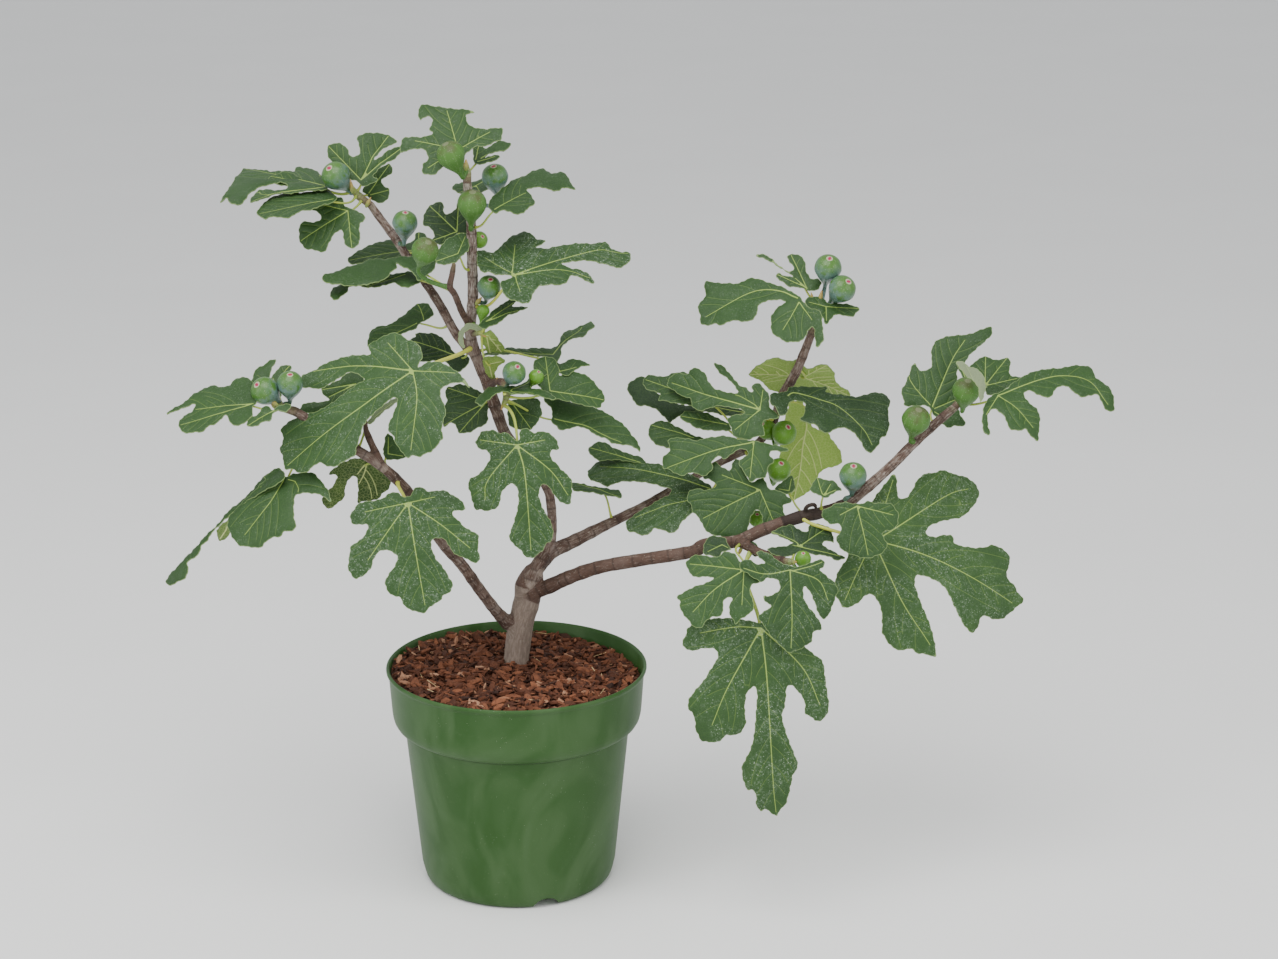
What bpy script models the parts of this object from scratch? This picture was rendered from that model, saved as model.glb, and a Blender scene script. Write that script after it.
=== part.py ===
"""Potted fig tree: a green nursery pot, mulch, one woody trunk with its branches, leaves and young figs.

Metres, +Z up, -Y is the side that the photograph looks at. The origin is the centre of the pot's underside.
Branches, leaves and figs are placed by their points in the photograph (1278 x 959, y down) and a depth in
metres behind the trunk, which spot() turns into a place. The pot sets the view's scale: a rim 282 mm across.
"""
import math

import bmesh
import bpy
import numpy as np
from mathutils import Vector
from mathutils.bvhtree import BVHTree
from mathutils.geometry import delaunay_2d_cdt

# The photograph's view: focal length and centre in pixels, eye in metres, pitch below the horizon
VIEW_FOCAL = 2986.0
VIEW_CENTRE = (639.0, 479.5)
VIEW_EYE = np.array([0.1325, -3.034, 1.375])
VIEW_PITCH = math.radians(16.93)
FORWARD = np.array([0.0, math.cos(VIEW_PITCH), -math.sin(VIEW_PITCH)])
UPWARD = np.array([0.0, math.sin(VIEW_PITCH), math.cos(VIEW_PITCH)])
RIGHT = np.array([1.0, 0.0, 0.0])
PIXEL = 1.0 / 928.0  # metres a pixel at the trunk's depth
TREE_BACK = 0.034  # how far behind the pot's middle the trunk stands

# Clearance between pieces that touch
GAP = 0.0003

# Pot: driving sizes
POT_HEIGHT = 0.243
POT_RIM_RADIUS = 0.141
POT_BAND_BOTTOM = 0.177
POT_FLOOR = 0.012
POT_SEGMENTS = 36
POT_CREASE = 30  # degrees
SOIL_CREASE = 60
NOTCH_RADIUS = 0.0155
NOTCH_DROP = 0.004
NOTCH_AZIMUTH = 19.0  # degrees right of the front
SOIL_LEVEL = 0.231
SOIL_MOUND = 0.004

# Leaves, figs and twigs
BLADE = 0.0009
BLADE_STEP = 0.030  # spacing of a blade's inner points
BLADE_WAVE = 0.0022
EDGE_TOLERANCE = 2.3  # pixels that an outline may be simplified by
PETIOLE_RADIUS = 0.0015
PETIOLE_ROOT = 0.009  # how far a stalk runs on under its blade
TWIG_SIDES = 7
FIG_SIDES = 7
# Fig profile from its stalk to its eye: place along its length, radius as a share of its width
FIG_LENGTH = 1.3
FIG_CENTRE = 0.68
FIG_PROFILE = ((0.0, 0.07), (0.14, 0.11), (0.30, 0.26), (0.46, 0.41), (0.64, 0.50), (0.83, 0.45),
               (0.96, 0.25))


def unit(vector):
    """The vector at length 1."""
    return vector / np.linalg.norm(vector)


def sight(points):
    """Directions of the sight lines through points of the photograph."""
    points = np.asarray(points, float)
    side = (points[..., 0] - VIEW_CENTRE[0]) / VIEW_FOCAL
    rise = (VIEW_CENTRE[1] - points[..., 1]) / VIEW_FOCAL
    return FORWARD + side[..., None] * RIGHT + rise[..., None] * UPWARD


def spot(px, py, depth):
    """The place on the sight line of a photograph point at a depth behind the trunk."""
    ray = sight((px, py))
    return VIEW_EYE + ray * (TREE_BACK + depth - VIEW_EYE[1]) / ray[1]


def seen(place):
    """The photograph point of a place."""
    offset = np.asarray(place) - VIEW_EYE
    away = offset @ FORWARD
    return np.stack([VIEW_CENTRE[0] + VIEW_FOCAL * (offset @ RIGHT) / away,
                     VIEW_CENTRE[1] - VIEW_FOCAL * (offset @ UPWARD) / away], axis=-1)


# Wood: each branch is a list of (x, y in the photograph, depth, radius in mm)
BRANCHES = {
    "trunk": [(512, 712, 0, 14.0), (516, 662, 0, 13.9), (520, 630, 0, 13.9), (523, 615, 0, 14.0),
              (527, 600, 0, 14.4), (529, 586, 0, 15.2), (532, 576, 0.002, 13.0), (534, 568, 0.003, 9.0)],
    "low_left": [(512, 627, 0, 6.0), (507, 622, -0.001, 8.2), (497, 612, -0.012, 6.4), (480, 590, -0.03, 6.2),
                 (462, 565, -0.045, 6.0), (440, 540, -0.055, 5.7), (412, 497, -0.07, 5.5),
                 (395, 478, -0.075, 5.6), (380, 465, -0.08, 5.3), (357, 450, -0.080, 5.2),
                 (325, 430, -0.076, 5.0), (298, 413, -0.078, 4.8), (290, 410, -0.08, 4.6)],
    "low_left_spur": [(384, 468, -0.08, 3.6), (378, 457, -0.078, 4.0), (372, 445, -0.073, 3.8),
                      (366, 430, -0.066, 3.2), (366, 421, -0.060, 1.8)],
    "upright": [(531, 583, 0, 8.0), (536, 568, 0.002, 7.6), (543, 557, 0.005, 7.3), (551, 540, 0.008, 5.6),
                (552, 520, 0.01, 5.2), (551, 505, 0.01, 5.2), (548, 490, 0.012, 5.2), (538, 473, 0.014, 5.4),
                (520, 453, 0.015, 5.8), (505, 433, 0.015, 6.2), (497, 412, 0.012, 6.5),
                (488, 385, 0.010, 6.5), (480, 365, 0.010, 6.4), (474, 350, 0.010, 6.4), (470, 330, 0.010, 6.0),
                (472, 310, 0.008, 5.9), (473, 290, 0.005, 5.7), (472, 260, 0, 5.5), (471, 220, -0.005, 5.2),
                (467, 182, -0.008, 4.6)],
    "upright_left": [(470, 352, 0.010, 4.5), (455, 332, 0.02, 5.0), (440, 305, 0.035, 4.9),
                     (425, 282, 0.045, 4.8), (408, 258, 0.055, 4.7), (395, 238, 0.06, 4.6),
                     (380, 218, 0.065, 4.4), (370, 204, 0.068, 4.2)],
    "upright_stub": [(471, 328, 0.008, 3.6), (462, 312, -0.01, 3.6), (455, 295, -0.03, 3.5),
                     (450, 287, -0.042, 3.4), (452, 275, -0.05, 3.2), (454, 264, -0.055, 2.4)],
    "upright_spur": [(488, 388, 0.01, 4.4), (495, 382, -0.012, 4.2), (504, 382, -0.029, 4.0)],
    "middle_right": [(537, 570, 0.002, 7.0), (552, 552, 0.02, 7.5), (570, 543, 0.035, 7.5),
                     (600, 528, 0.055, 6.2), (640, 508, 0.075, 5.0), (672, 490, 0.088, 4.6),
                     (700, 474, 0.09, 4.4), (725, 460, 0.09, 4.3), (755, 445, 0.088, 4.3),
                     (772, 425, 0.085, 4.6), (780, 400, 0.078, 5.0), (787, 388, 0.075, 5.5),
                     (797, 370, 0.07, 5.2), (806, 348, 0.065, 4.8), (814, 327, 0.06, 4.4)],
    "low_right": [(526, 593, 0, 7.5), (545, 588, -0.005, 8.0), (570, 577, -0.02, 7.6), (600, 567, -0.03, 7.2),
                  (640, 560, -0.04, 7.0), (690, 552, -0.05, 6.8), (706, 545, -0.05, 7.4),
                  (738, 541, -0.055, 6.6), (760, 531, -0.055, 6.8), (800, 517, -0.052, 6.6),
                  (820, 513, -0.05, 6.4), (850, 501, -0.045, 6.0), (889, 468, -0.03, 5.5),
                  (912, 445, -0.02, 5.2), (935, 424, -0.015, 5.0), (955, 407, -0.01, 4.4)],
    "low_right_spur": [(733, 541, -0.053, 4.6), (745, 545, -0.062, 5.0), (761, 553, -0.08, 4.6),
                       (785, 561, -0.10, 4.0)],
}

# Green shoots: the branch that each one grows from, the point where it stands on the branch's side (None at
# the branch's end), and its own points in the same terms
SHOOTS = {
    "tip_upright_left": ("upright_left", None, [
        (360, 197, 0.067, 4.0), (353, 190, 0.064, 3.4), (351, 183, 0.062, 1.4)]),
    "tip_upright": ("upright", None, [
        (467, 175, -0.008, 4.4), (466, 168, -0.008, 3.8), (466, 160, -0.009, 1.4)]),
    "tip_low_left": ("low_left", None, [
        (284, 408, -0.081, 4.4), (276, 406, -0.083, 3.6), (270, 402, -0.084, 1.4)]),
    "tip_middle_right": ("middle_right", None, [
        (817, 316, 0.055, 4.4), (820, 305, 0.05, 4.2), (821, 294, 0.047, 1.4)]),
    "tip_low_right": ("low_right", None, [
        (960, 402, -0.008, 4.2), (968, 396, -0.006, 3.6), (975, 391, -0.005, 1.4)]),
    "spray_middle": ("upright_spur", None, [
        (506, 389, -0.038, 3.8), (506, 398, -0.043, 3.4), (501, 410, -0.046, 1.6)]),
    "spray_upright": ("upright", (471, 333), [(480, 333, -0.010, 2.8), (486, 337, -0.016, 1.6)]),
    "spray_right": ("middle_right", (748, 449), [(744, 441, 0.070, 3.0), (738, 434, 0.060, 2.0)]),
    "spray_low": ("low_right_spur", None, [
        (790, 562, -0.104, 3.6), (797, 562, -0.106, 1.6)]),
}

# Leaves: heart (where the stalk meets the blade), depth of the heart, facing of the upper side as (degrees
# right of the viewer, degrees up), twig point that the stalk grows from, and the blade's outline
LEAVES = {}


def leaf(name, heart, depth, face, edge, root=None, twig=None, sag=0.010, node=None, bare=False):
    """Notes one blade; blades that share a node are joined in one body."""
    LEAVES[name] = {"heart": heart, "depth": depth, "face": face, "root": root, "twig": twig, "sag": sag,
                    "node": node or (twig if twig in SHOOTS else name), "bare": bare,
                    "edge": np.array(edge, float).reshape(-1, 2)}


leaf("leaf_01", (361, 180), 0.062, (0, 25), root=(356, 192), twig="tip_upright_left", edge=[
    358, 182, 350, 179, 348, 171, 338, 165, 330, 160, 327, 150, 330, 145, 336, 143, 342, 144, 347, 148,
    350, 155, 354, 157, 359, 154, 360, 149, 357, 139, 360, 135, 367, 133, 375, 133, 385, 134, 392, 137,
    397, 141, 393, 145, 385, 148, 379, 153, 374, 160, 379, 158, 386, 152, 394, 148, 403, 147, 399, 155,
    393, 160, 386, 163, 380, 168, 373, 176, 377, 178, 376, 182, 370, 184, 363, 187])
leaf("leaf_02", (367, 196), 0.085, (0, 30), root=(362, 198), twig="tip_upright_left", edge=[
    362, 190, 370, 183, 375, 172, 388, 164, 393, 171, 385, 178, 381, 180, 385, 187, 390, 190, 387, 200,
    380, 203, 372, 200])
leaf("leaf_03", (328, 187), 0.050, (0, 82), root=(353, 190), twig="tip_upright_left", sag=0.004, edge=[
    322, 177, 312, 170, 297, 168, 292, 172, 270, 171, 247, 169, 238, 175, 230, 187, 220, 202, 223, 202,
    227, 198, 230, 204, 240, 205, 246, 199, 252, 192, 262, 187, 275, 184, 285, 184, 288, 187, 282, 190,
    262, 190.5, 256, 193, 251, 199, 251, 203, 262, 200, 275, 195, 300, 192, 328, 189])
leaf("leaf_04", (337, 199), 0.030, (0, 80), root=(357, 194), twig="tip_upright_left", sag=0.004, edge=[
    328, 190, 310, 192, 290, 194, 275, 196, 265, 203, 260, 208, 257, 213, 260, 217, 265, 219, 275, 217,
    284, 219, 290, 218, 297, 214, 305, 211, 312, 210, 325, 205, 337, 200])
leaf("leaf_05", (348, 211), 0.040, (-10, 30), root=(362, 199), twig="tip_upright_left", edge=[
    352, 209, 346, 207, 344, 203, 342, 198, 335, 197, 320, 199, 310, 200, 308, 204, 308, 209, 314, 211,
    319, 213, 321, 219, 315, 222, 303, 222, 300, 227, 299, 234, 300, 242, 306, 249, 312, 250, 318, 251,
    322, 253, 326, 250, 329, 243, 333, 236, 338, 231, 341, 230, 343, 233, 344, 240, 345, 245, 349, 247,
    352, 249, 357, 245, 360, 240, 360, 224, 364, 222, 365, 217, 362, 213, 357, 211])
leaf("leaf_06", (418, 250), 0.095, (0, 72), root=(404, 252), twig="upright_left", sag=0.005, edge=[
    348, 262, 349, 258, 355, 254, 365, 248, 378, 243, 388, 240, 400, 241, 404, 245, 410, 243, 415, 238,
    416, 234, 421, 233, 425, 235, 430, 242, 430, 255, 415, 258, 400, 259, 380, 261, 355, 264])
leaf("leaf_07", (418, 268), 0.000, (0, 72), root=(450, 290), twig="upright_stub", sag=0.005, edge=[
    322, 277, 335, 272, 345, 268, 360, 264, 372, 260, 385, 259, 395, 258, 410, 257, 425, 256, 432, 256,
    437, 260, 435, 266, 433, 271, 428, 275, 419, 281, 413, 273, 405, 268, 397, 264, 397, 267, 393, 271,
    385, 279, 375, 283, 365, 285, 352, 287, 340, 285, 328, 284])
leaf("leaf_07_under", (405, 275), 0.022, (0, 70), root=(452, 291), twig="upright_stub", sag=0.004,
     node="leaf_07",
     edge=[330, 295, 332, 290, 337, 286, 352, 280, 370, 278, 380, 276, 390, 274, 400, 274, 410, 272, 421, 276,
           421, 282, 412, 287, 402, 287, 395, 283, 380, 287, 352, 287, 348, 291, 342, 297, 334, 301])
leaf("leaf_08", (458, 150), -0.010, (0, 40), root=(466, 169), twig="tip_upright", edge=[
    424, 104, 432, 106, 445, 108, 458, 109, 468, 110, 474, 113, 466, 115, 467, 120, 469, 125, 476, 128,
    485, 129, 500, 128, 503, 131, 501, 140, 495, 142, 485, 147, 478, 146, 470, 150, 462, 158, 455, 160,
    447, 164, 441, 169, 436, 174, 428, 175, 422, 172, 423, 164, 427, 161, 428, 157, 426, 152, 420, 149,
    408, 150, 401, 153, 401, 143, 405, 138, 420, 137, 430, 135, 433, 132, 429, 130, 430, 127, 433, 121,
    429, 117, 424, 118, 420, 121, 418, 112, 420, 107])
leaf("leaf_09", (474, 163), 0.016, (10, 60), root=(467, 172), twig="tip_upright", edge=[
    474, 163, 473, 152, 474, 146, 479, 145, 485, 149, 490, 147, 495, 143, 502, 142, 509, 143, 511, 145,
    507, 150, 500, 151, 490, 154, 485, 158, 495, 155, 500, 157, 497, 160, 488, 162, 478, 165])
leaf("leaf_10", (476, 186), 0.068, (0, 78), root=(468, 184), twig="upright", sag=0.004, edge=[
    452, 189, 456, 184, 462, 183, 474, 182, 482, 178, 490, 175, 497, 176, 502, 179, 500, 184, 490, 189,
    480, 193, 470, 193, 460, 194])
leaf("leaf_11", (487, 214), -0.024, (15, 65), root=(471, 226), twig="upright", sag=0.006, edge=[
    489, 208, 490, 200, 497, 193, 503, 188, 512, 181, 525, 176, 535, 171, 543, 169, 549, 172, 552, 174,
    560, 173, 567, 176, 570, 182, 575, 190, 563, 188, 560, 191, 550, 190, 543, 188, 533, 188, 527, 190,
    530, 194, 535, 203, 531, 207, 526, 210, 523, 214, 515, 215, 509, 212, 503, 210, 495, 213])
leaf("leaf_12", (457, 232), 0.034, (0, 35), root=(471, 238), twig="upright", edge=[
    423, 225, 423, 220, 425, 212, 430, 206, 437, 202, 443, 203, 444, 207, 443, 211, 446, 214, 451, 213,
    456, 208, 459, 202, 466, 215, 470, 225, 468, 234, 460, 233, 450, 240, 440, 245, 432, 242, 434, 236,
    433, 231, 428, 227])
leaf("leaf_13", (458, 254), -0.018, (-10, 45), root=(471, 268), twig="upright", edge=[
    440, 248, 447, 240, 456, 235, 464, 233, 468, 236, 469, 250, 465, 253, 462, 256, 458, 261, 450, 264,
    440, 265, 436, 262, 437, 255])
leaf("leaf_14", (512, 276), -0.030, (10, 60), root=(473, 306), twig="upright", sag=0.007, edge=[
    478, 251, 490, 252, 495, 252, 500, 247, 508, 239, 515, 235, 524, 232, 530, 234, 537, 239, 546, 242,
    538, 246, 536, 248, 545, 249, 560, 246, 575, 244, 590, 244, 603, 242, 607, 244, 612, 249, 620, 252,
    629, 253, 631, 258, 627, 264, 618, 269, 610, 266, 600, 263, 585, 261, 562, 263, 570, 268, 580, 270,
    590, 275, 594, 282, 592, 284, 583, 279, 572, 276, 567, 282, 560, 286, 550, 285, 540, 286, 535, 291,
    532, 297, 528, 303, 520, 303, 510, 300, 505, 296, 502, 290, 500, 285, 503, 281, 513, 278,
    505, 275, 497, 275, 490, 272, 485, 273, 480, 270, 477, 262])
leaf("leaf_15", (428, 322), 0.050, (-10, 62), root=(449, 324), twig="upright_left", edge=[
    420, 324, 414, 330, 405, 333, 395, 338, 385, 341, 375, 345, 368, 347, 368, 340, 370, 333, 375, 328,
    381, 326, 390, 325, 398, 320, 408, 312, 416, 305, 422, 303, 429, 305, 433, 311, 432, 317])
leaf("leaf_16", (459, 357), 0.062, (-20, 50), root=(474, 352), twig="upright", edge=[
    409, 340, 416, 337, 415, 334, 420, 333, 435, 334, 442, 338, 448, 344, 453, 351, 458, 355, 465, 355,
    470, 360, 465, 368, 460, 372, 452, 370, 447, 363, 435, 361, 420, 362, 418, 356, 422, 352, 418, 345])
leaf("leaf_17", (413, 371), -0.088, (-15, 35), root=(474, 347), twig="upright", sag=0.009, edge=[
    420, 362, 423, 356, 421, 350, 418, 344, 411, 341, 405, 338, 400, 334, 394, 333, 385, 336, 375, 341,
    368, 346, 370, 350, 370, 355, 355, 355, 345, 357, 335, 360, 325, 364, 315, 370, 303, 375, 302, 380,
    303, 388, 312, 388, 320, 389, 330, 384, 340, 378, 348, 373, 355, 373, 362, 377, 365, 380, 358, 384,
    350, 389, 340, 397, 330, 404, 318, 411, 305, 415, 290, 421, 283, 427, 281, 432, 284, 438, 282, 444,
    280, 450, 283, 458, 285, 469, 292, 469, 300, 473, 308, 472, 315, 465, 321, 463, 327, 466, 335, 467,
    345, 461, 355, 456, 357, 447, 360, 437, 364, 425, 372, 415, 382, 407, 390, 399, 396, 398, 398, 400,
    396, 407, 392, 418, 388, 429, 394, 437, 396, 444, 402, 452, 407, 458, 413, 456, 420, 457, 427, 453,
    433, 451, 440, 442, 443, 438, 442, 428, 444, 420, 446, 410, 443, 402, 440, 392, 445, 386, 455, 383,
    462, 383, 470, 388, 468, 384, 462, 376, 455, 370, 448, 366, 440, 362, 430, 362, 424, 364, 418, 368])
leaf("leaf_18", (356, 384), -0.015, (0, 30), root=(357, 450), twig="low_left", edge=[
    300, 413, 304, 404, 318, 402, 329, 400, 322, 393, 322, 388, 330, 384, 340, 379, 350, 372, 362, 376,
    364, 385, 352, 395, 335, 405, 318, 412])
leaf("leaf_19", (257, 404), -0.100, (-15, 62), root=(277, 407), twig="tip_low_left", sag=0.006, edge=[
    250, 379, 243, 378, 236, 380, 230, 385, 222, 388, 213, 386, 203, 389, 193, 395, 186, 401, 180, 405,
    167, 413, 170, 414, 180, 410, 190, 406, 196, 405, 192, 411, 183, 417, 179, 423, 179, 428, 183, 432,
    187, 434, 195, 432, 200, 433, 205, 430, 210, 426, 216, 425, 220, 420, 226, 415, 229, 420, 231, 424,
    240, 426, 247, 421, 252, 416, 253, 408, 256, 404, 258, 398, 255, 388])
leaf("leaf_20", (284, 405), -0.112, (-5, 55), root=(284, 408), twig="tip_low_left", edge=[
    291, 405, 287, 412, 278, 411, 273, 413, 272, 419, 270, 421, 262, 423, 257, 426, 251, 427, 247, 425,
    247, 421, 250, 418, 257, 415, 261, 411, 262, 407, 268, 406, 273, 410, 280, 406])
leaf("leaf_21", (279, 394), -0.062, (0, 45), root=(281, 407), twig="tip_low_left", edge=[
    253, 378, 254, 372, 258, 368, 265, 364, 271, 360, 276, 360, 275, 364, 271, 371, 270, 378, 274, 374,
    278, 369, 283, 366, 290, 365, 291, 370, 285, 375, 280, 390, 282, 396, 272, 396, 258, 392, 247, 389])
leaf("leaf_22", (286, 477), -0.085, (-20, 40), root=(318, 426), twig="low_left", edge=[
    286, 477, 280, 468, 272, 471, 264, 477, 265, 480, 258, 487, 250, 495, 240, 505, 230, 516, 228, 526,
    231, 535, 235, 541, 240, 546, 250, 547, 260, 548, 266, 543, 272, 538, 280, 537, 285, 532, 293, 531,
    296, 526, 294, 515, 294, 505, 295, 498, 299, 494, 308, 493, 320, 495, 325, 498, 331, 502, 329, 492,
    322, 482, 313, 473, 300, 473, 293, 474])
leaf("leaf_22_lobe", (272, 476), -0.078, (-60, 50), root=(318, 426), twig="low_left",
     node="leaf_22", bare=True,
     sag=0.004, edge=[
    280, 470, 265, 476, 250, 493, 228, 513, 205, 538, 183, 561, 167, 580, 170, 586, 177, 583, 184, 580,
    188, 572, 188, 564, 192, 559, 198, 556, 202, 546, 209, 540, 213, 532, 225, 520, 250, 500, 284, 480])
leaf("leaf_23", (368, 460), -0.048, (180, 22), root=(380, 466), twig="low_left", edge=[
    358, 458, 345, 462, 335, 468, 328, 475, 335, 474, 337, 478, 333, 486, 328, 491, 322, 500, 324, 506,
    331, 509, 337, 503, 342, 500, 345, 494, 345, 488, 348, 481, 353, 476, 357, 479, 358, 485, 358, 495,
    357, 503, 362, 502, 372, 500, 378, 499, 382, 494, 388, 489, 391, 482, 385, 474, 375, 466])
leaf("leaf_24", (388, 454), -0.040, (10, 35), root=(386, 470), twig="low_left", edge=[
    383, 452, 384, 445, 385, 438, 388, 433, 393, 438, 397, 445, 405, 453, 407, 457, 400, 459, 392, 460,
    385, 459])
leaf("leaf_25", (408, 503), -0.112, (0, 25), root=(397, 480), twig="low_left", sag=0.012, edge=[
    404, 497, 398, 493, 393, 492, 387, 495, 381, 499, 372, 501, 362, 502, 357, 505, 351, 514, 350, 518,
    353, 524, 360, 525, 366, 524, 368, 527, 366, 533, 360, 540, 352, 545, 350, 550, 349, 558, 348, 568,
    352, 576, 356, 579, 361, 577, 368, 572, 372, 566, 374, 558, 379, 552, 384, 550, 392, 552, 397, 556,
    397, 561, 394, 567, 388, 575, 385, 582, 387, 590, 393, 596, 400, 597, 402, 602, 408, 609, 415, 611,
    420, 613, 426, 612, 430, 607, 440, 601, 443, 596, 450, 592, 453, 585, 449, 577, 443, 567, 437, 560,
    433, 552, 431, 543, 434, 539, 440, 538, 446, 541, 452, 551, 458, 556, 463, 557, 470, 561, 477, 563,
    480, 558, 478, 548, 479, 538, 476, 533, 466, 528, 458, 520, 452, 514, 455, 511, 465, 510, 465, 507,
    461, 500, 454, 496, 448, 492, 442, 490, 435, 491, 427, 491, 423, 488, 417, 487, 413, 491, 410, 496])
leaf("leaf_26", (517, 445), -0.075, (0, 20), root=(502, 404), twig="spray_middle", node="leaf_26",
     sag=0.012, edge=[
    515, 440, 508, 433, 500, 433, 493, 430, 484, 431, 480, 433, 477, 440, 475, 443, 480, 449, 487, 451,
    490, 455, 489, 461, 485, 467, 479, 474, 470, 479, 468, 485, 470, 492, 472, 500, 475, 509, 482, 510,
    486, 511, 495, 509, 500, 503, 501, 495, 505, 488, 511, 484, 515, 485, 518, 492, 518, 505, 515, 518,
    511, 530, 509, 536, 512, 543, 518, 548, 522, 552, 526, 557, 532, 558, 537, 555, 543, 550, 547, 543,
    552, 540, 553, 530, 550, 520, 545, 512, 541, 503, 539, 495, 540, 488, 544, 484, 548, 486, 553, 493,
    558, 500, 563, 503, 568, 505, 571, 501, 572, 490, 572, 482, 569, 476, 562, 470, 557, 464, 552, 459,
    550, 454, 553, 450, 559, 449, 557, 441, 552, 435, 546, 432, 541, 431, 535, 433, 531, 431, 525, 428,
    520, 431, 519, 440])
leaf("leaf_27", (487, 402), 0.040, (-5, 45), root=(492, 400), twig="upright", edge=[
    447, 388, 453, 386, 460, 384, 470, 387, 482, 393, 490, 400, 488, 410, 487, 423, 478, 428, 470, 432,
    460, 433, 457, 430, 455, 424, 450, 423, 444, 427, 442, 418, 444, 408, 447, 400, 445, 393])
leaf("leaf_28", (512, 403), -0.018, (0, 40), root=(505, 402), twig="spray_middle", edge=[
    508, 404, 508, 420, 511, 427, 518, 429, 527, 430, 533, 428, 538, 421, 542, 414, 541, 408, 540, 402,
    535, 398, 522, 399, 513, 400])
leaf("leaf_29", (500, 394), -0.062, (0, 80), root=(506, 392), twig="spray_middle",
     sag=0.003, edge=[
    475, 403, 476, 400, 483, 392, 490, 388, 500, 386, 510, 387, 519, 386, 527, 381, 535, 376, 545, 372,
    550, 373, 540, 379, 530, 387, 545, 391, 552, 395, 556, 399, 550, 400, 540, 396, 528, 395, 515, 393,
    505, 392, 498, 394, 490, 399, 482, 406])
leaf("leaf_30", (550, 391), -0.022, (10, 35), root=(507, 396), twig="spray_middle", edge=[
    533, 365, 537, 359, 545, 357, 553, 358, 557, 363, 559, 370, 560, 376, 567, 373, 575, 372, 583, 374,
    591, 379, 598, 387, 603, 393, 605, 399, 602, 404, 600, 408, 590, 407, 575, 403, 560, 400, 548, 396,
    540, 388, 535, 378])
leaf("leaf_30_curl", (560, 372), "leaf_30", (0, 66), node="spray_middle", sag=0.003, bare=True, edge=[
    553, 358, 560, 364, 567, 361, 575, 360, 585, 362, 590, 365, 578, 368, 566, 376, 556, 370])
leaf("leaf_31", (551, 418), -0.012, (20, 50), root=(505, 400), twig="spray_middle", sag=0.006, edge=[
    552, 410, 543, 398, 556, 398, 570, 402, 580, 404, 595, 408, 610, 416, 622, 424, 630, 433, 638, 443,
    640, 452, 632, 446, 624, 445, 613, 444, 605, 438, 597, 436, 590, 431, 583, 427, 575, 427, 567, 430,
    560, 430, 555, 425, 551, 421])
leaf("leaf_32", (553, 355), 0.028, (0, 78), root=(475, 352), twig="upright", sag=0.003, edge=[
    482, 355, 487, 353, 500, 350, 515, 348, 530, 349, 550, 348, 558, 345, 562, 335, 567, 332, 575, 329,
    585, 325, 591, 322, 595, 326, 590, 330, 586, 334, 582, 338, 574, 338, 568, 341, 562, 348, 560, 358,
    553, 366, 545, 357, 520, 355, 505, 354, 490, 356])
leaf("leaf_33", (486, 333), -0.018, (180, 40), root=(482, 334), twig="spray_upright",
     edge=[490, 331, 495, 335, 500, 342, 505, 350, 498, 352, 488, 353, 484, 345, 480, 338])
leaf("leaf_34", (486, 322), -0.020, (10, 65), root=(482, 334), twig="spray_upright",
     sag=0.003, edge=[
    478, 326, 484, 320, 487, 317, 492, 312, 500, 306, 508, 301, 517, 301, 512, 306, 528, 308, 520, 311,
    507, 316, 500, 322, 492, 326, 484, 329])
leaf("leaf_36", (489, 364), -0.014, (180, 40), root=(482, 334), twig="spray_upright", edge=[
    484, 358, 495, 356, 505, 360, 500, 365, 495, 372, 496, 378, 490, 378, 484, 368])
leaf("leaf_38", (600, 490), 0.058, (0, 78), root=(612, 522), twig="middle_right", sag=0.003, edge=[
    572, 483, 590, 486, 600, 488, 618, 490, 622, 496, 618, 498, 598, 494, 580, 491, 573, 491])
leaf("leaf_39", (710, 489), 0.030, (-15, 60), root=(716, 466), twig="middle_right", sag=0.008, edge=[
    588, 472, 592, 467, 600, 461, 610, 457, 620, 456, 632, 459, 645, 463, 660, 465, 680, 470, 700, 480,
    712, 489, 700, 505, 692, 513, 684, 520, 680, 526, 676, 532, 670, 533, 662, 530, 655, 529, 650, 533,
    643, 536, 635, 533, 628, 531, 626, 523, 635, 515, 648, 507, 660, 500, 668, 496, 672, 490, 668, 488,
    660, 486, 650, 484, 640, 482, 622, 482, 612, 485, 605, 486, 597, 482, 590, 480])
leaf("leaf_39_behind", (640, 463), "leaf_39", (0, 60), node="leaf_39", bare=True, edge=[
    588, 451, 592, 445, 598, 442, 605, 443, 612, 447, 625, 453, 640, 457, 646, 463, 640, 464, 620, 460,
    600, 461, 592, 456])
leaf("leaf_40", (803, 299), 0.026, (-20, 45), root=(819, 310), twig="tip_middle_right", sag=0.009, edge=[
    800, 297, 790, 291, 780, 286, 770, 283, 760, 280, 752, 278, 745, 280, 737, 284, 720, 283, 707, 282,
    704, 287, 706, 293, 703, 300, 698, 306, 700, 315, 701, 324, 708, 326, 715, 324, 722, 325, 732, 321,
    745, 322, 752, 320, 757, 315, 758, 308, 762, 303, 770, 301, 780, 300, 786, 302, 780, 306, 774, 312,
    771, 318, 772, 333, 778, 337, 783, 341, 790, 342, 802, 341, 806, 335, 810, 328, 814, 328,
    816, 346, 820, 345, 824, 339, 823, 328, 822, 318, 820, 311, 812, 309, 805, 304])
leaf("leaf_41", (807, 289), 0.052, (0, 40), root=(820, 304), twig="tip_middle_right", edge=[
    800, 288, 788, 286, 784, 283, 776, 277, 778, 273, 785, 276, 793, 277, 780, 268, 770, 262, 762, 258,
    756, 256, 758, 254, 765, 255, 770, 258, 778, 265, 785, 270, 789, 272, 793, 271, 793, 266, 789, 261,
    787, 256, 795, 254, 801, 257, 805, 262, 806, 270, 809, 276, 811, 279, 817, 279, 822, 283, 820, 286,
    817, 290, 810, 291])
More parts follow.
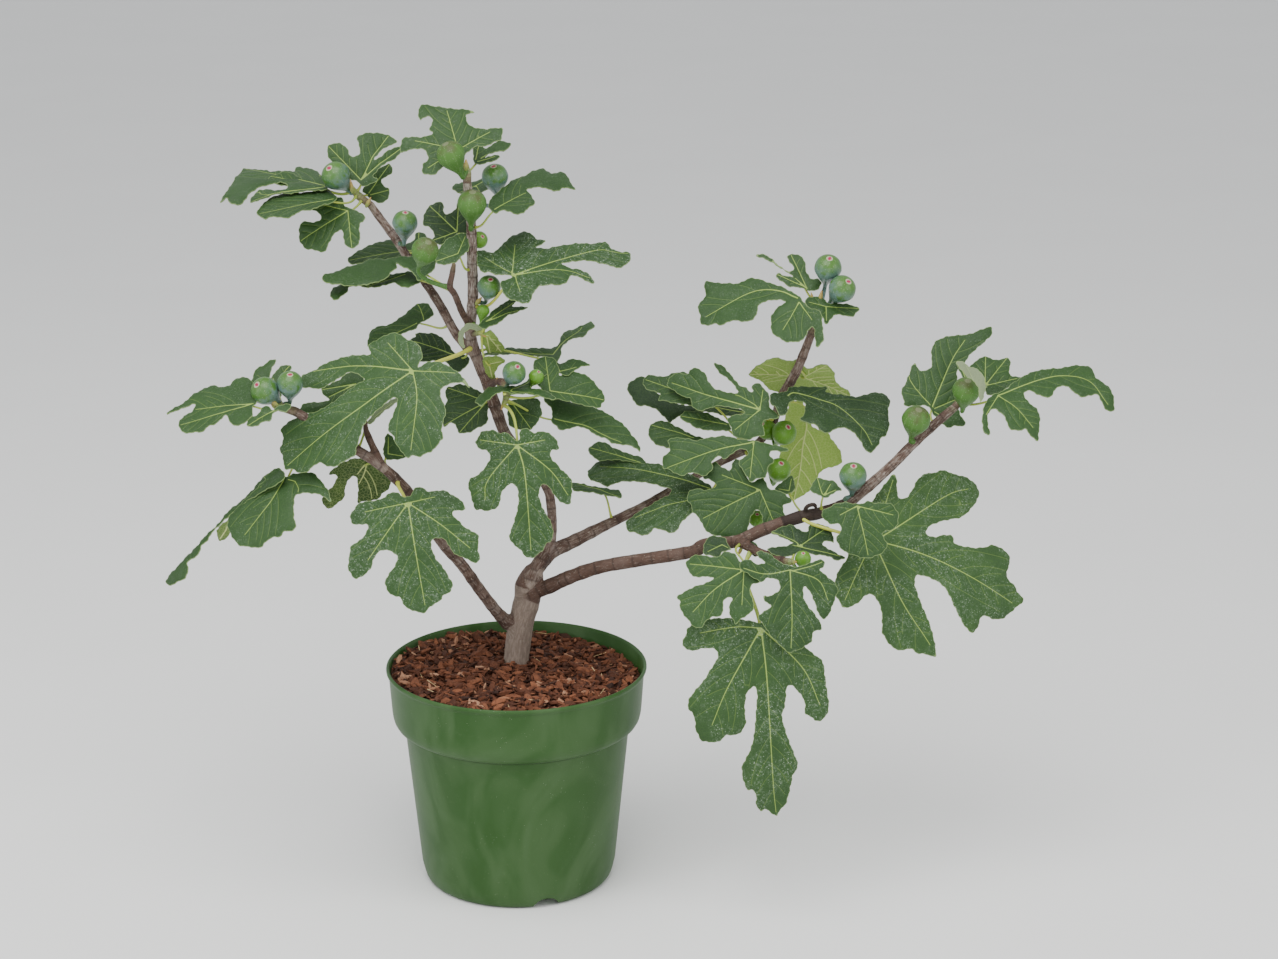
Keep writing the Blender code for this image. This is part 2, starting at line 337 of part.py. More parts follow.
leaf("leaf_42", (826, 307), 0.030, (10, 55), root=(820, 305), twig="tip_middle_right", edge=[
    805, 303, 808, 298, 815, 297, 822, 297, 828, 304, 835, 303, 845, 304, 855, 307, 860, 310, 856, 313,
    852, 317, 845, 316, 835, 315, 832, 318, 826, 324, 822, 316, 817, 311, 810, 309])
leaf("leaf_43", (803, 377), 0.100, (180, 45), root=(796, 372), twig="middle_right", edge=[
    749, 374, 757, 366, 768, 360, 777, 358, 787, 361, 798, 360, 806, 368, 815, 367, 822, 364, 828, 366,
    834, 372, 836, 382, 843, 388, 851, 395, 835, 398, 800, 398, 785, 393, 775, 392, 765, 386, 762, 381,
    755, 378])
leaf("leaf_44", (788, 396), 0.040, (10, 60), root=(783, 395), twig="middle_right", sag=0.008, edge=[
    771, 394, 780, 393, 787, 392, 788, 388, 800, 387, 815, 387, 828, 388, 826, 392, 840, 395, 853, 397,
    865, 395, 875, 393, 883, 394, 889, 398, 890, 403, 888, 412, 889, 420, 889, 428, 886, 435, 881, 438,
    879, 444, 875, 449, 870, 453, 865, 450, 860, 441, 856, 435, 850, 430, 840, 428, 833, 431, 825, 433,
    820, 430, 815, 425, 808, 423, 800, 420, 804, 414, 805, 406, 803, 402, 795, 401, 789, 403, 788, 410,
    785, 415, 780, 416, 775, 408, 770, 403])
leaf("leaf_45", (806, 405), 0.105, (180, 12), root=(780, 402), twig="middle_right", edge=[
    790, 402, 797, 401, 803, 403, 810, 423, 818, 430, 828, 433, 832, 440, 838, 447, 841, 453, 842, 461,
    838, 466, 828, 468, 821, 471, 818, 477, 815, 483, 811, 489, 806, 494, 800, 497, 794, 500, 788, 495,
    785, 490, 780, 470, 780, 450, 783, 425, 787, 412])
leaf("leaf_46", (760, 410), 0.034, (-10, 35), root=(775, 420), twig="middle_right", sag=0.009, edge=[
    667, 384, 672, 376, 679, 373, 688, 374, 690, 370, 695, 368, 702, 371, 706, 375, 708, 380, 712, 386,
    718, 390, 738, 393, 730, 381, 722, 375, 717, 370, 714, 364, 718, 364, 724, 367,
    730, 374, 736, 381, 740, 386, 745, 387, 750, 392, 753, 391, 752, 386, 757, 383, 762, 386, 767, 392,
    770, 397, 769, 402, 770, 407, 776, 413, 780, 417, 775, 419, 765, 420, 763, 424, 764, 430, 765, 436,
    760, 436, 754, 438, 748, 440, 740, 438, 733, 436, 732, 430, 728, 422, 728, 418, 735, 415, 743, 414,
    745, 412, 740, 409, 730, 408, 720, 406, 712, 407, 705, 410, 698, 411, 693, 407, 691, 402, 690, 398,
    683, 397, 676, 392, 670, 388])
leaf("leaf_47", (744, 413), 0.108, (0, 50), root=(763, 438), twig="middle_right", sag=0.005, edge=[
    628, 385, 634, 380, 645, 377, 650, 388, 660, 395, 672, 402, 690, 406, 720, 405, 745, 412, 730, 416,
    705, 412, 690, 414, 678, 417, 670, 423, 666, 419, 655, 409, 645, 406, 637, 406, 632, 398, 628, 392])
leaf("leaf_48", (718, 406), 0.066, (0, 50), root=(742, 439), twig="spray_right", sag=0.005, edge=[
    643, 384, 646, 376, 655, 376, 663, 377, 675, 373, 688, 374, 700, 390, 720, 405, 705, 408, 690, 406,
    664, 401, 658, 400, 660, 393, 648, 390])
leaf("leaf_49", (704, 440), 0.070, (0, 55), root=(742, 439), twig="spray_right", sag=0.005, edge=[
    648, 433, 652, 424, 662, 421, 672, 424, 690, 434, 705, 440, 690, 442, 678, 442, 670, 448, 660, 446,
    653, 442])
leaf("leaf_50", (754, 442), 0.016, (-5, 40), root=(757, 444), twig="middle_right", sag=0.008, edge=[
    668, 441, 672, 438, 680, 438, 688, 439, 697, 441, 705, 438, 715, 437, 725, 436, 735, 438, 745, 440,
    754, 441, 765, 443, 778, 446, 785, 448, 789, 451, 785, 452, 775, 451, 770, 452, 770, 456, 774, 460,
    772, 464, 768, 467, 767, 472, 766, 477, 760, 478, 755, 480, 750, 482, 747, 477, 743, 471, 739, 464,
    740, 460, 745, 457, 748, 453, 744, 449, 738, 450, 732, 454, 725, 459, 718, 456, 712, 462, 713, 468,
    708, 474, 702, 476, 695, 473, 688, 474, 682, 476, 675, 473, 668, 469, 664, 469, 662, 462, 664, 456,
    670, 451, 669, 446])
leaf("leaf_51", (727, 425), 0.060, (0, 55), root=(742, 439), twig="spray_right", sag=0.004, edge=[
    680, 418, 685, 412, 695, 411, 705, 413, 715, 417, 728, 424, 731, 430, 720, 431, 705, 430, 695, 428,
    688, 423])
leaf("leaf_52", (760, 490), -0.006, (-5, 30), root=(744, 450), twig="middle_right", sag=0.009, edge=[
    750, 482, 745, 472, 741, 462, 736, 459, 733, 462, 730, 470, 722, 467, 714, 462, 706, 472, 703, 478,
    710, 480, 716, 484, 713, 488, 706, 490, 697, 489, 690, 491, 687, 497, 687, 500, 691, 505, 692, 511,
    695, 514, 700, 520, 704, 528, 710, 534, 718, 536, 727, 538, 735, 540, 743, 537, 747, 533, 749, 524,
    751, 517, 755, 511, 758, 510, 762, 515, 762, 521, 766, 526, 773, 531, 780, 530, 784, 525, 786, 520,
    784, 512, 783, 505, 788, 504, 792, 500, 787, 496, 780, 491, 770, 489, 766, 483, 763, 478, 757, 480])
leaf("leaf_53", (789, 491), 0.030, (0, 40), root=(803, 516), twig="low_right", edge=[
    775, 490, 779, 484, 785, 480, 791, 475, 795, 484, 793, 492, 785, 494])
leaf("leaf_54", (857, 506), -0.092, (0, 25), root=(832, 508), twig="low_right", edge=[
    850, 503, 845, 502, 835, 504, 828, 508, 822, 511, 822, 516, 825, 520, 830, 524, 837, 524, 841, 526,
    841, 530, 838, 535, 836, 540, 839, 545, 842, 550, 850, 554, 857, 556, 862, 558, 870, 558, 876, 556,
    882, 553, 886, 549, 887, 544, 884, 538, 882, 534, 886, 531, 892, 530, 897, 526, 898, 520, 899, 515,
    896, 510, 893, 505, 886, 503, 875, 503, 868, 501, 860, 504])
leaf("leaf_55", (873, 540), -0.056, (10, 30), root=(808, 515), twig="low_right", sag=0.012, edge=[
    873, 500, 880, 490, 888, 480, 894, 474, 897, 482, 897, 490, 899, 498, 902, 499, 907, 497, 912, 490,
    916, 482, 920, 477, 928, 473, 935, 473, 940, 470, 948, 472, 956, 475, 963, 476, 972, 481, 978, 488,
    979, 495, 976, 502, 970, 510, 962, 517, 953, 519, 940, 522, 930, 526, 926, 531, 928, 536, 935, 537,
    943, 535, 950, 535, 953, 538, 955, 544, 962, 546, 975, 548, 985, 547, 993, 545, 1000, 548, 1007, 553,
    1010, 560, 1008, 568, 1007, 578, 1014, 585, 1019, 594, 1024, 600, 1018, 606, 1010, 613, 1002, 619,
    993, 619, 985, 616, 981, 617, 978, 626, 973, 633, 967, 629, 961, 620, 956, 610, 950, 597, 943, 586,
    936, 581, 927, 577, 919, 575, 915, 578, 915, 586, 919, 598, 924, 610, 930, 625, 934, 640, 936, 656,
    930, 656, 925, 654, 918, 654, 913, 650, 907, 649, 901, 651, 896, 649, 890, 645, 885, 638, 882, 632,
    882, 622, 881, 610, 878, 602, 875, 597, 870, 594, 865, 596, 858, 603, 850, 607, 843, 608, 840, 602,
    836, 597, 834, 588, 836, 577, 840, 568, 846, 560, 852, 545, 862, 520])
leaf("leaf_56", (761, 628), -0.146, (0, 15), root=(752, 549), twig="low_right_spur", sag=0.012, edge=[
    757, 622, 730, 618, 700, 620, 688, 628, 686, 634, 682, 644, 687, 649, 692, 651, 700, 649, 710, 648,
    716, 650, 718, 654, 716, 661, 710, 670, 704, 680, 697, 688, 690, 697, 688, 702, 688, 708, 692, 713,
    695, 720, 695, 727, 698, 735, 702, 741, 710, 742, 718, 742, 723, 738, 727, 735, 735, 735, 740, 733,
    745, 726, 746, 720, 745, 713, 745, 705, 746, 697, 748, 691, 753, 687, 756, 688, 757, 695, 756, 710,
    755, 725, 753, 740, 750, 750, 745, 760, 742, 766, 742, 774, 744, 783, 748, 790, 753, 790, 756, 795,
    756, 804, 760, 811, 765, 809, 770, 812, 777, 816, 779, 811, 785, 805, 788, 797, 791, 785, 793, 775,
    798, 766, 796, 758, 792, 748, 787, 735, 784, 725, 782, 716, 785, 705, 786, 695, 787, 687, 790, 685,
    795, 688, 800, 694, 804, 700, 805, 708, 805, 714, 812, 717, 815, 721, 822, 720, 827, 714, 829, 705,
    827, 690, 825, 675, 823, 662, 818, 657, 810, 651, 800, 642, 785, 632, 766, 624])
leaf("leaf_57", (744, 570), -0.138, (-10, 30), root=(742, 544), twig="low_right_spur", edge=[
    745, 566, 739, 560, 735, 554, 728, 552, 722, 553, 718, 557, 707, 556, 697, 555, 690, 558, 686, 563,
    687, 568, 691, 574, 694, 577, 711, 577, 713, 579, 708, 582, 700, 585, 694, 587, 688, 590, 679, 595,
    677, 598, 680, 602, 680, 608, 683, 614, 688, 620, 694, 627, 699, 628, 703, 626, 706, 621, 712, 617,
    718, 617, 723, 613, 723, 605, 725, 599, 730, 597, 732, 600, 729, 607, 730, 615, 733, 620, 736, 624,
    741, 619, 748, 615, 752, 611, 754, 605, 752, 598, 750, 590, 752, 585, 760, 582, 755, 575])
leaf("leaf_58", (790, 570), -0.146, (5, 20), root=(773, 557), twig="low_right_spur", edge=[
    782, 563, 775, 558, 768, 553, 760, 551, 756, 553, 760, 558, 765, 563, 757, 564, 752, 561, 747, 559,
    742, 561, 739, 566, 742, 570, 748, 574, 752, 577, 757, 580, 762, 582, 768, 578, 777, 580, 780, 585,
    779, 590, 774, 594, 768, 596, 764, 596, 764, 601, 771, 605, 768, 609, 763, 612, 758, 617, 765, 627,
    770, 635, 778, 643, 785, 650, 791, 653, 796, 650, 802, 649, 806, 645, 812, 642, 812, 636, 815, 631,
    822, 629, 820, 622, 814, 613, 808, 606, 804, 598, 803, 589, 806, 587, 811, 594, 815, 604, 819, 615,
    825, 619, 830, 612, 834, 602, 836, 596, 838, 590, 835, 583, 828, 577, 820, 570, 823, 567, 825, 563,
    823, 560, 817, 560, 810, 563, 803, 565, 797, 567])
leaf("leaf_59", (722, 545), -0.072, (-5, 45), root=(722, 543), twig="low_right", edge=[
    706, 540, 712, 536, 720, 537, 726, 539, 728, 545, 731, 550, 722, 552, 720, 557, 712, 556, 703, 553])
leaf("leaf_60", (799, 547), -0.086, (5, 50), root=(791, 562), twig="spray_low", edge=[
    793, 543, 785, 539, 778, 536, 771, 533, 780, 528, 790, 525, 797, 528, 803, 532, 808, 531, 809, 526,
    815, 524, 826, 526, 831, 530, 833, 537, 834, 543, 828, 541, 823, 543, 823, 546, 828, 549, 836, 553,
    845, 558, 842, 560, 835, 560, 828, 556, 815, 555, 808, 553, 800, 552, 792, 556, 780, 557, 770, 553,
    767, 550, 775, 547, 785, 546])
leaf("leaf_61", (822, 500), -0.066, (0, 35), root=(822, 512), twig="low_right", edge=[
    817, 495, 810, 490, 811, 486, 815, 480, 817, 477, 822, 479, 828, 480, 835, 482, 839, 487, 842, 491,
    838, 491, 832, 494, 827, 498])
leaf("leaf_62", (931, 410), 0.014, (0, 30), root=(936, 424), twig="low_right", sag=0.008, edge=[
    926, 406, 905, 406, 904, 400, 901, 392, 905, 384, 909, 374, 912, 366, 915, 363, 918, 369, 924, 371,
    929, 369, 932, 364, 931, 355, 932, 348, 935, 342, 942, 338, 950, 336, 960, 335, 970, 334, 980, 330,
    988, 327, 992, 328, 992, 334, 987, 340, 980, 346, 972, 353, 967, 359, 963, 366, 957, 372, 958, 390,
    956, 400, 960, 414, 966, 425, 955, 426, 948, 428, 943, 425, 938, 420, 933, 414])
leaf("leaf_63", (998, 396), -0.034, (10, 55), root=(962, 400), twig="tip_low_right", sag=0.007, edge=[
    992, 396, 986, 402, 983, 410, 982, 420, 983, 430, 985, 434, 988, 436, 990, 433, 988, 424, 988, 415,
    991, 410, 996, 409, 1001, 413, 1005, 418, 1008, 427, 1012, 430, 1020, 431, 1025, 429, 1030, 435,
    1038, 441, 1039, 430, 1040, 420, 1038, 411, 1032, 405, 1026, 400, 1024, 395, 1025, 392, 1030, 391,
    1037, 394, 1045, 397, 1052, 397, 1054, 391, 1062, 386, 1070, 389, 1077, 395, 1083, 398, 1090, 396,
    1097, 394, 1101, 400, 1104, 408, 1109, 412, 1114, 410, 1114, 402, 1112, 393, 1108, 386, 1103, 383,
    1096, 378, 1093, 371, 1090, 367, 1075, 366, 1060, 368, 1045, 370, 1035, 371, 1022, 377, 1012, 384,
    1005, 390])
leaf("leaf_64", (985, 386), 0.024, (0, 50), root=(966, 397), twig="tip_low_right", sag=0.006, edge=[
    970, 367, 977, 361, 983, 357, 990, 358, 998, 360, 1006, 358, 1011, 363, 1009, 370, 1012, 376,
    1022, 378, 1010, 386, 1000, 393, 988, 395, 983, 388, 975, 380])
leaf("leaf_65", (966, 383), 0.006, (-20, 50), root=(970, 394), twig="tip_low_right", sag=0.003, edge=[
    956, 364, 960, 362, 965, 366, 975, 370, 982, 374, 985, 383, 987, 388, 976, 389, 966, 388, 963, 380,
    960, 372])

# Figs: centre and width in pixels, depth of the centre, eye (where it is turned to) and the twig point
FIGS = {
    "fig_01": ((336, 176), 28, 0.046, (330, 169), (353, 191), "tip_upright_left"),
    "fig_02": ((405, 223), 25, 0.040, (406, 213), (399, 244), "upright_left"),
    "fig_03": ((425, 251), 26, -0.064, (429, 243), (449, 287), "upright_stub"),
    "fig_04": ((451, 155), 27, -0.034, (446, 145), (466, 171), "tip_upright"),
    "fig_05": ((472, 204), 28, -0.030, (473, 193), (471, 226), "upright"),
    "fig_06": ((495, 177), 26, 0.036, (494, 167), (471, 206), "upright"),
    "fig_07": ((479, 240), 17, 0.016, (483, 237), (472, 250), "upright"),
    "fig_08": ((489, 287), 23, -0.012, (491, 280), (474, 300), "upright"),
    "fig_09": ((514, 373), 23, -0.052, (518, 367), (506, 389), "spray_middle"),
    "fig_10": ((536, 377), 15, -0.040, (539, 372), (506, 393), "spray_middle"),
    "fig_11": ((265, 391), 27, -0.088, (258, 385), (278, 407), "tip_low_left"),
    "fig_12": ((290, 384), 25, -0.086, (291, 375), (284, 408), "tip_low_left"),
    "fig_13": ((828, 268), 27, 0.046, (829, 259), (820, 302), "tip_middle_right"),
    "fig_14": ((842, 289), 27, 0.028, (848, 282), (820, 306), "tip_middle_right"),
    "fig_15": ((784, 433), 25, 0.052, (788, 427), (770, 428), "middle_right"),
    "fig_16": ((779, 470), 24, 0.050, (781, 463), (760, 442), "middle_right"),
    "fig_17": ((757, 519), 17, 0.006, (757, 514), (762, 530), "low_right"),
    "fig_18": ((853, 476), 27, -0.058, (853, 466), (846, 503), "low_right"),
    "fig_19": ((916, 420), 28, -0.040, (918, 410), (914, 444), "low_right"),
    "fig_20": ((966, 391), 27, -0.028, (967, 381), (961, 401), "tip_low_right"),
    "fig_21": ((803, 559), 16, -0.100, (803, 553), (792, 562), "spray_low"),
}

# Colours, linear: base colour, roughness
FINISHES = {
    "pot": ((0.083, 0.155, 0.062), 0.42),
    "soil": ((0.085, 0.035, 0.022), 0.95),
    "wood": ((0.230, 0.175, 0.140), 0.85),
    "leaf": ((0.055, 0.120, 0.040), 0.50),
    "fig": ((0.150, 0.260, 0.110), 0.40),
}


def curve_through(points, steps):
    """A smooth open curve through rows of numbers, with a number of steps between neighbours."""
    points = np.asarray(points, float)
    padded = np.vstack([2 * points[0] - points[1], points, 2 * points[-1] - points[-2]])
    rows = []
    for i in range(len(points) - 1):
        a, b, c, d = padded[i:i + 4]
        for t in np.arange(steps) / steps:
            rows.append(0.5 * (2 * b + (c - a) * t + (2 * a - 5 * b + 4 * c - d) * t * t
                               + (3 * b - a - 3 * c + d) * t ** 3))
    rows.append(points[-1])
    return np.array(rows)


def branch_line(name):
    """A branch's centre line with its radius in the fourth column, in metres."""
    return np.array([[*spot(x, y, depth), radius / 1000] for x, y, depth, radius in BRANCHES[name]])


def shoot_line(name):
    """A green shoot's centre line and radii, from the branch that carries it."""
    branch, side, points = SHOOTS[name]
    own = np.array([[*spot(x, y, depth), radius / 1000] for x, y, depth, radius in points])
    if side is None:
        line = branch_line(branch)
        foot = line[-1].copy()
        foot[:3] -= unit(line[-1, :3] - line[-2, :3]) * foot[3] * 0.4
        foot[3] *= 0.95
        return np.vstack([foot, own])
    centre, radius, along = twig_place(branch, side)
    away = own[0, :3] - centre
    away = unit(away - along * (away @ along))
    return np.vstack([[*(centre + away * (radius + GAP)), own[0, 3] * 0.95], own])


def twig_place(name, point):
    """Centre, radius and direction of a branch or shoot where it passes a photograph point."""
    line = curve_through(shoot_line(name) if name in SHOOTS else branch_line(name), 12)
    at = int(np.argmin(np.linalg.norm(seen(line[:, :3]) - point, axis=1)))
    low, high = max(at - 1, 0), min(at + 1, len(line) - 1)
    return line[at, :3], line[at, 3], unit(line[high, :3] - line[low, :3])


def tube(line, sides):
    """A closed tube along rows of (x, y, z, radius)."""
    line = np.asarray(line, float)
    count = len(line)
    side = None
    verts = []
    for i in range(count):
        along = unit(line[min(i + 1, count - 1), :3] - line[max(i - 1, 0), :3])
        if side is None:
            side = np.cross(along, RIGHT if abs(along[0]) < 0.8 else UPWARD)
        side = unit(side - along * (side @ along))
        other = np.cross(along, side)
        for k in range(sides):
            turn = 2 * math.pi * k / sides
            verts.append(line[i, :3] + line[i, 3] * (math.cos(turn) * side + math.sin(turn) * other))
    faces = [tuple(reversed(range(sides)))]
    for i in range(count - 1):
        for k in range(sides):
            j = (k + 1) % sides
            faces.append((i * sides + k, i * sides + j, (i + 1) * sides + j, (i + 1) * sides + k))
    faces.append(tuple(range((count - 1) * sides, count * sides)))
    return verts, faces


def stalk(start, arrive, twig, root, radii, rooted, steps=3):
    """Rows of a stalk that leaves a blade or fig along arrive, and stands on its twig or is rooted in it."""
    centre, radius, along = twig_place(twig, root)
    away = start - centre
    away = unit(away - along * (away @ along))
    end = centre + away * (radius * 0.2 if rooted else radius + GAP)
    reach = np.linalg.norm(start - end)
    knots = (start, start + arrive * reach * 0.35, end + away * reach * 0.35, end)
    rows = []
    for t in np.arange(steps + 1) / steps:
        weights = ((1 - t) ** 3, 3 * t * (1 - t) ** 2, 3 * t * t * (1 - t), t ** 3)
        place = sum(w * knot for w, knot in zip(weights, knots))
        rows.append([*place, radii[0] + (radii[1] - radii[0]) * t])
    return np.array(rows)


def simplify(points, tolerance):
    """Leaves out the points of a closed outline that lie within a tolerance of the line without them."""
    def walk(first, last):
        chord = points[last % len(points)] - points[first]
        inner = points[first + 1:last]
        if len(inner) == 0:
            return []
        offset = inner - points[first]
        away = np.abs(chord[0] * offset[:, 1] - chord[1] * offset[:, 0]) / max(np.hypot(*chord), 1e-9)
        far = int(np.argmax(away))
        if away[far] < tolerance:
            return []
        middle = first + 1 + far
        return walk(first, middle) + [middle] + walk(middle, last)

    opposite = int(np.argmax(np.linalg.norm(points - points[0], axis=1)))
    keep = [0] + walk(0, opposite) + [opposite] + walk(opposite, len(points))
    return points[keep]


def blade_frame(face):
    """Across, along and normal directions of a blade that faces (degrees right, degrees up)."""
    azimuth, rise = (math.radians(value) for value in face)
    level = math.cos(rise)
    normal = np.array([math.sin(azimuth) * level, -math.cos(azimuth) * level, math.sin(rise)])
    across = unit(np.cross((0.0, 0.0, 1.0), normal))
    return across, np.cross(normal, across), normal


def blade_height(a, b, sag, wave):
    """How far a blade stands off its flat plane, falling away from its heart in soft waves."""
    square = (a * a + b * b) / 0.01
    return -sag * square + wave * np.minimum(square * 3, 1) * np.sin(41 * a + 1.3) * np.cos(37 * b + 0.4)


def heart_place(item):
    """The place of a blade's heart: at its own depth, or on the blade that it names."""
    if isinstance(item["depth"], str):
        carrier = LEAVES[item["depth"]]
        a, b = cast(carrier, np.array([item["heart"]], float))
        return blade_points(carrier, a, b)[0]
    return spot(*item["heart"], item["depth"])


def blade_wave(item):
    """Height of a blade's waves."""
    return BLADE_WAVE * min(item["sag"] / 0.010, 1)


def blade_points(item, a, b, shift=0.0):
    """Places on a blade, from its own two coordinates, moved along its normal by shift."""
    across, along, normal = blade_frame(item["face"])
    height = blade_height(a, b, item["sag"], blade_wave(item)) + shift
    return heart_place(item) + np.outer(a, across) + np.outer(b, along) + np.outer(height, normal)


def cast(item, points):
    """Photograph points cast on a blade's curved surface, in the blade's own two coordinates."""
    across, along, normal = blade_frame(item["face"])
    heart = heart_place(item)
    rays = sight(points)
    height = np.zeros(len(rays))
    for _ in range(30):
        place = VIEW_EYE + rays * (((heart - VIEW_EYE) @ normal + height) / (rays @ normal))[:, None]
        a, b = (place - heart) @ across, (place - heart) @ along
        height += 0.6 * (blade_height(a, b, item["sag"], blade_wave(item)) - height)
    return a, b


def blade(item):
    """A leaf blade: the photograph outline cast on its curved surface, with one thickness."""
    a, b = cast(item, simplify(item["edge"], EDGE_TOLERANCE))
    rim = [Vector(pair) for pair in zip(a, b)]
    inner = []
    for x in np.arange(a.min(), a.max(), BLADE_STEP):
        for y in np.arange(b.min(), b.max(), BLADE_STEP):
            edge_gap = min(abs(complex(x - u, y - v)) for u, v in zip(a, b))
            if inside((x, y), rim) and edge_gap > BLADE_STEP * 0.35:
                inner.append(Vector((x, y)))
    flat, _, triangles, *_ = delaunay_2d_cdt(rim + inner, [], [list(range(len(rim)))], 1, 1e-6)
    count = len(flat)
    flat_a, flat_b = np.array(flat).T
    verts = [*blade_points(item, flat_a, flat_b, BLADE / 2), *blade_points(item, flat_a, flat_b, -BLADE / 2)]
    faces = []
    borders = {}
    for triangle in triangles:
        faces.append(tuple(triangle))
        faces.append(tuple(count + i for i in reversed(triangle)))
        for i, j in zip(triangle, triangle[1:] + triangle[:1]):
            if borders.pop((j, i), None) is None:
                borders[i, j] = True
    for i, j in borders:
        faces.append((i, count + i, count + j, j))
    return verts, faces


def inside(point, rim):
    """Whether a point lies within a closed outline."""
    x, y = point
    odd = False
    for p, q in zip(rim, rim[1:] + rim[:1]):
        if (p.y > y) != (q.y > y) and x < p.x + (y - p.y) * (q.x - p.x) / (q.y - p.y):
            odd = not odd
    return odd


def petiole(item):
    """A leaf's stalk, from inside its blade to its twig."""
    normal = blade_frame(item["face"])[2]
    heart = heart_place(item)
    middle = item["edge"].mean(axis=0)
    ray = sight(middle)
    centre = VIEW_EYE + ray * (((heart - VIEW_EYE) @ normal) / (ray @ normal))
    inward = unit(centre - heart)
    start = heart + inward * min(PETIOLE_ROOT, np.linalg.norm(centre - heart) * 0.3) - normal * BLADE / 2
    arrive = unit(-inward - 0.35 * normal)
    radii = (PETIOLE_RADIUS, PETIOLE_RADIUS * 1.15)
    return tube(stalk(start, arrive, item["twig"], item["root"], radii, item["node"] == item["twig"]), 5)


def fig(centre, width, depth, eye, root, twig):
    """A fig on its neck: one turned body that swells from the twig to the eye."""
    middle = spot(*centre, depth)
    size = width * PIXEL
    lean_x, lean_y = (np.array(eye) - centre) / (width / 2)
    toward = math.sqrt(max(1 - lean_x ** 2 - lean_y ** 2, 0.05))
    axis = unit(RIGHT * lean_x - UPWARD * lean_y - FORWARD * toward)
    length = size * FIG_LENGTH
    base = middle - axis * length * FIG_CENTRE
    neck = stalk(base, -axis, twig, root, (size * FIG_PROFILE[0][1], size * 0.09), twig in SHOOTS)[:0:-1]
    body = [[*(base + axis * length * t), size * share] for t, share in FIG_PROFILE]
    return tube(np.vstack([neck, body]), FIG_SIDES)


def add_object(name, shape):
    """A mesh object from corner points and faces."""
    mesh = bpy.data.meshes.new(name)
    mesh.from_pydata([tuple(point) for point in shape[0]], [], shape[1])
    mesh.update()
    item = bpy.data.objects.new(name, mesh)
    bpy.context.scene.collection.objects.link(item)
    return item


def settle(item):
    """Applies an object's modifiers and returns it."""
    finished = bpy.data.meshes.new_from_object(item.evaluated_get(bpy.context.evaluated_depsgraph_get()))
    item.modifiers.clear()
    item.data = finished
    return item


def combine(item, cutters, operation, solver="EXACT"):
    """One Boolean between an object and a collection of others, which are then removed."""
    group = bpy.data.collections.new(item.name + "_members")
    bpy.context.scene.collection.children.link(group)
    for cutter in cutters:
        bpy.context.scene.collection.objects.unlink(cutter)
        group.objects.link(cutter)
    boolean = item.modifiers.new("join", "BOOLEAN")
    boolean.operation = operation
    boolean.solver = solver
    boolean.operand_type = "COLLECTION"
    boolean.collection = group
    settle(item)
    for cutter in cutters:
        bpy.data.objects.remove(cutter)
    bpy.data.collections.remove(group)
    return item


def fuse(name, shapes):
    """Closed shapes joined in one body."""
    item = add_object(name, shapes[0])
    rest = [add_object(name + "_member", shape) for shape in shapes[1:]]
    if rest:
        combine(item, rest, "UNION", "MANIFOLD")
    return item


def finish(item, name, crease=40):
    """Gives an object its material and smooth shading."""
    colour, roughness = FINISHES[name]
    material = bpy.data.materials.new(item.name)
    material.use_nodes = True
    shader = material.node_tree.nodes["Principled BSDF"]
    shader.inputs["Base Color"].default_value = (*colour, 1)
    shader.inputs["Roughness"].default_value = roughness
    item.data.materials.clear()
    item.data.materials.append(material)
    item.data.shade_smooth()
    item.data.set_sharp_from_angle(angle=math.radians(crease))


def surface(item):
    """A search tree of an object's faces."""
    return BVHTree.FromObject(item, bpy.context.evaluated_depsgraph_get())


def clear_of_wood(item):
    """Cuts an object clear of each branch that it would meet, and drops loose scraps."""
    cutters = []
    for name in BRANCHES:
        line = branch_line(name)
        line[:, 3] += GAP
        line[-1, :3] += unit(line[-1, :3] - line[-2, :3]) * GAP
        cutter = add_object("clearance", tube(line, branch_sides(name)))
        if surface(cutter).overlap(surface(item)):
            cutters.append(cutter)
        else:
            bpy.data.objects.remove(cutter)
    if cutters:
        combine(item, cutters, "DIFFERENCE", "MANIFOLD")
        keep_largest(item)


def keep_largest(item):
    """Deletes all but the body with the most corners."""
    mesh = bmesh.new()
    mesh.from_mesh(item.data)
    bodies, waiting = [], set(mesh.verts)
    while waiting:
        body, front = set(), {waiting.pop()}
        while front:
            body |= front
            front = {edge.other_vert(vert) for vert in front for edge in vert.link_edges} - body
        waiting -= body
        bodies.append(body)
    bodies.sort(key=len)
    for body in bodies[:-1]:
        bmesh.ops.delete(mesh, geom=list(body), context="VERTS")
    mesh.to_mesh(item.data)
    mesh.free()


def turned(profile, segments):
    """A closed solid of revolution round Z, from a profile that starts and ends on the axis."""
    verts = [(0, 0, profile[0][1])]
    for radius, height in profile[1:-1]:
        for k in range(segments):
            turn = 2 * math.pi * k / segments
            verts.append((radius * math.cos(turn), radius * math.sin(turn), height))
    verts.append((0, 0, profile[-1][1]))
    faces = []
    rings = len(profile) - 2
    for k in range(segments):
        j = (k + 1) % segments
        faces.append((0, 1 + j, 1 + k))
        for i in range(rings - 1):
            low, high = 1 + i * segments, 1 + (i + 1) * segments
            faces.append((low + k, low + j, high + j, high + k))
        faces.append((1 + (rings - 1) * segments + k, 1 + (rings - 1) * segments + j, len(verts) - 1))
    return verts, faces


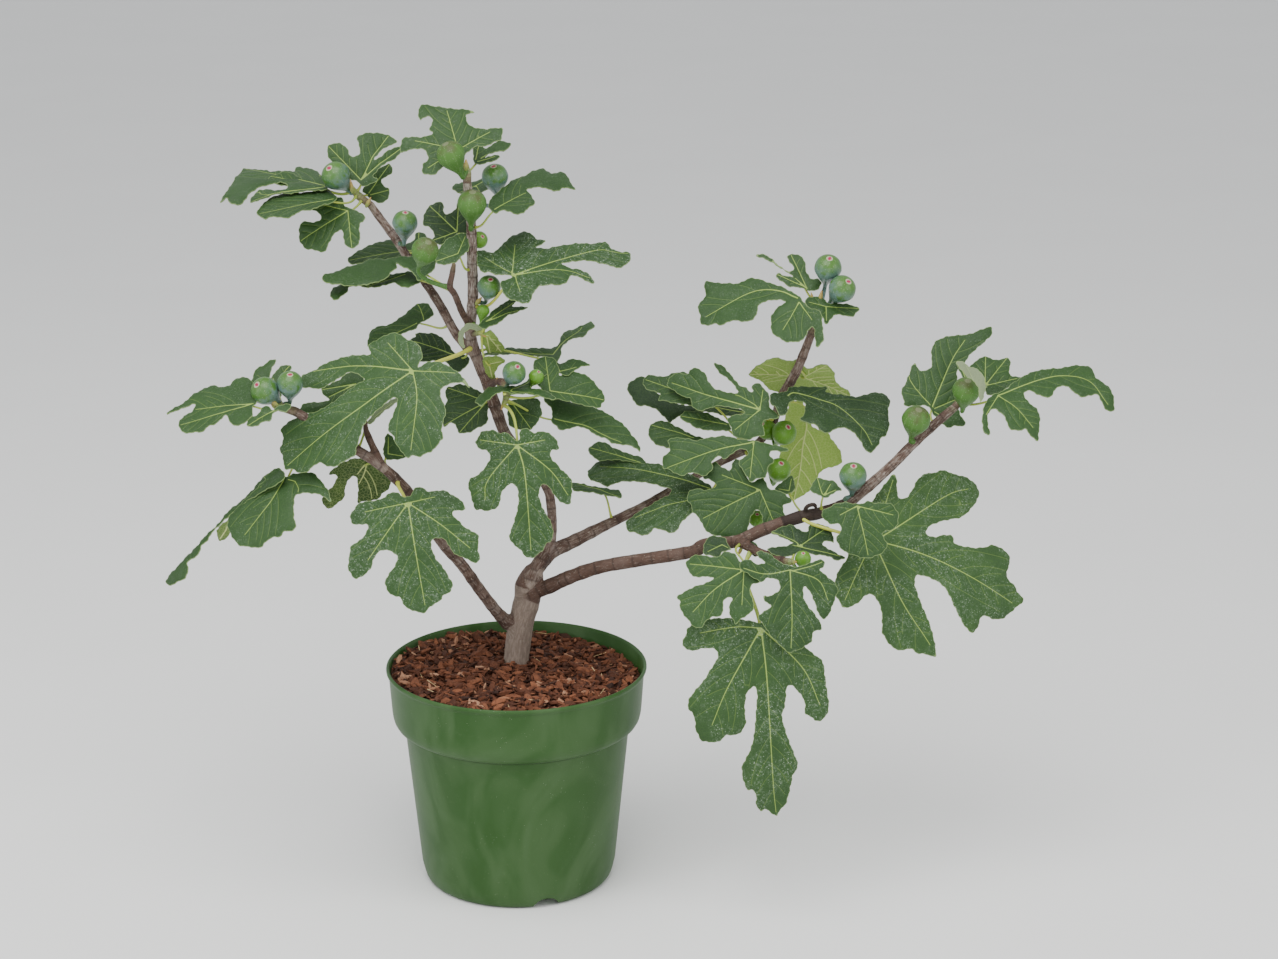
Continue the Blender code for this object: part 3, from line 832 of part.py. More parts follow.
# Pot outline, radius and height: outside from the foot to the lip, then inside back to the floor
POT_OUTSIDE = [(0.0955, 0.0), (0.1000, 0.0018), (0.1028, 0.0060), (0.1063, 0.0200), (0.1218, 0.1745),
               (0.1245, POT_BAND_BOTTOM), (0.1290, 0.1790), (0.1338, 0.1870), (0.1354, 0.1960),
               (0.1383, 0.2370), (0.1402, 0.2385), (POT_RIM_RADIUS, 0.2405), (0.1403, POT_HEIGHT)]
POT_INSIDE = [(0.1382, POT_HEIGHT), (0.1366, 0.2400), (0.1328, 0.1990), (0.1296, 0.1880), (0.1192, 0.1755),
              (0.1040, 0.0220), (0.1010, POT_FLOOR)]


def make_pot():
    """The pot, with three drain notches in its foot."""
    pot = add_object("pot", turned([(0, 0)] + POT_OUTSIDE + POT_INSIDE + [(0, POT_FLOOR)], POT_SEGMENTS))
    cutters = []
    for k in range(3):
        azimuth = math.radians(NOTCH_AZIMUTH - 90 + 120 * k)
        way = np.array([math.cos(azimuth), math.sin(azimuth), 0.0])
        ends = [[*(way * reach - (0, 0, NOTCH_DROP)), NOTCH_RADIUS] for reach in (0.082, 0.100, 0.125)]
        cutters.append(add_object("notch", tube(ends, 16)))
    combine(pot, cutters, "DIFFERENCE")
    finish(pot, "pot", POT_CREASE)


def soil_top(x, y):
    """Height of the mulch: higher at the left and front, with the lumps of its chips."""
    lumps = 0.0012 * math.sin(170 * x + 1) * math.cos(150 * y) + 0.0009 * math.sin(90 * y + 2 + 60 * x)
    return SOIL_LEVEL - SOIL_MOUND * (x / 0.13) - 0.3 * SOIL_MOUND * (y / 0.13) + lumps


def make_soil():
    """The filling of the pot, with a plain hole for the trunk's foot."""
    wall = [(radius - 2 * GAP, height) for radius, height in reversed(POT_INSIDE[1:-1])]
    floor = POT_FLOOR + GAP
    rings = [(wall[-1][0] * share, SOIL_LEVEL) for share in (1.0, 0.82, 0.58, 0.30)]
    profile = [(0, floor), (POT_INSIDE[-1][0] - 2 * GAP, floor)] + wall[:-1] + rings + [(0, SOIL_LEVEL)]
    verts, faces = turned(profile, POT_SEGMENTS)
    radii, heights = zip(*wall)
    for i, (x, y, z) in enumerate(verts):
        if z == SOIL_LEVEL:
            top = soil_top(x, y)
            reach = math.hypot(x, y)
            trim = min(1.0, np.interp(top, heights, radii) / reach) if reach > 0 else 1.0
            verts[i] = (x * trim, y * trim, top)
    soil = add_object("soil", (verts, faces))
    hole = branch_line("trunk")
    hole[:, 3] += GAP
    hole[0, 2] -= GAP
    combine(soil, [add_object("hole", tube(hole, 12))], "DIFFERENCE")
    finish(soil, "soil", SOIL_CREASE)


def branch_sides(name):
    """Sides of a branch's tube."""
    return 12 if name == "trunk" else TWIG_SIDES


def make_wood():
    """The trunk and branches, grown together."""
    shapes = []
    for name in BRANCHES:
        shapes.append(tube(branch_line(name), branch_sides(name)))
    finish(fuse("tree_wood", shapes), "wood")


def make_foliage():
    """The leaves and figs: each node's shoot, blades, stalks and figs as one body, clear of the wood."""
    nodes = {name: [tube(shoot_line(name), TWIG_SIDES)] for name in SHOOTS}
    for item in LEAVES.values():
        shapes = nodes.setdefault(item["node"], [])
        shapes.append(blade(item))
        if not item["bare"]:
            shapes.append(petiole(item))
    for name, (centre, width, depth, eye, root, twig) in FIGS.items():
        node = twig if twig in SHOOTS else name
        nodes.setdefault(node, []).append(fig(centre, width, depth, eye, root, twig))
    for name, shapes in nodes.items():
        item = fuse(name, shapes)
        clear_of_wood(item)
        finish(item, "fig" if name in FIGS else "leaf")


for leftover in list(bpy.data.objects):
    bpy.data.objects.remove(leftover)
make_pot()
make_soil()
make_wood()
make_foliage()
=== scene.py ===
import math

import bmesh
import bpy
import numpy as np
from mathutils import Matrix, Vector
from mathutils.geometry import delaunay_2d_cdt
from mathutils.kdtree import KDTree


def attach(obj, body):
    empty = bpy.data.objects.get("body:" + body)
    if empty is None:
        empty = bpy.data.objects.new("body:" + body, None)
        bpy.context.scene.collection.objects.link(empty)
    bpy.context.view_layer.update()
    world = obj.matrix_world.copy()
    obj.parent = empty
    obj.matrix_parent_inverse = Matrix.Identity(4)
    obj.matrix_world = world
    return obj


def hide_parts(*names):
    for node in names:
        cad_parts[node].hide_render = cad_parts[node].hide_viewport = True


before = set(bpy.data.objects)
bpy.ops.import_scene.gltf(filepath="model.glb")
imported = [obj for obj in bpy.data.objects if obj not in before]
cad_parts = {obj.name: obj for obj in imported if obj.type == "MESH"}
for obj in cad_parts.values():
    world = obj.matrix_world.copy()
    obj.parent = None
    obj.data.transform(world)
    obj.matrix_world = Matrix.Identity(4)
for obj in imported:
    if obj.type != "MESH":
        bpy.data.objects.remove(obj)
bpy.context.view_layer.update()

# The photograph's view, in its 1278 x 959 frame: branches, leaves and figs are placed by their points in it
view = {"focal": 2986.0, "centre": (639.0, 479.5), "eye": (0.1325, -3.034, 1.375), "pitch": 16.93,
        "width": 1278, "sensor": 36.0, "treeBack": 0.034}
pitch = math.radians(view["pitch"])
eyePlace = np.array(view["eye"])
forwardWay = np.array([0.0, math.cos(pitch), -math.sin(pitch)])
upWay = np.array([0.0, math.sin(pitch), math.cos(pitch)])
rightWay = np.array([1.0, 0.0, 0.0])
pixel = 1 / 928.0  # metres a pixel at the trunk's depth
luck = np.random.default_rng(11)


def unit(way):
    return way / np.linalg.norm(way)


def sight(points):  # directions of the sight lines through photograph points
    points = np.asarray(points, float)
    side = (points[..., 0] - view["centre"][0]) / view["focal"]
    rise = (view["centre"][1] - points[..., 1]) / view["focal"]
    return forwardWay + side[..., None] * rightWay + rise[..., None] * upWay


def spot(px, py, depth):  # the place on a sight line at a depth behind the trunk
    ray = sight((px, py))
    return eyePlace + ray * (view["treeBack"] + depth - eyePlace[1]) / ray[1]


def seen(places):  # the photograph points of places
    offset = np.asarray(places) - eyePlace
    away = offset @ forwardWay
    return np.stack([view["centre"][0] + view["focal"] * (offset @ rightWay) / away,
                     view["centre"][1] - view["focal"] * (offset @ upWay) / away], axis=-1)


def curvePoint(a, b, c, d, t):  # a place between b and c on a curve through four points
    return 0.5 * (2 * b + (c - a) * t + (2 * a - 5 * b + 4 * c - d) * t * t
                  + (3 * b - a - 3 * c + d) * t ** 3)


def smoothLine(points, steps):  # an open curve through rows of numbers
    points = np.asarray(points, float)
    padded = np.vstack([2 * points[0] - points[1], points, 2 * points[-1] - points[-2]])
    rows = []
    for i in range(len(points) - 1):
        rows += [curvePoint(*padded[i:i + 4], t) for t in np.arange(steps) / steps]
    rows.append(points[-1])
    return np.array(rows)


def spaced(points, step):  # the same line with points a step apart
    length = np.concatenate([[0], np.cumsum(np.linalg.norm(np.diff(points, axis=0), axis=1))])
    count = max(int(round(length[-1] / step)), 1)
    marks = np.linspace(0, length[-1], count + 1)
    return np.stack([np.interp(marks, length, column) for column in points.T], axis=1)


def ringFaces(rings, sides):  # the faces between rings of corner points
    faces = []
    for i in range(rings - 1):
        for k in range(sides):
            j = (k + 1) % sides
            faces.append((i * sides + k, i * sides + j, (i + 1) * sides + j, (i + 1) * sides + k))
    return faces


def counted(faces, count):  # faces with their corner numbers moved on, to join several shapes
    return [tuple(i + count for i in face) for face in faces]


def turned(angle, first, second):  # the turn by an angle from one axis towards another
    turn = np.eye(3)
    turn[first, first] = turn[second, second] = math.cos(angle)
    turn[second, first] = math.sin(angle)
    turn[first, second] = -math.sin(angle)
    return turn


def deselect():
    if bpy.context.mode != "OBJECT":
        bpy.ops.object.mode_set(mode="OBJECT")
    bpy.ops.object.select_all(action="DESELECT")


def addMesh(name, points, faces, slots=None):  # an object from corner points and faces
    mesh = bpy.data.meshes.new(name)
    mesh.from_pydata([tuple(point) for point in points], [], [tuple(face) for face in faces])
    if slots is not None:
        mesh.polygons.foreach_set("material_index", slots)
    mesh.update()
    piece = bpy.data.objects.new(name, mesh)
    bpy.context.scene.collection.objects.link(piece)
    return piece


def note(piece, name, values):  # a number for each corner point, which the materials read
    attribute = piece.data.attributes.new(name, "FLOAT", "POINT")
    attribute.data.foreach_set("value", np.asarray(values, np.float32))


def dress(piece, materials, nodes, angle=50):
    for material in materials:
        piece.data.materials.append(material)
    piece.data.shade_smooth()
    piece.data.set_sharp_from_angle(angle=math.radians(angle))
    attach(piece, "root")
    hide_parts(*nodes)


class Level:  # one socket of a node tree; maths on it adds Math nodes
    def __init__(self, paint, socket):
        self.paint = paint
        self.socket = socket

    def maths(self, operation, *values, clamp=False):
        return self.paint.make("ShaderNodeMath", {"operation": operation, "use_clamp": clamp},
                               dict(enumerate(values)))

    def __add__(self, other):
        return self.maths("ADD", self, other)

    def __sub__(self, other):
        return self.maths("SUBTRACT", self, other)

    def __rsub__(self, other):
        return self.maths("SUBTRACT", other, self)

    def __mul__(self, other):
        return self.maths("MULTIPLY", self, other)

    def __truediv__(self, other):
        return self.maths("DIVIDE", self, other)

    def __pow__(self, other):
        return self.maths("POWER", self, other)

    __radd__ = __add__
    __rmul__ = __mul__

    def above(self, low, high):  # 0 under low, 1 over high, smooth between
        return self.paint.make("ShaderNodeMapRange", {"interpolation_type": "SMOOTHSTEP"},
                               {"Value": self, "From Min": low, "From Max": high})

    def below(self, low, high):
        return 1 - self.above(low, high)


class Paint:  # a material, its shader and the nodes that feed it
    def __init__(self, name, roughness=0.5, specular=0.5):
        self.material = bpy.data.materials.new(name)
        self.material.use_nodes = True
        self.tree = self.material.node_tree
        self.shader = self.tree.nodes["Principled BSDF"]
        self.shader.inputs["Roughness"].default_value = roughness
        self.shader.inputs["Specular IOR Level"].default_value = specular

    def join(self, socket, value):
        if isinstance(value, Level):
            self.tree.links.new(value.socket, socket)
        else:
            socket.default_value = (*value, 1) if isinstance(value, tuple) and len(value) == 3 \
                and socket.type == "RGBA" else value

    def make(self, kind, settings, sockets, out=0):
        node = self.tree.nodes.new(kind)
        for key, value in settings.items():
            if key == "stops":
                while len(node.color_ramp.elements) < len(value):
                    node.color_ramp.elements.new(0.5)
                for element, (place, colour) in zip(node.color_ramp.elements, value):
                    element.position = place
                    element.color = (*colour, 1)
            else:
                setattr(node, key, value)
        for key, value in sockets.items():
            self.join(node.inputs[key], value)
        return Level(self, node.outputs[out])

    def place(self):
        return self.make("ShaderNodeTexCoord", {}, {}, "Object")

    def stretched(self, scale, vector=None):
        return self.make("ShaderNodeMapping", {}, {"Vector": vector or self.place(), "Scale": scale})

    def noise(self, scale, detail=3.0, roughness=0.55, vector=None, distortion=0.0):
        return self.make("ShaderNodeTexNoise", {}, {"Vector": vector or self.place(), "Scale": scale,
                         "Detail": detail, "Roughness": roughness, "Distortion": distortion}, "Fac")

    def cells(self, scale, out="Distance", vector=None, feature="F1"):
        return self.make("ShaderNodeTexVoronoi", {"feature": feature},
                         {"Vector": vector or self.place(), "Scale": scale}, out)

    def read(self, name):
        return self.make("ShaderNodeAttribute", {"attribute_name": name}, {}, "Fac")

    def mix(self, share, first, second):
        return self.make("ShaderNodeMix", {"data_type": "RGBA"}, {0: share, 6: first, 7: second}, 2)

    def ramp(self, level, stops):
        return self.make("ShaderNodeValToRGB", {"stops": stops}, {"Fac": level}, "Color")

    def bump(self, height, distance, strength=1.0):
        return self.make("ShaderNodeBump", {}, {"Height": height, "Distance": distance, "Strength": strength},
                         "Normal")

    def feed(self, **sockets):
        names = {"colour": "Base Color", "roughness": "Roughness", "normal": "Normal", "coat": "Coat Weight",
                 "glow": "Emission Color"}
        for key, value in sockets.items():
            self.join(self.shader.inputs[names[key]], value)
        return self.material

# Wood: each branch is a list of (x, y in the photograph, depth, radius in mm)
branches = {
    "trunk": [(512, 712, 0, 14.0), (516, 662, 0, 13.9), (520, 630, 0, 13.9), (523, 615, 0, 14.0),
              (527, 600, 0, 14.4), (529, 586, 0, 15.2), (532, 576, 0.002, 13.0), (534, 568, 0.003, 9.0)],
    "low_left": [(512, 627, 0, 6.0), (507, 622, -0.001, 8.2), (497, 612, -0.012, 6.4), (480, 590, -0.03, 6.2),
                 (462, 565, -0.045, 6.0), (440, 540, -0.055, 5.7), (412, 497, -0.07, 5.5),
                 (395, 478, -0.075, 5.6), (380, 465, -0.08, 5.3), (357, 450, -0.080, 5.2),
                 (325, 430, -0.076, 5.0), (298, 413, -0.078, 4.8), (290, 410, -0.08, 4.6)],
    "low_left_spur": [(384, 468, -0.08, 3.6), (378, 457, -0.078, 4.0), (372, 445, -0.073, 3.8),
                      (366, 430, -0.066, 3.2), (366, 421, -0.060, 1.8)],
    "upright": [(531, 583, 0, 8.0), (536, 568, 0.002, 7.6), (543, 557, 0.005, 7.3), (551, 540, 0.008, 5.6),
                (552, 520, 0.01, 5.2), (551, 505, 0.01, 5.2), (548, 490, 0.012, 5.2), (538, 473, 0.014, 5.4),
                (520, 453, 0.015, 5.8), (505, 433, 0.015, 6.2), (497, 412, 0.012, 6.5),
                (488, 385, 0.010, 6.5), (480, 365, 0.010, 6.4), (474, 350, 0.010, 6.4),
                (470, 330, 0.010, 6.0), (472, 310, 0.008, 5.9), (473, 290, 0.005, 5.7), (472, 260, 0, 5.5),
                (471, 220, -0.005, 5.2), (467, 182, -0.008, 4.6)],
    "upright_left": [(470, 352, 0.010, 4.5), (455, 332, 0.02, 5.0), (440, 305, 0.035, 4.9),
                     (425, 282, 0.045, 4.8), (408, 258, 0.055, 4.7), (395, 238, 0.06, 4.6),
                     (380, 218, 0.065, 4.4), (370, 204, 0.068, 4.2)],
    "upright_stub": [(471, 328, 0.008, 3.6), (462, 312, -0.01, 3.6), (455, 295, -0.03, 3.5),
                     (450, 287, -0.042, 3.4), (452, 275, -0.05, 3.2), (454, 264, -0.055, 2.4)],
    "upright_spur": [(488, 388, 0.01, 4.4), (495, 382, -0.012, 4.2), (504, 382, -0.029, 4.0)],
    "middle_right": [(537, 570, 0.002, 7.0), (552, 552, 0.02, 7.5), (570, 543, 0.035, 7.5),
                     (600, 528, 0.055, 6.2), (640, 508, 0.075, 5.0), (672, 490, 0.088, 4.6),
                     (700, 474, 0.09, 4.4), (725, 460, 0.09, 4.3), (755, 445, 0.088, 4.3),
                     (772, 425, 0.085, 4.6), (780, 400, 0.078, 5.0), (787, 388, 0.075, 5.5),
                     (797, 370, 0.07, 5.2), (806, 348, 0.065, 4.8), (814, 327, 0.06, 4.4)],
    "low_right": [(526, 593, 0, 7.5), (545, 588, -0.005, 8.0), (570, 577, -0.02, 7.6), (600, 567, -0.03, 7.2),
                  (640, 560, -0.04, 7.0), (690, 552, -0.05, 6.8), (706, 545, -0.05, 7.4),
                  (738, 541, -0.055, 6.6), (760, 531, -0.055, 6.8), (800, 517, -0.052, 6.6),
                  (820, 513, -0.05, 6.4), (850, 501, -0.045, 6.0), (889, 468, -0.03, 5.5),
                  (912, 445, -0.02, 5.2), (935, 424, -0.015, 5.0), (955, 407, -0.01, 4.4)],
    "low_right_spur": [(733, 541, -0.053, 4.6), (745, 545, -0.062, 5.0), (761, 553, -0.08, 4.6),
                       (785, 561, -0.10, 4.0)],
}

# Green shoots: the branch that each one grows from, the point where it stands on the branch's side (None at
# the branch's end), and its own points in the same terms
shoots = {
    "tip_upright_left": ("upright_left", None, [
        (360, 197, 0.067, 4.0), (353, 190, 0.064, 3.4), (351, 183, 0.062, 1.4)]),
    "tip_upright": ("upright", None, [
        (467, 175, -0.008, 4.4), (466, 168, -0.008, 3.8), (466, 160, -0.009, 1.4)]),
    "tip_low_left": ("low_left", None, [
        (284, 408, -0.081, 4.4), (276, 406, -0.083, 3.6), (270, 402, -0.084, 1.4)]),
    "tip_middle_right": ("middle_right", None, [
        (817, 316, 0.055, 4.4), (820, 305, 0.05, 4.2), (821, 294, 0.047, 1.4)]),
    "tip_low_right": ("low_right", None, [
        (960, 402, -0.008, 4.2), (968, 396, -0.006, 3.6), (975, 391, -0.005, 1.4)]),
    "spray_middle": ("upright_spur", None, [
        (506, 389, -0.038, 3.8), (506, 398, -0.043, 3.4), (501, 410, -0.046, 1.6)]),
    "spray_upright": ("upright", (471, 333), [(480, 333, -0.010, 2.8), (486, 337, -0.016, 1.6)]),
    "spray_right": ("middle_right", (748, 449), [(744, 441, 0.070, 3.0), (738, 434, 0.060, 2.0)]),
    "spray_low": ("low_right_spur", None, [
        (790, 562, -0.104, 3.6), (797, 562, -0.106, 1.6)]),
}

# Leaves: heart (where the stalk meets the blade), depth of the heart, facing of the upper side as (degrees
# right of the viewer, degrees up), the twig and the point on it that the stalk grows from, and the outline
leaves = {}


def leaf(name, heart, depth, face, edge, root=None, twig=None, sag=0.010, node=None, bare=False):
    leaves[name] = {"heart": heart, "depth": depth, "face": face, "root": root, "twig": twig, "sag": sag,
                    "node": node or (twig if twig in shoots else name), "bare": bare,
                    "edge": np.array(edge, float).reshape(-1, 2)}


leaf("leaf_01", (361, 180), 0.062, (0, 25), root=(356, 192), twig="tip_upright_left", edge=[
    358, 182, 350, 179, 348, 171, 338, 165, 330, 160, 327, 150, 330, 145, 336, 143, 342, 144, 347, 148,
    350, 155, 354, 157, 359, 154, 360, 149, 357, 139, 360, 135, 367, 133, 375, 133, 385, 134, 392, 137,
    397, 141, 393, 145, 385, 148, 379, 153, 374, 160, 379, 158, 386, 152, 394, 148, 403, 147, 399, 155,
    393, 160, 386, 163, 380, 168, 373, 176, 377, 178, 376, 182, 370, 184, 363, 187])
leaf("leaf_02", (367, 196), 0.085, (0, 30), root=(362, 198), twig="tip_upright_left", edge=[
    362, 190, 370, 183, 375, 172, 388, 164, 393, 171, 385, 178, 381, 180, 385, 187, 390, 190, 387, 200,
    380, 203, 372, 200])
leaf("leaf_03", (328, 187), 0.050, (0, 82), root=(353, 190), twig="tip_upright_left", sag=0.004, edge=[
    322, 177, 312, 170, 297, 168, 292, 172, 270, 171, 247, 169, 238, 175, 230, 187, 220, 202, 223, 202,
    227, 198, 230, 204, 240, 205, 246, 199, 252, 192, 262, 187, 275, 184, 285, 184, 288, 187, 282, 190,
    262, 190.5, 256, 193, 251, 199, 251, 203, 262, 200, 275, 195, 300, 192, 328, 189])
leaf("leaf_04", (337, 199), 0.030, (0, 80), root=(357, 194), twig="tip_upright_left", sag=0.004, edge=[
    328, 190, 310, 192, 290, 194, 275, 196, 265, 203, 260, 208, 257, 213, 260, 217, 265, 219, 275, 217,
    284, 219, 290, 218, 297, 214, 305, 211, 312, 210, 325, 205, 337, 200])
leaf("leaf_05", (348, 211), 0.040, (-10, 30), root=(362, 199), twig="tip_upright_left", edge=[
    352, 209, 346, 207, 344, 203, 342, 198, 335, 197, 320, 199, 310, 200, 308, 204, 308, 209, 314, 211,
    319, 213, 321, 219, 315, 222, 303, 222, 300, 227, 299, 234, 300, 242, 306, 249, 312, 250, 318, 251,
    322, 253, 326, 250, 329, 243, 333, 236, 338, 231, 341, 230, 343, 233, 344, 240, 345, 245, 349, 247,
    352, 249, 357, 245, 360, 240, 360, 224, 364, 222, 365, 217, 362, 213, 357, 211])
leaf("leaf_06", (418, 250), 0.095, (0, 72), root=(404, 252), twig="upright_left", sag=0.005, edge=[
    348, 262, 349, 258, 355, 254, 365, 248, 378, 243, 388, 240, 400, 241, 404, 245, 410, 243, 415, 238,
    416, 234, 421, 233, 425, 235, 430, 242, 430, 255, 415, 258, 400, 259, 380, 261, 355, 264])
leaf("leaf_07", (418, 268), 0.000, (0, 72), root=(450, 290), twig="upright_stub", sag=0.005, edge=[
    322, 277, 335, 272, 345, 268, 360, 264, 372, 260, 385, 259, 395, 258, 410, 257, 425, 256, 432, 256,
    437, 260, 435, 266, 433, 271, 428, 275, 419, 281, 413, 273, 405, 268, 397, 264, 397, 267, 393, 271,
    385, 279, 375, 283, 365, 285, 352, 287, 340, 285, 328, 284])
leaf("leaf_07_under", (405, 275), 0.022, (0, 70), root=(452, 291), twig="upright_stub", sag=0.004,
     node="leaf_07",
     edge=[330, 295, 332, 290, 337, 286, 352, 280, 370, 278, 380, 276, 390, 274, 400, 274, 410, 272, 421, 276,
           421, 282, 412, 287, 402, 287, 395, 283, 380, 287, 352, 287, 348, 291, 342, 297, 334, 301])
leaf("leaf_08", (458, 150), -0.010, (0, 40), root=(466, 169), twig="tip_upright", edge=[
    424, 104, 432, 106, 445, 108, 458, 109, 468, 110, 474, 113, 466, 115, 467, 120, 469, 125, 476, 128,
    485, 129, 500, 128, 503, 131, 501, 140, 495, 142, 485, 147, 478, 146, 470, 150, 462, 158, 455, 160,
    447, 164, 441, 169, 436, 174, 428, 175, 422, 172, 423, 164, 427, 161, 428, 157, 426, 152, 420, 149,
    408, 150, 401, 153, 401, 143, 405, 138, 420, 137, 430, 135, 433, 132, 429, 130, 430, 127, 433, 121,
    429, 117, 424, 118, 420, 121, 418, 112, 420, 107])
leaf("leaf_09", (474, 163), 0.016, (10, 60), root=(467, 172), twig="tip_upright", edge=[
    474, 163, 473, 152, 474, 146, 479, 145, 485, 149, 490, 147, 495, 143, 502, 142, 509, 143, 511, 145,
    507, 150, 500, 151, 490, 154, 485, 158, 495, 155, 500, 157, 497, 160, 488, 162, 478, 165])
leaf("leaf_10", (476, 186), 0.068, (0, 78), root=(468, 184), twig="upright", sag=0.004, edge=[
    452, 189, 456, 184, 462, 183, 474, 182, 482, 178, 490, 175, 497, 176, 502, 179, 500, 184, 490, 189,
    480, 193, 470, 193, 460, 194])
leaf("leaf_11", (487, 214), -0.024, (15, 65), root=(471, 226), twig="upright", sag=0.006, edge=[
    489, 208, 490, 200, 497, 193, 503, 188, 512, 181, 525, 176, 535, 171, 543, 169, 549, 172, 552, 174,
    560, 173, 567, 176, 570, 182, 575, 190, 563, 188, 560, 191, 550, 190, 543, 188, 533, 188, 527, 190,
    530, 194, 535, 203, 531, 207, 526, 210, 523, 214, 515, 215, 509, 212, 503, 210, 495, 213])
leaf("leaf_12", (457, 232), 0.034, (0, 35), root=(471, 238), twig="upright", edge=[
    423, 225, 423, 220, 425, 212, 430, 206, 437, 202, 443, 203, 444, 207, 443, 211, 446, 214, 451, 213,
    456, 208, 459, 202, 466, 215, 470, 225, 468, 234, 460, 233, 450, 240, 440, 245, 432, 242, 434, 236,
    433, 231, 428, 227])
leaf("leaf_13", (458, 254), -0.018, (-10, 45), root=(471, 268), twig="upright", edge=[
    440, 248, 447, 240, 456, 235, 464, 233, 468, 236, 469, 250, 465, 253, 462, 256, 458, 261, 450, 264,
    440, 265, 436, 262, 437, 255])
leaf("leaf_14", (512, 276), -0.030, (10, 60), root=(473, 306), twig="upright", sag=0.007, edge=[
    478, 251, 490, 252, 495, 252, 500, 247, 508, 239, 515, 235, 524, 232, 530, 234, 537, 239, 546, 242,
    538, 246, 536, 248, 545, 249, 560, 246, 575, 244, 590, 244, 603, 242, 607, 244, 612, 249, 620, 252,
    629, 253, 631, 258, 627, 264, 618, 269, 610, 266, 600, 263, 585, 261, 562, 263, 570, 268, 580, 270,
    590, 275, 594, 282, 592, 284, 583, 279, 572, 276, 567, 282, 560, 286, 550, 285, 540, 286, 535, 291,
    532, 297, 528, 303, 520, 303, 510, 300, 505, 296, 502, 290, 500, 285, 503, 281, 513, 278,
    505, 275, 497, 275, 490, 272, 485, 273, 480, 270, 477, 262])
leaf("leaf_15", (428, 322), 0.050, (-10, 62), root=(449, 324), twig="upright_left", edge=[
    420, 324, 414, 330, 405, 333, 395, 338, 385, 341, 375, 345, 368, 347, 368, 340, 370, 333, 375, 328,
    381, 326, 390, 325, 398, 320, 408, 312, 416, 305, 422, 303, 429, 305, 433, 311, 432, 317])
leaf("leaf_16", (459, 357), 0.062, (-20, 50), root=(474, 352), twig="upright", edge=[
    409, 340, 416, 337, 415, 334, 420, 333, 435, 334, 442, 338, 448, 344, 453, 351, 458, 355, 465, 355,
    470, 360, 465, 368, 460, 372, 452, 370, 447, 363, 435, 361, 420, 362, 418, 356, 422, 352, 418, 345])
leaf("leaf_17", (413, 371), -0.088, (-15, 35), root=(474, 347), twig="upright", sag=0.009, edge=[
    420, 362, 423, 356, 421, 350, 418, 344, 411, 341, 405, 338, 400, 334, 394, 333, 385, 336, 375, 341,
    368, 346, 370, 350, 370, 355, 355, 355, 345, 357, 335, 360, 325, 364, 315, 370, 303, 375, 302, 380,
    303, 388, 312, 388, 320, 389, 330, 384, 340, 378, 348, 373, 355, 373, 362, 377, 365, 380, 358, 384,
    350, 389, 340, 397, 330, 404, 318, 411, 305, 415, 290, 421, 283, 427, 281, 432, 284, 438, 282, 444,
    280, 450, 283, 458, 285, 469, 292, 469, 300, 473, 308, 472, 315, 465, 321, 463, 327, 466, 335, 467,
    345, 461, 355, 456, 357, 447, 360, 437, 364, 425, 372, 415, 382, 407, 390, 399, 396, 398, 398, 400,
    396, 407, 392, 418, 388, 429, 394, 437, 396, 444, 402, 452, 407, 458, 413, 456, 420, 457, 427, 453,
    433, 451, 440, 442, 443, 438, 442, 428, 444, 420, 446, 410, 443, 402, 440, 392, 445, 386, 455, 383,
    462, 383, 470, 388, 468, 384, 462, 376, 455, 370, 448, 366, 440, 362, 430, 362, 424, 364, 418, 368])
leaf("leaf_18", (356, 384), -0.015, (0, 30), root=(357, 450), twig="low_left", edge=[
    300, 413, 304, 404, 318, 402, 329, 400, 322, 393, 322, 388, 330, 384, 340, 379, 350, 372, 362, 376,
    364, 385, 352, 395, 335, 405, 318, 412])
leaf("leaf_19", (257, 404), -0.100, (-15, 62), root=(277, 407), twig="tip_low_left", sag=0.006, edge=[
    250, 379, 243, 378, 236, 380, 230, 385, 222, 388, 213, 386, 203, 389, 193, 395, 186, 401, 180, 405,
    167, 413, 170, 414, 180, 410, 190, 406, 196, 405, 192, 411, 183, 417, 179, 423, 179, 428, 183, 432,
    187, 434, 195, 432, 200, 433, 205, 430, 210, 426, 216, 425, 220, 420, 226, 415, 229, 420, 231, 424,
    240, 426, 247, 421, 252, 416, 253, 408, 256, 404, 258, 398, 255, 388])
leaf("leaf_20", (284, 405), -0.112, (-5, 55), root=(284, 408), twig="tip_low_left", edge=[
    291, 405, 287, 412, 278, 411, 273, 413, 272, 419, 270, 421, 262, 423, 257, 426, 251, 427, 247, 425,
    247, 421, 250, 418, 257, 415, 261, 411, 262, 407, 268, 406, 273, 410, 280, 406])
leaf("leaf_21", (279, 394), -0.062, (0, 45), root=(281, 407), twig="tip_low_left", edge=[
    253, 378, 254, 372, 258, 368, 265, 364, 271, 360, 276, 360, 275, 364, 271, 371, 270, 378, 274, 374,
    278, 369, 283, 366, 290, 365, 291, 370, 285, 375, 280, 390, 282, 396, 272, 396, 258, 392, 247, 389])
leaf("leaf_22", (286, 477), -0.085, (-20, 40), root=(318, 426), twig="low_left", edge=[
    286, 477, 280, 468, 272, 471, 264, 477, 265, 480, 258, 487, 250, 495, 240, 505, 230, 516, 228, 526,
    231, 535, 235, 541, 240, 546, 250, 547, 260, 548, 266, 543, 272, 538, 280, 537, 285, 532, 293, 531,
    296, 526, 294, 515, 294, 505, 295, 498, 299, 494, 308, 493, 320, 495, 325, 498, 331, 502, 329, 492,
    322, 482, 313, 473, 300, 473, 293, 474])
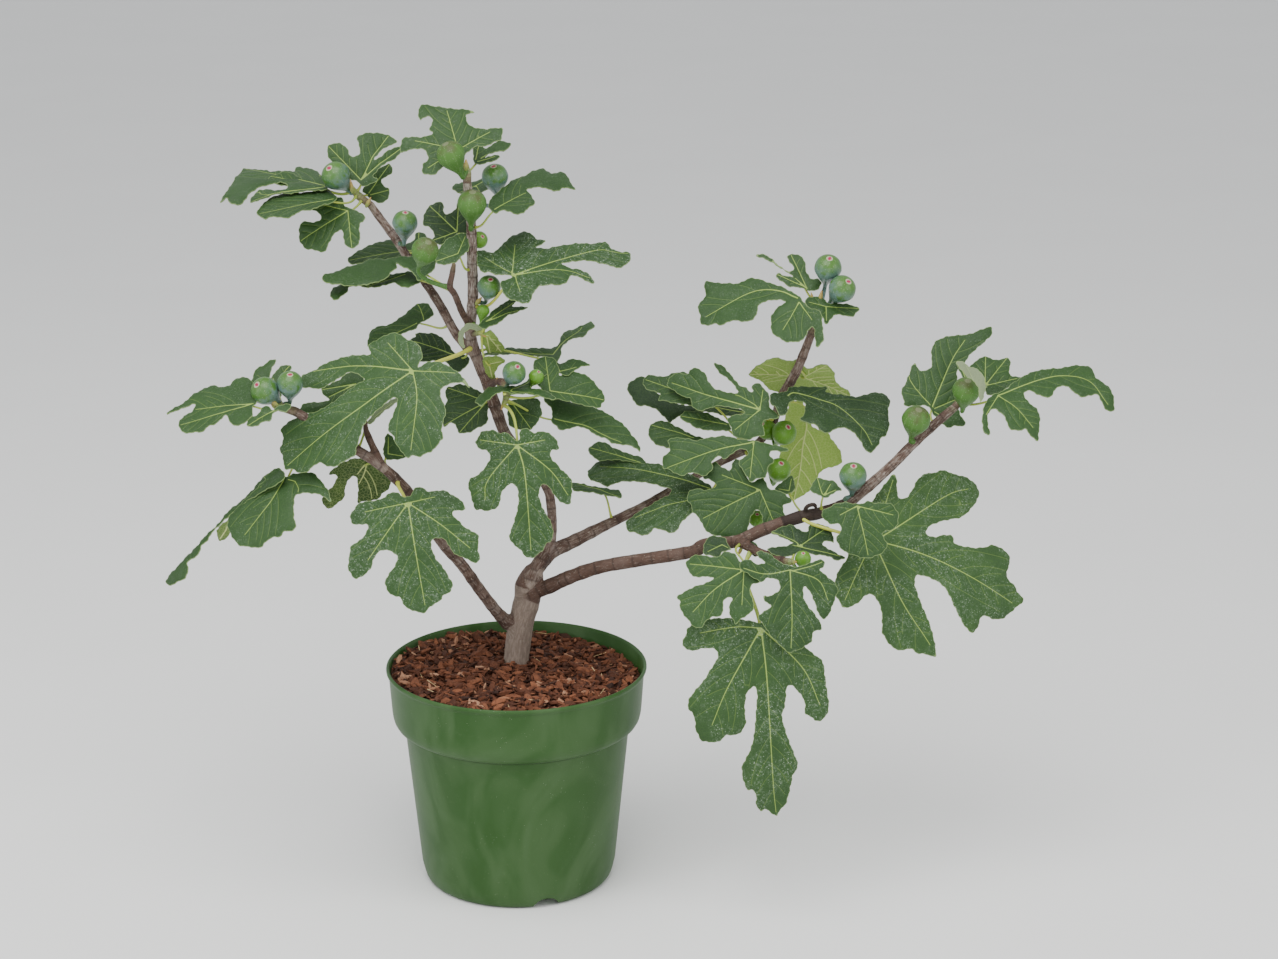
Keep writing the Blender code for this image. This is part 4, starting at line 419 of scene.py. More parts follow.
leaf("leaf_22_lobe", (272, 476), -0.078, (-60, 50), root=(318, 426), twig="low_left",
     node="leaf_22", bare=True,
     sag=0.004, edge=[
    280, 470, 265, 476, 250, 493, 228, 513, 205, 538, 183, 561, 167, 580, 170, 586, 177, 583, 184, 580,
    188, 572, 188, 564, 192, 559, 198, 556, 202, 546, 209, 540, 213, 532, 225, 520, 250, 500, 284, 480])
leaf("leaf_23", (368, 460), -0.048, (180, 22), root=(380, 466), twig="low_left", edge=[
    358, 458, 345, 462, 335, 468, 328, 475, 335, 474, 337, 478, 333, 486, 328, 491, 322, 500, 324, 506,
    331, 509, 337, 503, 342, 500, 345, 494, 345, 488, 348, 481, 353, 476, 357, 479, 358, 485, 358, 495,
    357, 503, 362, 502, 372, 500, 378, 499, 382, 494, 388, 489, 391, 482, 385, 474, 375, 466])
leaf("leaf_24", (388, 454), -0.040, (10, 35), root=(386, 470), twig="low_left", edge=[
    383, 452, 384, 445, 385, 438, 388, 433, 393, 438, 397, 445, 405, 453, 407, 457, 400, 459, 392, 460,
    385, 459])
leaf("leaf_25", (408, 503), -0.112, (0, 25), root=(397, 480), twig="low_left", sag=0.012, edge=[
    404, 497, 398, 493, 393, 492, 387, 495, 381, 499, 372, 501, 362, 502, 357, 505, 351, 514, 350, 518,
    353, 524, 360, 525, 366, 524, 368, 527, 366, 533, 360, 540, 352, 545, 350, 550, 349, 558, 348, 568,
    352, 576, 356, 579, 361, 577, 368, 572, 372, 566, 374, 558, 379, 552, 384, 550, 392, 552, 397, 556,
    397, 561, 394, 567, 388, 575, 385, 582, 387, 590, 393, 596, 400, 597, 402, 602, 408, 609, 415, 611,
    420, 613, 426, 612, 430, 607, 440, 601, 443, 596, 450, 592, 453, 585, 449, 577, 443, 567, 437, 560,
    433, 552, 431, 543, 434, 539, 440, 538, 446, 541, 452, 551, 458, 556, 463, 557, 470, 561, 477, 563,
    480, 558, 478, 548, 479, 538, 476, 533, 466, 528, 458, 520, 452, 514, 455, 511, 465, 510, 465, 507,
    461, 500, 454, 496, 448, 492, 442, 490, 435, 491, 427, 491, 423, 488, 417, 487, 413, 491, 410, 496])
leaf("leaf_26", (517, 445), -0.075, (0, 20), root=(502, 404), twig="spray_middle", node="leaf_26",
     sag=0.012, edge=[
    515, 440, 508, 433, 500, 433, 493, 430, 484, 431, 480, 433, 477, 440, 475, 443, 480, 449, 487, 451,
    490, 455, 489, 461, 485, 467, 479, 474, 470, 479, 468, 485, 470, 492, 472, 500, 475, 509, 482, 510,
    486, 511, 495, 509, 500, 503, 501, 495, 505, 488, 511, 484, 515, 485, 518, 492, 518, 505, 515, 518,
    511, 530, 509, 536, 512, 543, 518, 548, 522, 552, 526, 557, 532, 558, 537, 555, 543, 550, 547, 543,
    552, 540, 553, 530, 550, 520, 545, 512, 541, 503, 539, 495, 540, 488, 544, 484, 548, 486, 553, 493,
    558, 500, 563, 503, 568, 505, 571, 501, 572, 490, 572, 482, 569, 476, 562, 470, 557, 464, 552, 459,
    550, 454, 553, 450, 559, 449, 557, 441, 552, 435, 546, 432, 541, 431, 535, 433, 531, 431, 525, 428,
    520, 431, 519, 440])
leaf("leaf_27", (487, 402), 0.040, (-5, 45), root=(492, 400), twig="upright", edge=[
    447, 388, 453, 386, 460, 384, 470, 387, 482, 393, 490, 400, 488, 410, 487, 423, 478, 428, 470, 432,
    460, 433, 457, 430, 455, 424, 450, 423, 444, 427, 442, 418, 444, 408, 447, 400, 445, 393])
leaf("leaf_28", (512, 403), -0.018, (0, 40), root=(505, 402), twig="spray_middle", edge=[
    508, 404, 508, 420, 511, 427, 518, 429, 527, 430, 533, 428, 538, 421, 542, 414, 541, 408, 540, 402,
    535, 398, 522, 399, 513, 400])
leaf("leaf_29", (500, 394), -0.062, (0, 80), root=(506, 392), twig="spray_middle",
     sag=0.003, edge=[
    475, 403, 476, 400, 483, 392, 490, 388, 500, 386, 510, 387, 519, 386, 527, 381, 535, 376, 545, 372,
    550, 373, 540, 379, 530, 387, 545, 391, 552, 395, 556, 399, 550, 400, 540, 396, 528, 395, 515, 393,
    505, 392, 498, 394, 490, 399, 482, 406])
leaf("leaf_30", (550, 391), -0.022, (10, 35), root=(507, 396), twig="spray_middle", edge=[
    533, 365, 537, 359, 545, 357, 553, 358, 557, 363, 559, 370, 560, 376, 567, 373, 575, 372, 583, 374,
    591, 379, 598, 387, 603, 393, 605, 399, 602, 404, 600, 408, 590, 407, 575, 403, 560, 400, 548, 396,
    540, 388, 535, 378])
leaf("leaf_30_curl", (560, 372), "leaf_30", (0, 66), node="spray_middle", sag=0.003, bare=True, edge=[
    553, 358, 560, 364, 567, 361, 575, 360, 585, 362, 590, 365, 578, 368, 566, 376, 556, 370])
leaf("leaf_31", (551, 418), -0.012, (20, 50), root=(505, 400), twig="spray_middle", sag=0.006, edge=[
    552, 410, 543, 398, 556, 398, 570, 402, 580, 404, 595, 408, 610, 416, 622, 424, 630, 433, 638, 443,
    640, 452, 632, 446, 624, 445, 613, 444, 605, 438, 597, 436, 590, 431, 583, 427, 575, 427, 567, 430,
    560, 430, 555, 425, 551, 421])
leaf("leaf_32", (553, 355), 0.028, (0, 78), root=(475, 352), twig="upright", sag=0.003, edge=[
    482, 355, 487, 353, 500, 350, 515, 348, 530, 349, 550, 348, 558, 345, 562, 335, 567, 332, 575, 329,
    585, 325, 591, 322, 595, 326, 590, 330, 586, 334, 582, 338, 574, 338, 568, 341, 562, 348, 560, 358,
    553, 366, 545, 357, 520, 355, 505, 354, 490, 356])
leaf("leaf_33", (486, 333), -0.018, (180, 40), root=(482, 334), twig="spray_upright",
     edge=[490, 331, 495, 335, 500, 342, 505, 350, 498, 352, 488, 353, 484, 345, 480, 338])
leaf("leaf_34", (486, 322), -0.020, (10, 65), root=(482, 334), twig="spray_upright",
     sag=0.003, edge=[
    478, 326, 484, 320, 487, 317, 492, 312, 500, 306, 508, 301, 517, 301, 512, 306, 528, 308, 520, 311,
    507, 316, 500, 322, 492, 326, 484, 329])
leaf("leaf_36", (489, 364), -0.014, (180, 40), root=(482, 334), twig="spray_upright", edge=[
    484, 358, 495, 356, 505, 360, 500, 365, 495, 372, 496, 378, 490, 378, 484, 368])
leaf("leaf_38", (600, 490), 0.058, (0, 78), root=(612, 522), twig="middle_right", sag=0.003, edge=[
    572, 483, 590, 486, 600, 488, 618, 490, 622, 496, 618, 498, 598, 494, 580, 491, 573, 491])
leaf("leaf_39", (710, 489), 0.030, (-15, 60), root=(716, 466), twig="middle_right", sag=0.008, edge=[
    588, 472, 592, 467, 600, 461, 610, 457, 620, 456, 632, 459, 645, 463, 660, 465, 680, 470, 700, 480,
    712, 489, 700, 505, 692, 513, 684, 520, 680, 526, 676, 532, 670, 533, 662, 530, 655, 529, 650, 533,
    643, 536, 635, 533, 628, 531, 626, 523, 635, 515, 648, 507, 660, 500, 668, 496, 672, 490, 668, 488,
    660, 486, 650, 484, 640, 482, 622, 482, 612, 485, 605, 486, 597, 482, 590, 480])
leaf("leaf_39_behind", (640, 463), "leaf_39", (0, 60), node="leaf_39", bare=True, edge=[
    588, 451, 592, 445, 598, 442, 605, 443, 612, 447, 625, 453, 640, 457, 646, 463, 640, 464, 620, 460,
    600, 461, 592, 456])
leaf("leaf_40", (803, 299), 0.026, (-20, 45), root=(819, 310), twig="tip_middle_right", sag=0.009, edge=[
    800, 297, 790, 291, 780, 286, 770, 283, 760, 280, 752, 278, 745, 280, 737, 284, 720, 283, 707, 282,
    704, 287, 706, 293, 703, 300, 698, 306, 700, 315, 701, 324, 708, 326, 715, 324, 722, 325, 732, 321,
    745, 322, 752, 320, 757, 315, 758, 308, 762, 303, 770, 301, 780, 300, 786, 302, 780, 306, 774, 312,
    771, 318, 772, 333, 778, 337, 783, 341, 790, 342, 802, 341, 806, 335, 810, 328, 814, 328,
    816, 346, 820, 345, 824, 339, 823, 328, 822, 318, 820, 311, 812, 309, 805, 304])
leaf("leaf_41", (807, 289), 0.052, (0, 40), root=(820, 304), twig="tip_middle_right", edge=[
    800, 288, 788, 286, 784, 283, 776, 277, 778, 273, 785, 276, 793, 277, 780, 268, 770, 262, 762, 258,
    756, 256, 758, 254, 765, 255, 770, 258, 778, 265, 785, 270, 789, 272, 793, 271, 793, 266, 789, 261,
    787, 256, 795, 254, 801, 257, 805, 262, 806, 270, 809, 276, 811, 279, 817, 279, 822, 283, 820, 286,
    817, 290, 810, 291])
leaf("leaf_42", (826, 307), 0.030, (10, 55), root=(820, 305), twig="tip_middle_right", edge=[
    805, 303, 808, 298, 815, 297, 822, 297, 828, 304, 835, 303, 845, 304, 855, 307, 860, 310, 856, 313,
    852, 317, 845, 316, 835, 315, 832, 318, 826, 324, 822, 316, 817, 311, 810, 309])
leaf("leaf_43", (803, 377), 0.100, (180, 45), root=(796, 372), twig="middle_right", edge=[
    749, 374, 757, 366, 768, 360, 777, 358, 787, 361, 798, 360, 806, 368, 815, 367, 822, 364, 828, 366,
    834, 372, 836, 382, 843, 388, 851, 395, 835, 398, 800, 398, 785, 393, 775, 392, 765, 386, 762, 381,
    755, 378])
leaf("leaf_44", (788, 396), 0.040, (10, 60), root=(783, 395), twig="middle_right", sag=0.008, edge=[
    771, 394, 780, 393, 787, 392, 788, 388, 800, 387, 815, 387, 828, 388, 826, 392, 840, 395, 853, 397,
    865, 395, 875, 393, 883, 394, 889, 398, 890, 403, 888, 412, 889, 420, 889, 428, 886, 435, 881, 438,
    879, 444, 875, 449, 870, 453, 865, 450, 860, 441, 856, 435, 850, 430, 840, 428, 833, 431, 825, 433,
    820, 430, 815, 425, 808, 423, 800, 420, 804, 414, 805, 406, 803, 402, 795, 401, 789, 403, 788, 410,
    785, 415, 780, 416, 775, 408, 770, 403])
leaf("leaf_45", (806, 405), 0.105, (180, 12), root=(780, 402), twig="middle_right", edge=[
    790, 402, 797, 401, 803, 403, 810, 423, 818, 430, 828, 433, 832, 440, 838, 447, 841, 453, 842, 461,
    838, 466, 828, 468, 821, 471, 818, 477, 815, 483, 811, 489, 806, 494, 800, 497, 794, 500, 788, 495,
    785, 490, 780, 470, 780, 450, 783, 425, 787, 412])
leaf("leaf_46", (760, 410), 0.034, (-10, 35), root=(775, 420), twig="middle_right", sag=0.009, edge=[
    667, 384, 672, 376, 679, 373, 688, 374, 690, 370, 695, 368, 702, 371, 706, 375, 708, 380, 712, 386,
    718, 390, 738, 393, 730, 381, 722, 375, 717, 370, 714, 364, 718, 364, 724, 367,
    730, 374, 736, 381, 740, 386, 745, 387, 750, 392, 753, 391, 752, 386, 757, 383, 762, 386, 767, 392,
    770, 397, 769, 402, 770, 407, 776, 413, 780, 417, 775, 419, 765, 420, 763, 424, 764, 430, 765, 436,
    760, 436, 754, 438, 748, 440, 740, 438, 733, 436, 732, 430, 728, 422, 728, 418, 735, 415, 743, 414,
    745, 412, 740, 409, 730, 408, 720, 406, 712, 407, 705, 410, 698, 411, 693, 407, 691, 402, 690, 398,
    683, 397, 676, 392, 670, 388])
leaf("leaf_47", (744, 413), 0.108, (0, 50), root=(763, 438), twig="middle_right", sag=0.005, edge=[
    628, 385, 634, 380, 645, 377, 650, 388, 660, 395, 672, 402, 690, 406, 720, 405, 745, 412, 730, 416,
    705, 412, 690, 414, 678, 417, 670, 423, 666, 419, 655, 409, 645, 406, 637, 406, 632, 398, 628, 392])
leaf("leaf_48", (718, 406), 0.066, (0, 50), root=(742, 439), twig="spray_right", sag=0.005, edge=[
    643, 384, 646, 376, 655, 376, 663, 377, 675, 373, 688, 374, 700, 390, 720, 405, 705, 408, 690, 406,
    664, 401, 658, 400, 660, 393, 648, 390])
leaf("leaf_49", (704, 440), 0.070, (0, 55), root=(742, 439), twig="spray_right", sag=0.005, edge=[
    648, 433, 652, 424, 662, 421, 672, 424, 690, 434, 705, 440, 690, 442, 678, 442, 670, 448, 660, 446,
    653, 442])
leaf("leaf_50", (754, 442), 0.016, (-5, 40), root=(757, 444), twig="middle_right", sag=0.008, edge=[
    668, 441, 672, 438, 680, 438, 688, 439, 697, 441, 705, 438, 715, 437, 725, 436, 735, 438, 745, 440,
    754, 441, 765, 443, 778, 446, 785, 448, 789, 451, 785, 452, 775, 451, 770, 452, 770, 456, 774, 460,
    772, 464, 768, 467, 767, 472, 766, 477, 760, 478, 755, 480, 750, 482, 747, 477, 743, 471, 739, 464,
    740, 460, 745, 457, 748, 453, 744, 449, 738, 450, 732, 454, 725, 459, 718, 456, 712, 462, 713, 468,
    708, 474, 702, 476, 695, 473, 688, 474, 682, 476, 675, 473, 668, 469, 664, 469, 662, 462, 664, 456,
    670, 451, 669, 446])
leaf("leaf_51", (727, 425), 0.060, (0, 55), root=(742, 439), twig="spray_right", sag=0.004, edge=[
    680, 418, 685, 412, 695, 411, 705, 413, 715, 417, 728, 424, 731, 430, 720, 431, 705, 430, 695, 428,
    688, 423])
leaf("leaf_52", (760, 490), -0.006, (-5, 30), root=(744, 450), twig="middle_right", sag=0.009, edge=[
    750, 482, 745, 472, 741, 462, 736, 459, 733, 462, 730, 470, 722, 467, 714, 462, 706, 472, 703, 478,
    710, 480, 716, 484, 713, 488, 706, 490, 697, 489, 690, 491, 687, 497, 687, 500, 691, 505, 692, 511,
    695, 514, 700, 520, 704, 528, 710, 534, 718, 536, 727, 538, 735, 540, 743, 537, 747, 533, 749, 524,
    751, 517, 755, 511, 758, 510, 762, 515, 762, 521, 766, 526, 773, 531, 780, 530, 784, 525, 786, 520,
    784, 512, 783, 505, 788, 504, 792, 500, 787, 496, 780, 491, 770, 489, 766, 483, 763, 478, 757, 480])
leaf("leaf_53", (789, 491), 0.030, (0, 40), root=(803, 516), twig="low_right", edge=[
    775, 490, 779, 484, 785, 480, 791, 475, 795, 484, 793, 492, 785, 494])
leaf("leaf_54", (857, 506), -0.092, (0, 25), root=(832, 508), twig="low_right", edge=[
    850, 503, 845, 502, 835, 504, 828, 508, 822, 511, 822, 516, 825, 520, 830, 524, 837, 524, 841, 526,
    841, 530, 838, 535, 836, 540, 839, 545, 842, 550, 850, 554, 857, 556, 862, 558, 870, 558, 876, 556,
    882, 553, 886, 549, 887, 544, 884, 538, 882, 534, 886, 531, 892, 530, 897, 526, 898, 520, 899, 515,
    896, 510, 893, 505, 886, 503, 875, 503, 868, 501, 860, 504])
leaf("leaf_55", (873, 540), -0.056, (10, 30), root=(808, 515), twig="low_right", sag=0.012, edge=[
    873, 500, 880, 490, 888, 480, 894, 474, 897, 482, 897, 490, 899, 498, 902, 499, 907, 497, 912, 490,
    916, 482, 920, 477, 928, 473, 935, 473, 940, 470, 948, 472, 956, 475, 963, 476, 972, 481, 978, 488,
    979, 495, 976, 502, 970, 510, 962, 517, 953, 519, 940, 522, 930, 526, 926, 531, 928, 536, 935, 537,
    943, 535, 950, 535, 953, 538, 955, 544, 962, 546, 975, 548, 985, 547, 993, 545, 1000, 548, 1007, 553,
    1010, 560, 1008, 568, 1007, 578, 1014, 585, 1019, 594, 1024, 600, 1018, 606, 1010, 613, 1002, 619,
    993, 619, 985, 616, 981, 617, 978, 626, 973, 633, 967, 629, 961, 620, 956, 610, 950, 597, 943, 586,
    936, 581, 927, 577, 919, 575, 915, 578, 915, 586, 919, 598, 924, 610, 930, 625, 934, 640, 936, 656,
    930, 656, 925, 654, 918, 654, 913, 650, 907, 649, 901, 651, 896, 649, 890, 645, 885, 638, 882, 632,
    882, 622, 881, 610, 878, 602, 875, 597, 870, 594, 865, 596, 858, 603, 850, 607, 843, 608, 840, 602,
    836, 597, 834, 588, 836, 577, 840, 568, 846, 560, 852, 545, 862, 520])
leaf("leaf_56", (761, 628), -0.146, (0, 15), root=(752, 549), twig="low_right_spur", sag=0.012, edge=[
    757, 622, 730, 618, 700, 620, 688, 628, 686, 634, 682, 644, 687, 649, 692, 651, 700, 649, 710, 648,
    716, 650, 718, 654, 716, 661, 710, 670, 704, 680, 697, 688, 690, 697, 688, 702, 688, 708, 692, 713,
    695, 720, 695, 727, 698, 735, 702, 741, 710, 742, 718, 742, 723, 738, 727, 735, 735, 735, 740, 733,
    745, 726, 746, 720, 745, 713, 745, 705, 746, 697, 748, 691, 753, 687, 756, 688, 757, 695, 756, 710,
    755, 725, 753, 740, 750, 750, 745, 760, 742, 766, 742, 774, 744, 783, 748, 790, 753, 790, 756, 795,
    756, 804, 760, 811, 765, 809, 770, 812, 777, 816, 779, 811, 785, 805, 788, 797, 791, 785, 793, 775,
    798, 766, 796, 758, 792, 748, 787, 735, 784, 725, 782, 716, 785, 705, 786, 695, 787, 687, 790, 685,
    795, 688, 800, 694, 804, 700, 805, 708, 805, 714, 812, 717, 815, 721, 822, 720, 827, 714, 829, 705,
    827, 690, 825, 675, 823, 662, 818, 657, 810, 651, 800, 642, 785, 632, 766, 624])
leaf("leaf_57", (744, 570), -0.138, (-10, 30), root=(742, 544), twig="low_right_spur", edge=[
    745, 566, 739, 560, 735, 554, 728, 552, 722, 553, 718, 557, 707, 556, 697, 555, 690, 558, 686, 563,
    687, 568, 691, 574, 694, 577, 711, 577, 713, 579, 708, 582, 700, 585, 694, 587, 688, 590, 679, 595,
    677, 598, 680, 602, 680, 608, 683, 614, 688, 620, 694, 627, 699, 628, 703, 626, 706, 621, 712, 617,
    718, 617, 723, 613, 723, 605, 725, 599, 730, 597, 732, 600, 729, 607, 730, 615, 733, 620, 736, 624,
    741, 619, 748, 615, 752, 611, 754, 605, 752, 598, 750, 590, 752, 585, 760, 582, 755, 575])
leaf("leaf_58", (790, 570), -0.146, (5, 20), root=(773, 557), twig="low_right_spur", edge=[
    782, 563, 775, 558, 768, 553, 760, 551, 756, 553, 760, 558, 765, 563, 757, 564, 752, 561, 747, 559,
    742, 561, 739, 566, 742, 570, 748, 574, 752, 577, 757, 580, 762, 582, 768, 578, 777, 580, 780, 585,
    779, 590, 774, 594, 768, 596, 764, 596, 764, 601, 771, 605, 768, 609, 763, 612, 758, 617, 765, 627,
    770, 635, 778, 643, 785, 650, 791, 653, 796, 650, 802, 649, 806, 645, 812, 642, 812, 636, 815, 631,
    822, 629, 820, 622, 814, 613, 808, 606, 804, 598, 803, 589, 806, 587, 811, 594, 815, 604, 819, 615,
    825, 619, 830, 612, 834, 602, 836, 596, 838, 590, 835, 583, 828, 577, 820, 570, 823, 567, 825, 563,
    823, 560, 817, 560, 810, 563, 803, 565, 797, 567])
leaf("leaf_59", (722, 545), -0.072, (-5, 45), root=(722, 543), twig="low_right", edge=[
    706, 540, 712, 536, 720, 537, 726, 539, 728, 545, 731, 550, 722, 552, 720, 557, 712, 556, 703, 553])
leaf("leaf_60", (799, 547), -0.086, (5, 50), root=(791, 562), twig="spray_low", edge=[
    793, 543, 785, 539, 778, 536, 771, 533, 780, 528, 790, 525, 797, 528, 803, 532, 808, 531, 809, 526,
    815, 524, 826, 526, 831, 530, 833, 537, 834, 543, 828, 541, 823, 543, 823, 546, 828, 549, 836, 553,
    845, 558, 842, 560, 835, 560, 828, 556, 815, 555, 808, 553, 800, 552, 792, 556, 780, 557, 770, 553,
    767, 550, 775, 547, 785, 546])
leaf("leaf_61", (822, 500), -0.066, (0, 35), root=(822, 512), twig="low_right", edge=[
    817, 495, 810, 490, 811, 486, 815, 480, 817, 477, 822, 479, 828, 480, 835, 482, 839, 487, 842, 491,
    838, 491, 832, 494, 827, 498])
leaf("leaf_62", (931, 410), 0.014, (0, 30), root=(936, 424), twig="low_right", sag=0.008, edge=[
    926, 406, 905, 406, 904, 400, 901, 392, 905, 384, 909, 374, 912, 366, 915, 363, 918, 369, 924, 371,
    929, 369, 932, 364, 931, 355, 932, 348, 935, 342, 942, 338, 950, 336, 960, 335, 970, 334, 980, 330,
    988, 327, 992, 328, 992, 334, 987, 340, 980, 346, 972, 353, 967, 359, 963, 366, 957, 372, 958, 390,
    956, 400, 960, 414, 966, 425, 955, 426, 948, 428, 943, 425, 938, 420, 933, 414])
leaf("leaf_63", (998, 396), -0.034, (10, 55), root=(962, 400), twig="tip_low_right", sag=0.007, edge=[
    992, 396, 986, 402, 983, 410, 982, 420, 983, 430, 985, 434, 988, 436, 990, 433, 988, 424, 988, 415,
    991, 410, 996, 409, 1001, 413, 1005, 418, 1008, 427, 1012, 430, 1020, 431, 1025, 429, 1030, 435,
    1038, 441, 1039, 430, 1040, 420, 1038, 411, 1032, 405, 1026, 400, 1024, 395, 1025, 392, 1030, 391,
    1037, 394, 1045, 397, 1052, 397, 1054, 391, 1062, 386, 1070, 389, 1077, 395, 1083, 398, 1090, 396,
    1097, 394, 1101, 400, 1104, 408, 1109, 412, 1114, 410, 1114, 402, 1112, 393, 1108, 386, 1103, 383,
    1096, 378, 1093, 371, 1090, 367, 1075, 366, 1060, 368, 1045, 370, 1035, 371, 1022, 377, 1012, 384,
    1005, 390])
leaf("leaf_64", (985, 386), 0.024, (0, 50), root=(966, 397), twig="tip_low_right", sag=0.006, edge=[
    970, 367, 977, 361, 983, 357, 990, 358, 998, 360, 1006, 358, 1011, 363, 1009, 370, 1012, 376,
    1022, 378, 1010, 386, 1000, 393, 988, 395, 983, 388, 975, 380])
leaf("leaf_65", (966, 383), 0.006, (-20, 50), root=(970, 394), twig="tip_low_right", sag=0.003, edge=[
    956, 364, 960, 362, 965, 366, 975, 370, 982, 374, 985, 383, 987, 388, 976, 389, 966, 388, 963, 380,
    960, 372])

# Figs: centre and width in pixels, depth of the centre, eye (where it is turned to) and the twig point
figs = {
    "fig_01": ((336, 176), 28, 0.046, (330, 169), (353, 191), "tip_upright_left"),
    "fig_02": ((405, 223), 25, 0.040, (406, 213), (399, 244), "upright_left"),
    "fig_03": ((425, 251), 26, -0.064, (429, 243), (449, 287), "upright_stub"),
    "fig_04": ((451, 155), 27, -0.034, (446, 145), (466, 171), "tip_upright"),
    "fig_05": ((472, 204), 28, -0.030, (473, 193), (471, 226), "upright"),
    "fig_06": ((495, 177), 26, 0.036, (494, 167), (471, 206), "upright"),
    "fig_07": ((479, 240), 17, 0.016, (483, 237), (472, 250), "upright"),
    "fig_08": ((489, 287), 23, -0.012, (491, 280), (474, 300), "upright"),
    "fig_09": ((514, 373), 23, -0.052, (518, 367), (506, 389), "spray_middle"),
    "fig_10": ((536, 377), 15, -0.040, (539, 372), (506, 393), "spray_middle"),
    "fig_11": ((265, 391), 27, -0.088, (258, 385), (278, 407), "tip_low_left"),
    "fig_12": ((290, 384), 25, -0.086, (291, 375), (284, 408), "tip_low_left"),
    "fig_13": ((828, 268), 27, 0.046, (829, 259), (820, 302), "tip_middle_right"),
    "fig_14": ((842, 289), 27, 0.028, (848, 282), (820, 306), "tip_middle_right"),
    "fig_15": ((784, 433), 25, 0.052, (788, 427), (770, 428), "middle_right"),
    "fig_16": ((779, 470), 24, 0.050, (781, 463), (760, 442), "middle_right"),
    "fig_17": ((757, 519), 17, 0.006, (757, 514), (762, 530), "low_right"),
    "fig_18": ((853, 476), 27, -0.058, (853, 466), (846, 503), "low_right"),
    "fig_19": ((916, 420), 28, -0.040, (918, 410), (914, 444), "low_right"),
    "fig_20": ((966, 391), 27, -0.028, (967, 381), (961, 401), "tip_low_right"),
    "fig_21": ((803, 559), 16, -0.100, (803, 553), (792, 562), "spray_low"),
}

# Small things that the model leaves to this script: flaps, strips and curled bits of leaves
leaf("flap_03", (300, 182), 0.072, (0, 70), node="tip_upright_left", bare=True, sag=0.003, edge=[
    268, 179, 275, 175, 290, 173, 303, 179, 313, 180, 321, 175, 312, 188, 298, 188, 285, 186, 272, 183])
leaf("strip_24", (385, 410), -0.036, (0, 60), node="leaf_24", bare=True, sag=0.003, edge=[
    367, 424, 372, 416, 380, 408, 390, 401, 398, 398, 398, 401, 392, 406, 384, 412, 377, 418, 371, 424])
leaf("lobe_22", (226, 530), -0.066, (160, 30), node="leaf_22", bare=True, sag=0.003, edge=[
    217, 530, 219, 541, 224, 540, 228, 536, 231, 532, 230, 526, 232, 518, 226, 521])
leaf("ring_35", (470, 326), -0.006, (0, 20), node="spray_upright", bare=True, sag=0.003, edge=[
    462, 348, 458, 339, 461, 329, 469, 323, 478, 325, 485, 332, 484, 337, 477, 332, 470, 329, 465, 333,
    463, 339, 465, 346])
leaf("bit_59", (752, 546), -0.062, (0, 45), node="leaf_59", bare=True, sag=0.003, edge=[
    745, 545, 750, 541, 757, 545, 761, 551, 757, 557, 750, 553, 746, 550])
leaf("dry_65", (966, 366), -0.046, (20, 20), node="tip_low_right", bare=True, sag=0.003, edge=[
    956, 363, 962, 361, 967, 366, 975, 368, 982, 374, 985, 384, 984, 396, 980, 402, 979, 394, 977, 386,
    972, 380, 966, 376, 961, 370])
figs["fig_08_small"] = ((483, 311), 13, -0.006, (485, 302), (474, 322), "upright")
figs["fig_15_behind"] = ((767, 430), 20, 0.068, (762, 424), (773, 436), "middle_right")
branches["dry_curl"] = [(805, 513, -0.052, 2.4), (806, 508, -0.058, 2.3), (810, 505, -0.060, 2.2),
                        (815, 505, -0.060, 2.1), (816, 509, -0.058, 1.6)]
# Buds on the twigs: foot and tip in the photograph, depth, radius in mm
buds = {
    "tip_upright": [((466, 168), (466, 159), -0.014, 2.6), ((477, 303), (482, 297), 0.000, 2.4)],
    "tip_upright_left": [((367, 205), (371, 197), 0.060, 2.2), ((352, 190), (350, 179), 0.058, 2.4)],
    "spray_middle": [((498, 384), (497, 377), -0.020, 2.4)],
    "tip_middle_right": [((820, 300), (822, 290), 0.040, 2.4), ((813, 301), (811, 292), 0.046, 1.9)],
    "tip_low_left": [((276, 404), (270, 400), -0.092, 2.2)],
    "spray_right": [((741, 549), (738, 556), -0.062, 2.0)],
}


# Pot: radius and height, metres, outside from the foot to the lip and inside back to the floor
pot = {
    "outside": [(0.0945, 0.0), (0.0975, 0.0004), (0.1000, 0.0018), (0.1018, 0.0040), (0.1030, 0.0068),
                (0.1041, 0.0108), (0.1063, 0.0200), (0.1218, 0.1742), (0.1223, 0.1762), (0.1232, 0.1769),
                (0.1250, 0.1773), (0.1282, 0.1787), (0.1313, 0.1812), (0.1335, 0.1850), (0.1347, 0.1898),
                (0.1354, 0.1960), (0.1381, 0.2345), (0.1386, 0.2370), (0.1398, 0.2380), (0.1407, 0.2392),
                (0.1410, 0.2406), (0.1407, 0.2421), (0.1399, 0.2429), (0.1391, 0.2430)],
    "inside": [(0.1382, 0.2426), (0.1374, 0.2412), (0.1366, 0.2400), (0.1328, 0.1990), (0.1296, 0.1880),
               (0.1192, 0.1755), (0.1040, 0.0220), (0.1010, 0.0120)],
    "segments": 160,
    "notchRadius": 0.0155, "notchDrop": 0.0040, "notchAzimuth": 19.0, "notchReach": 0.1035,
    "notchDepth": 0.043,
    "green": (0.036, 0.084, 0.024), "paler": (0.046, 0.095, 0.033), "deeper": (0.023, 0.068, 0.013),
    "dust": (0.20, 0.25, 0.15), "dark": (0.008, 0.022, 0.006), "speck": (0.55, 0.58, 0.48),
    "crease": (0.1742, 0.1774),  # heights of the crease under the band, where the dark colour paints its shade
}
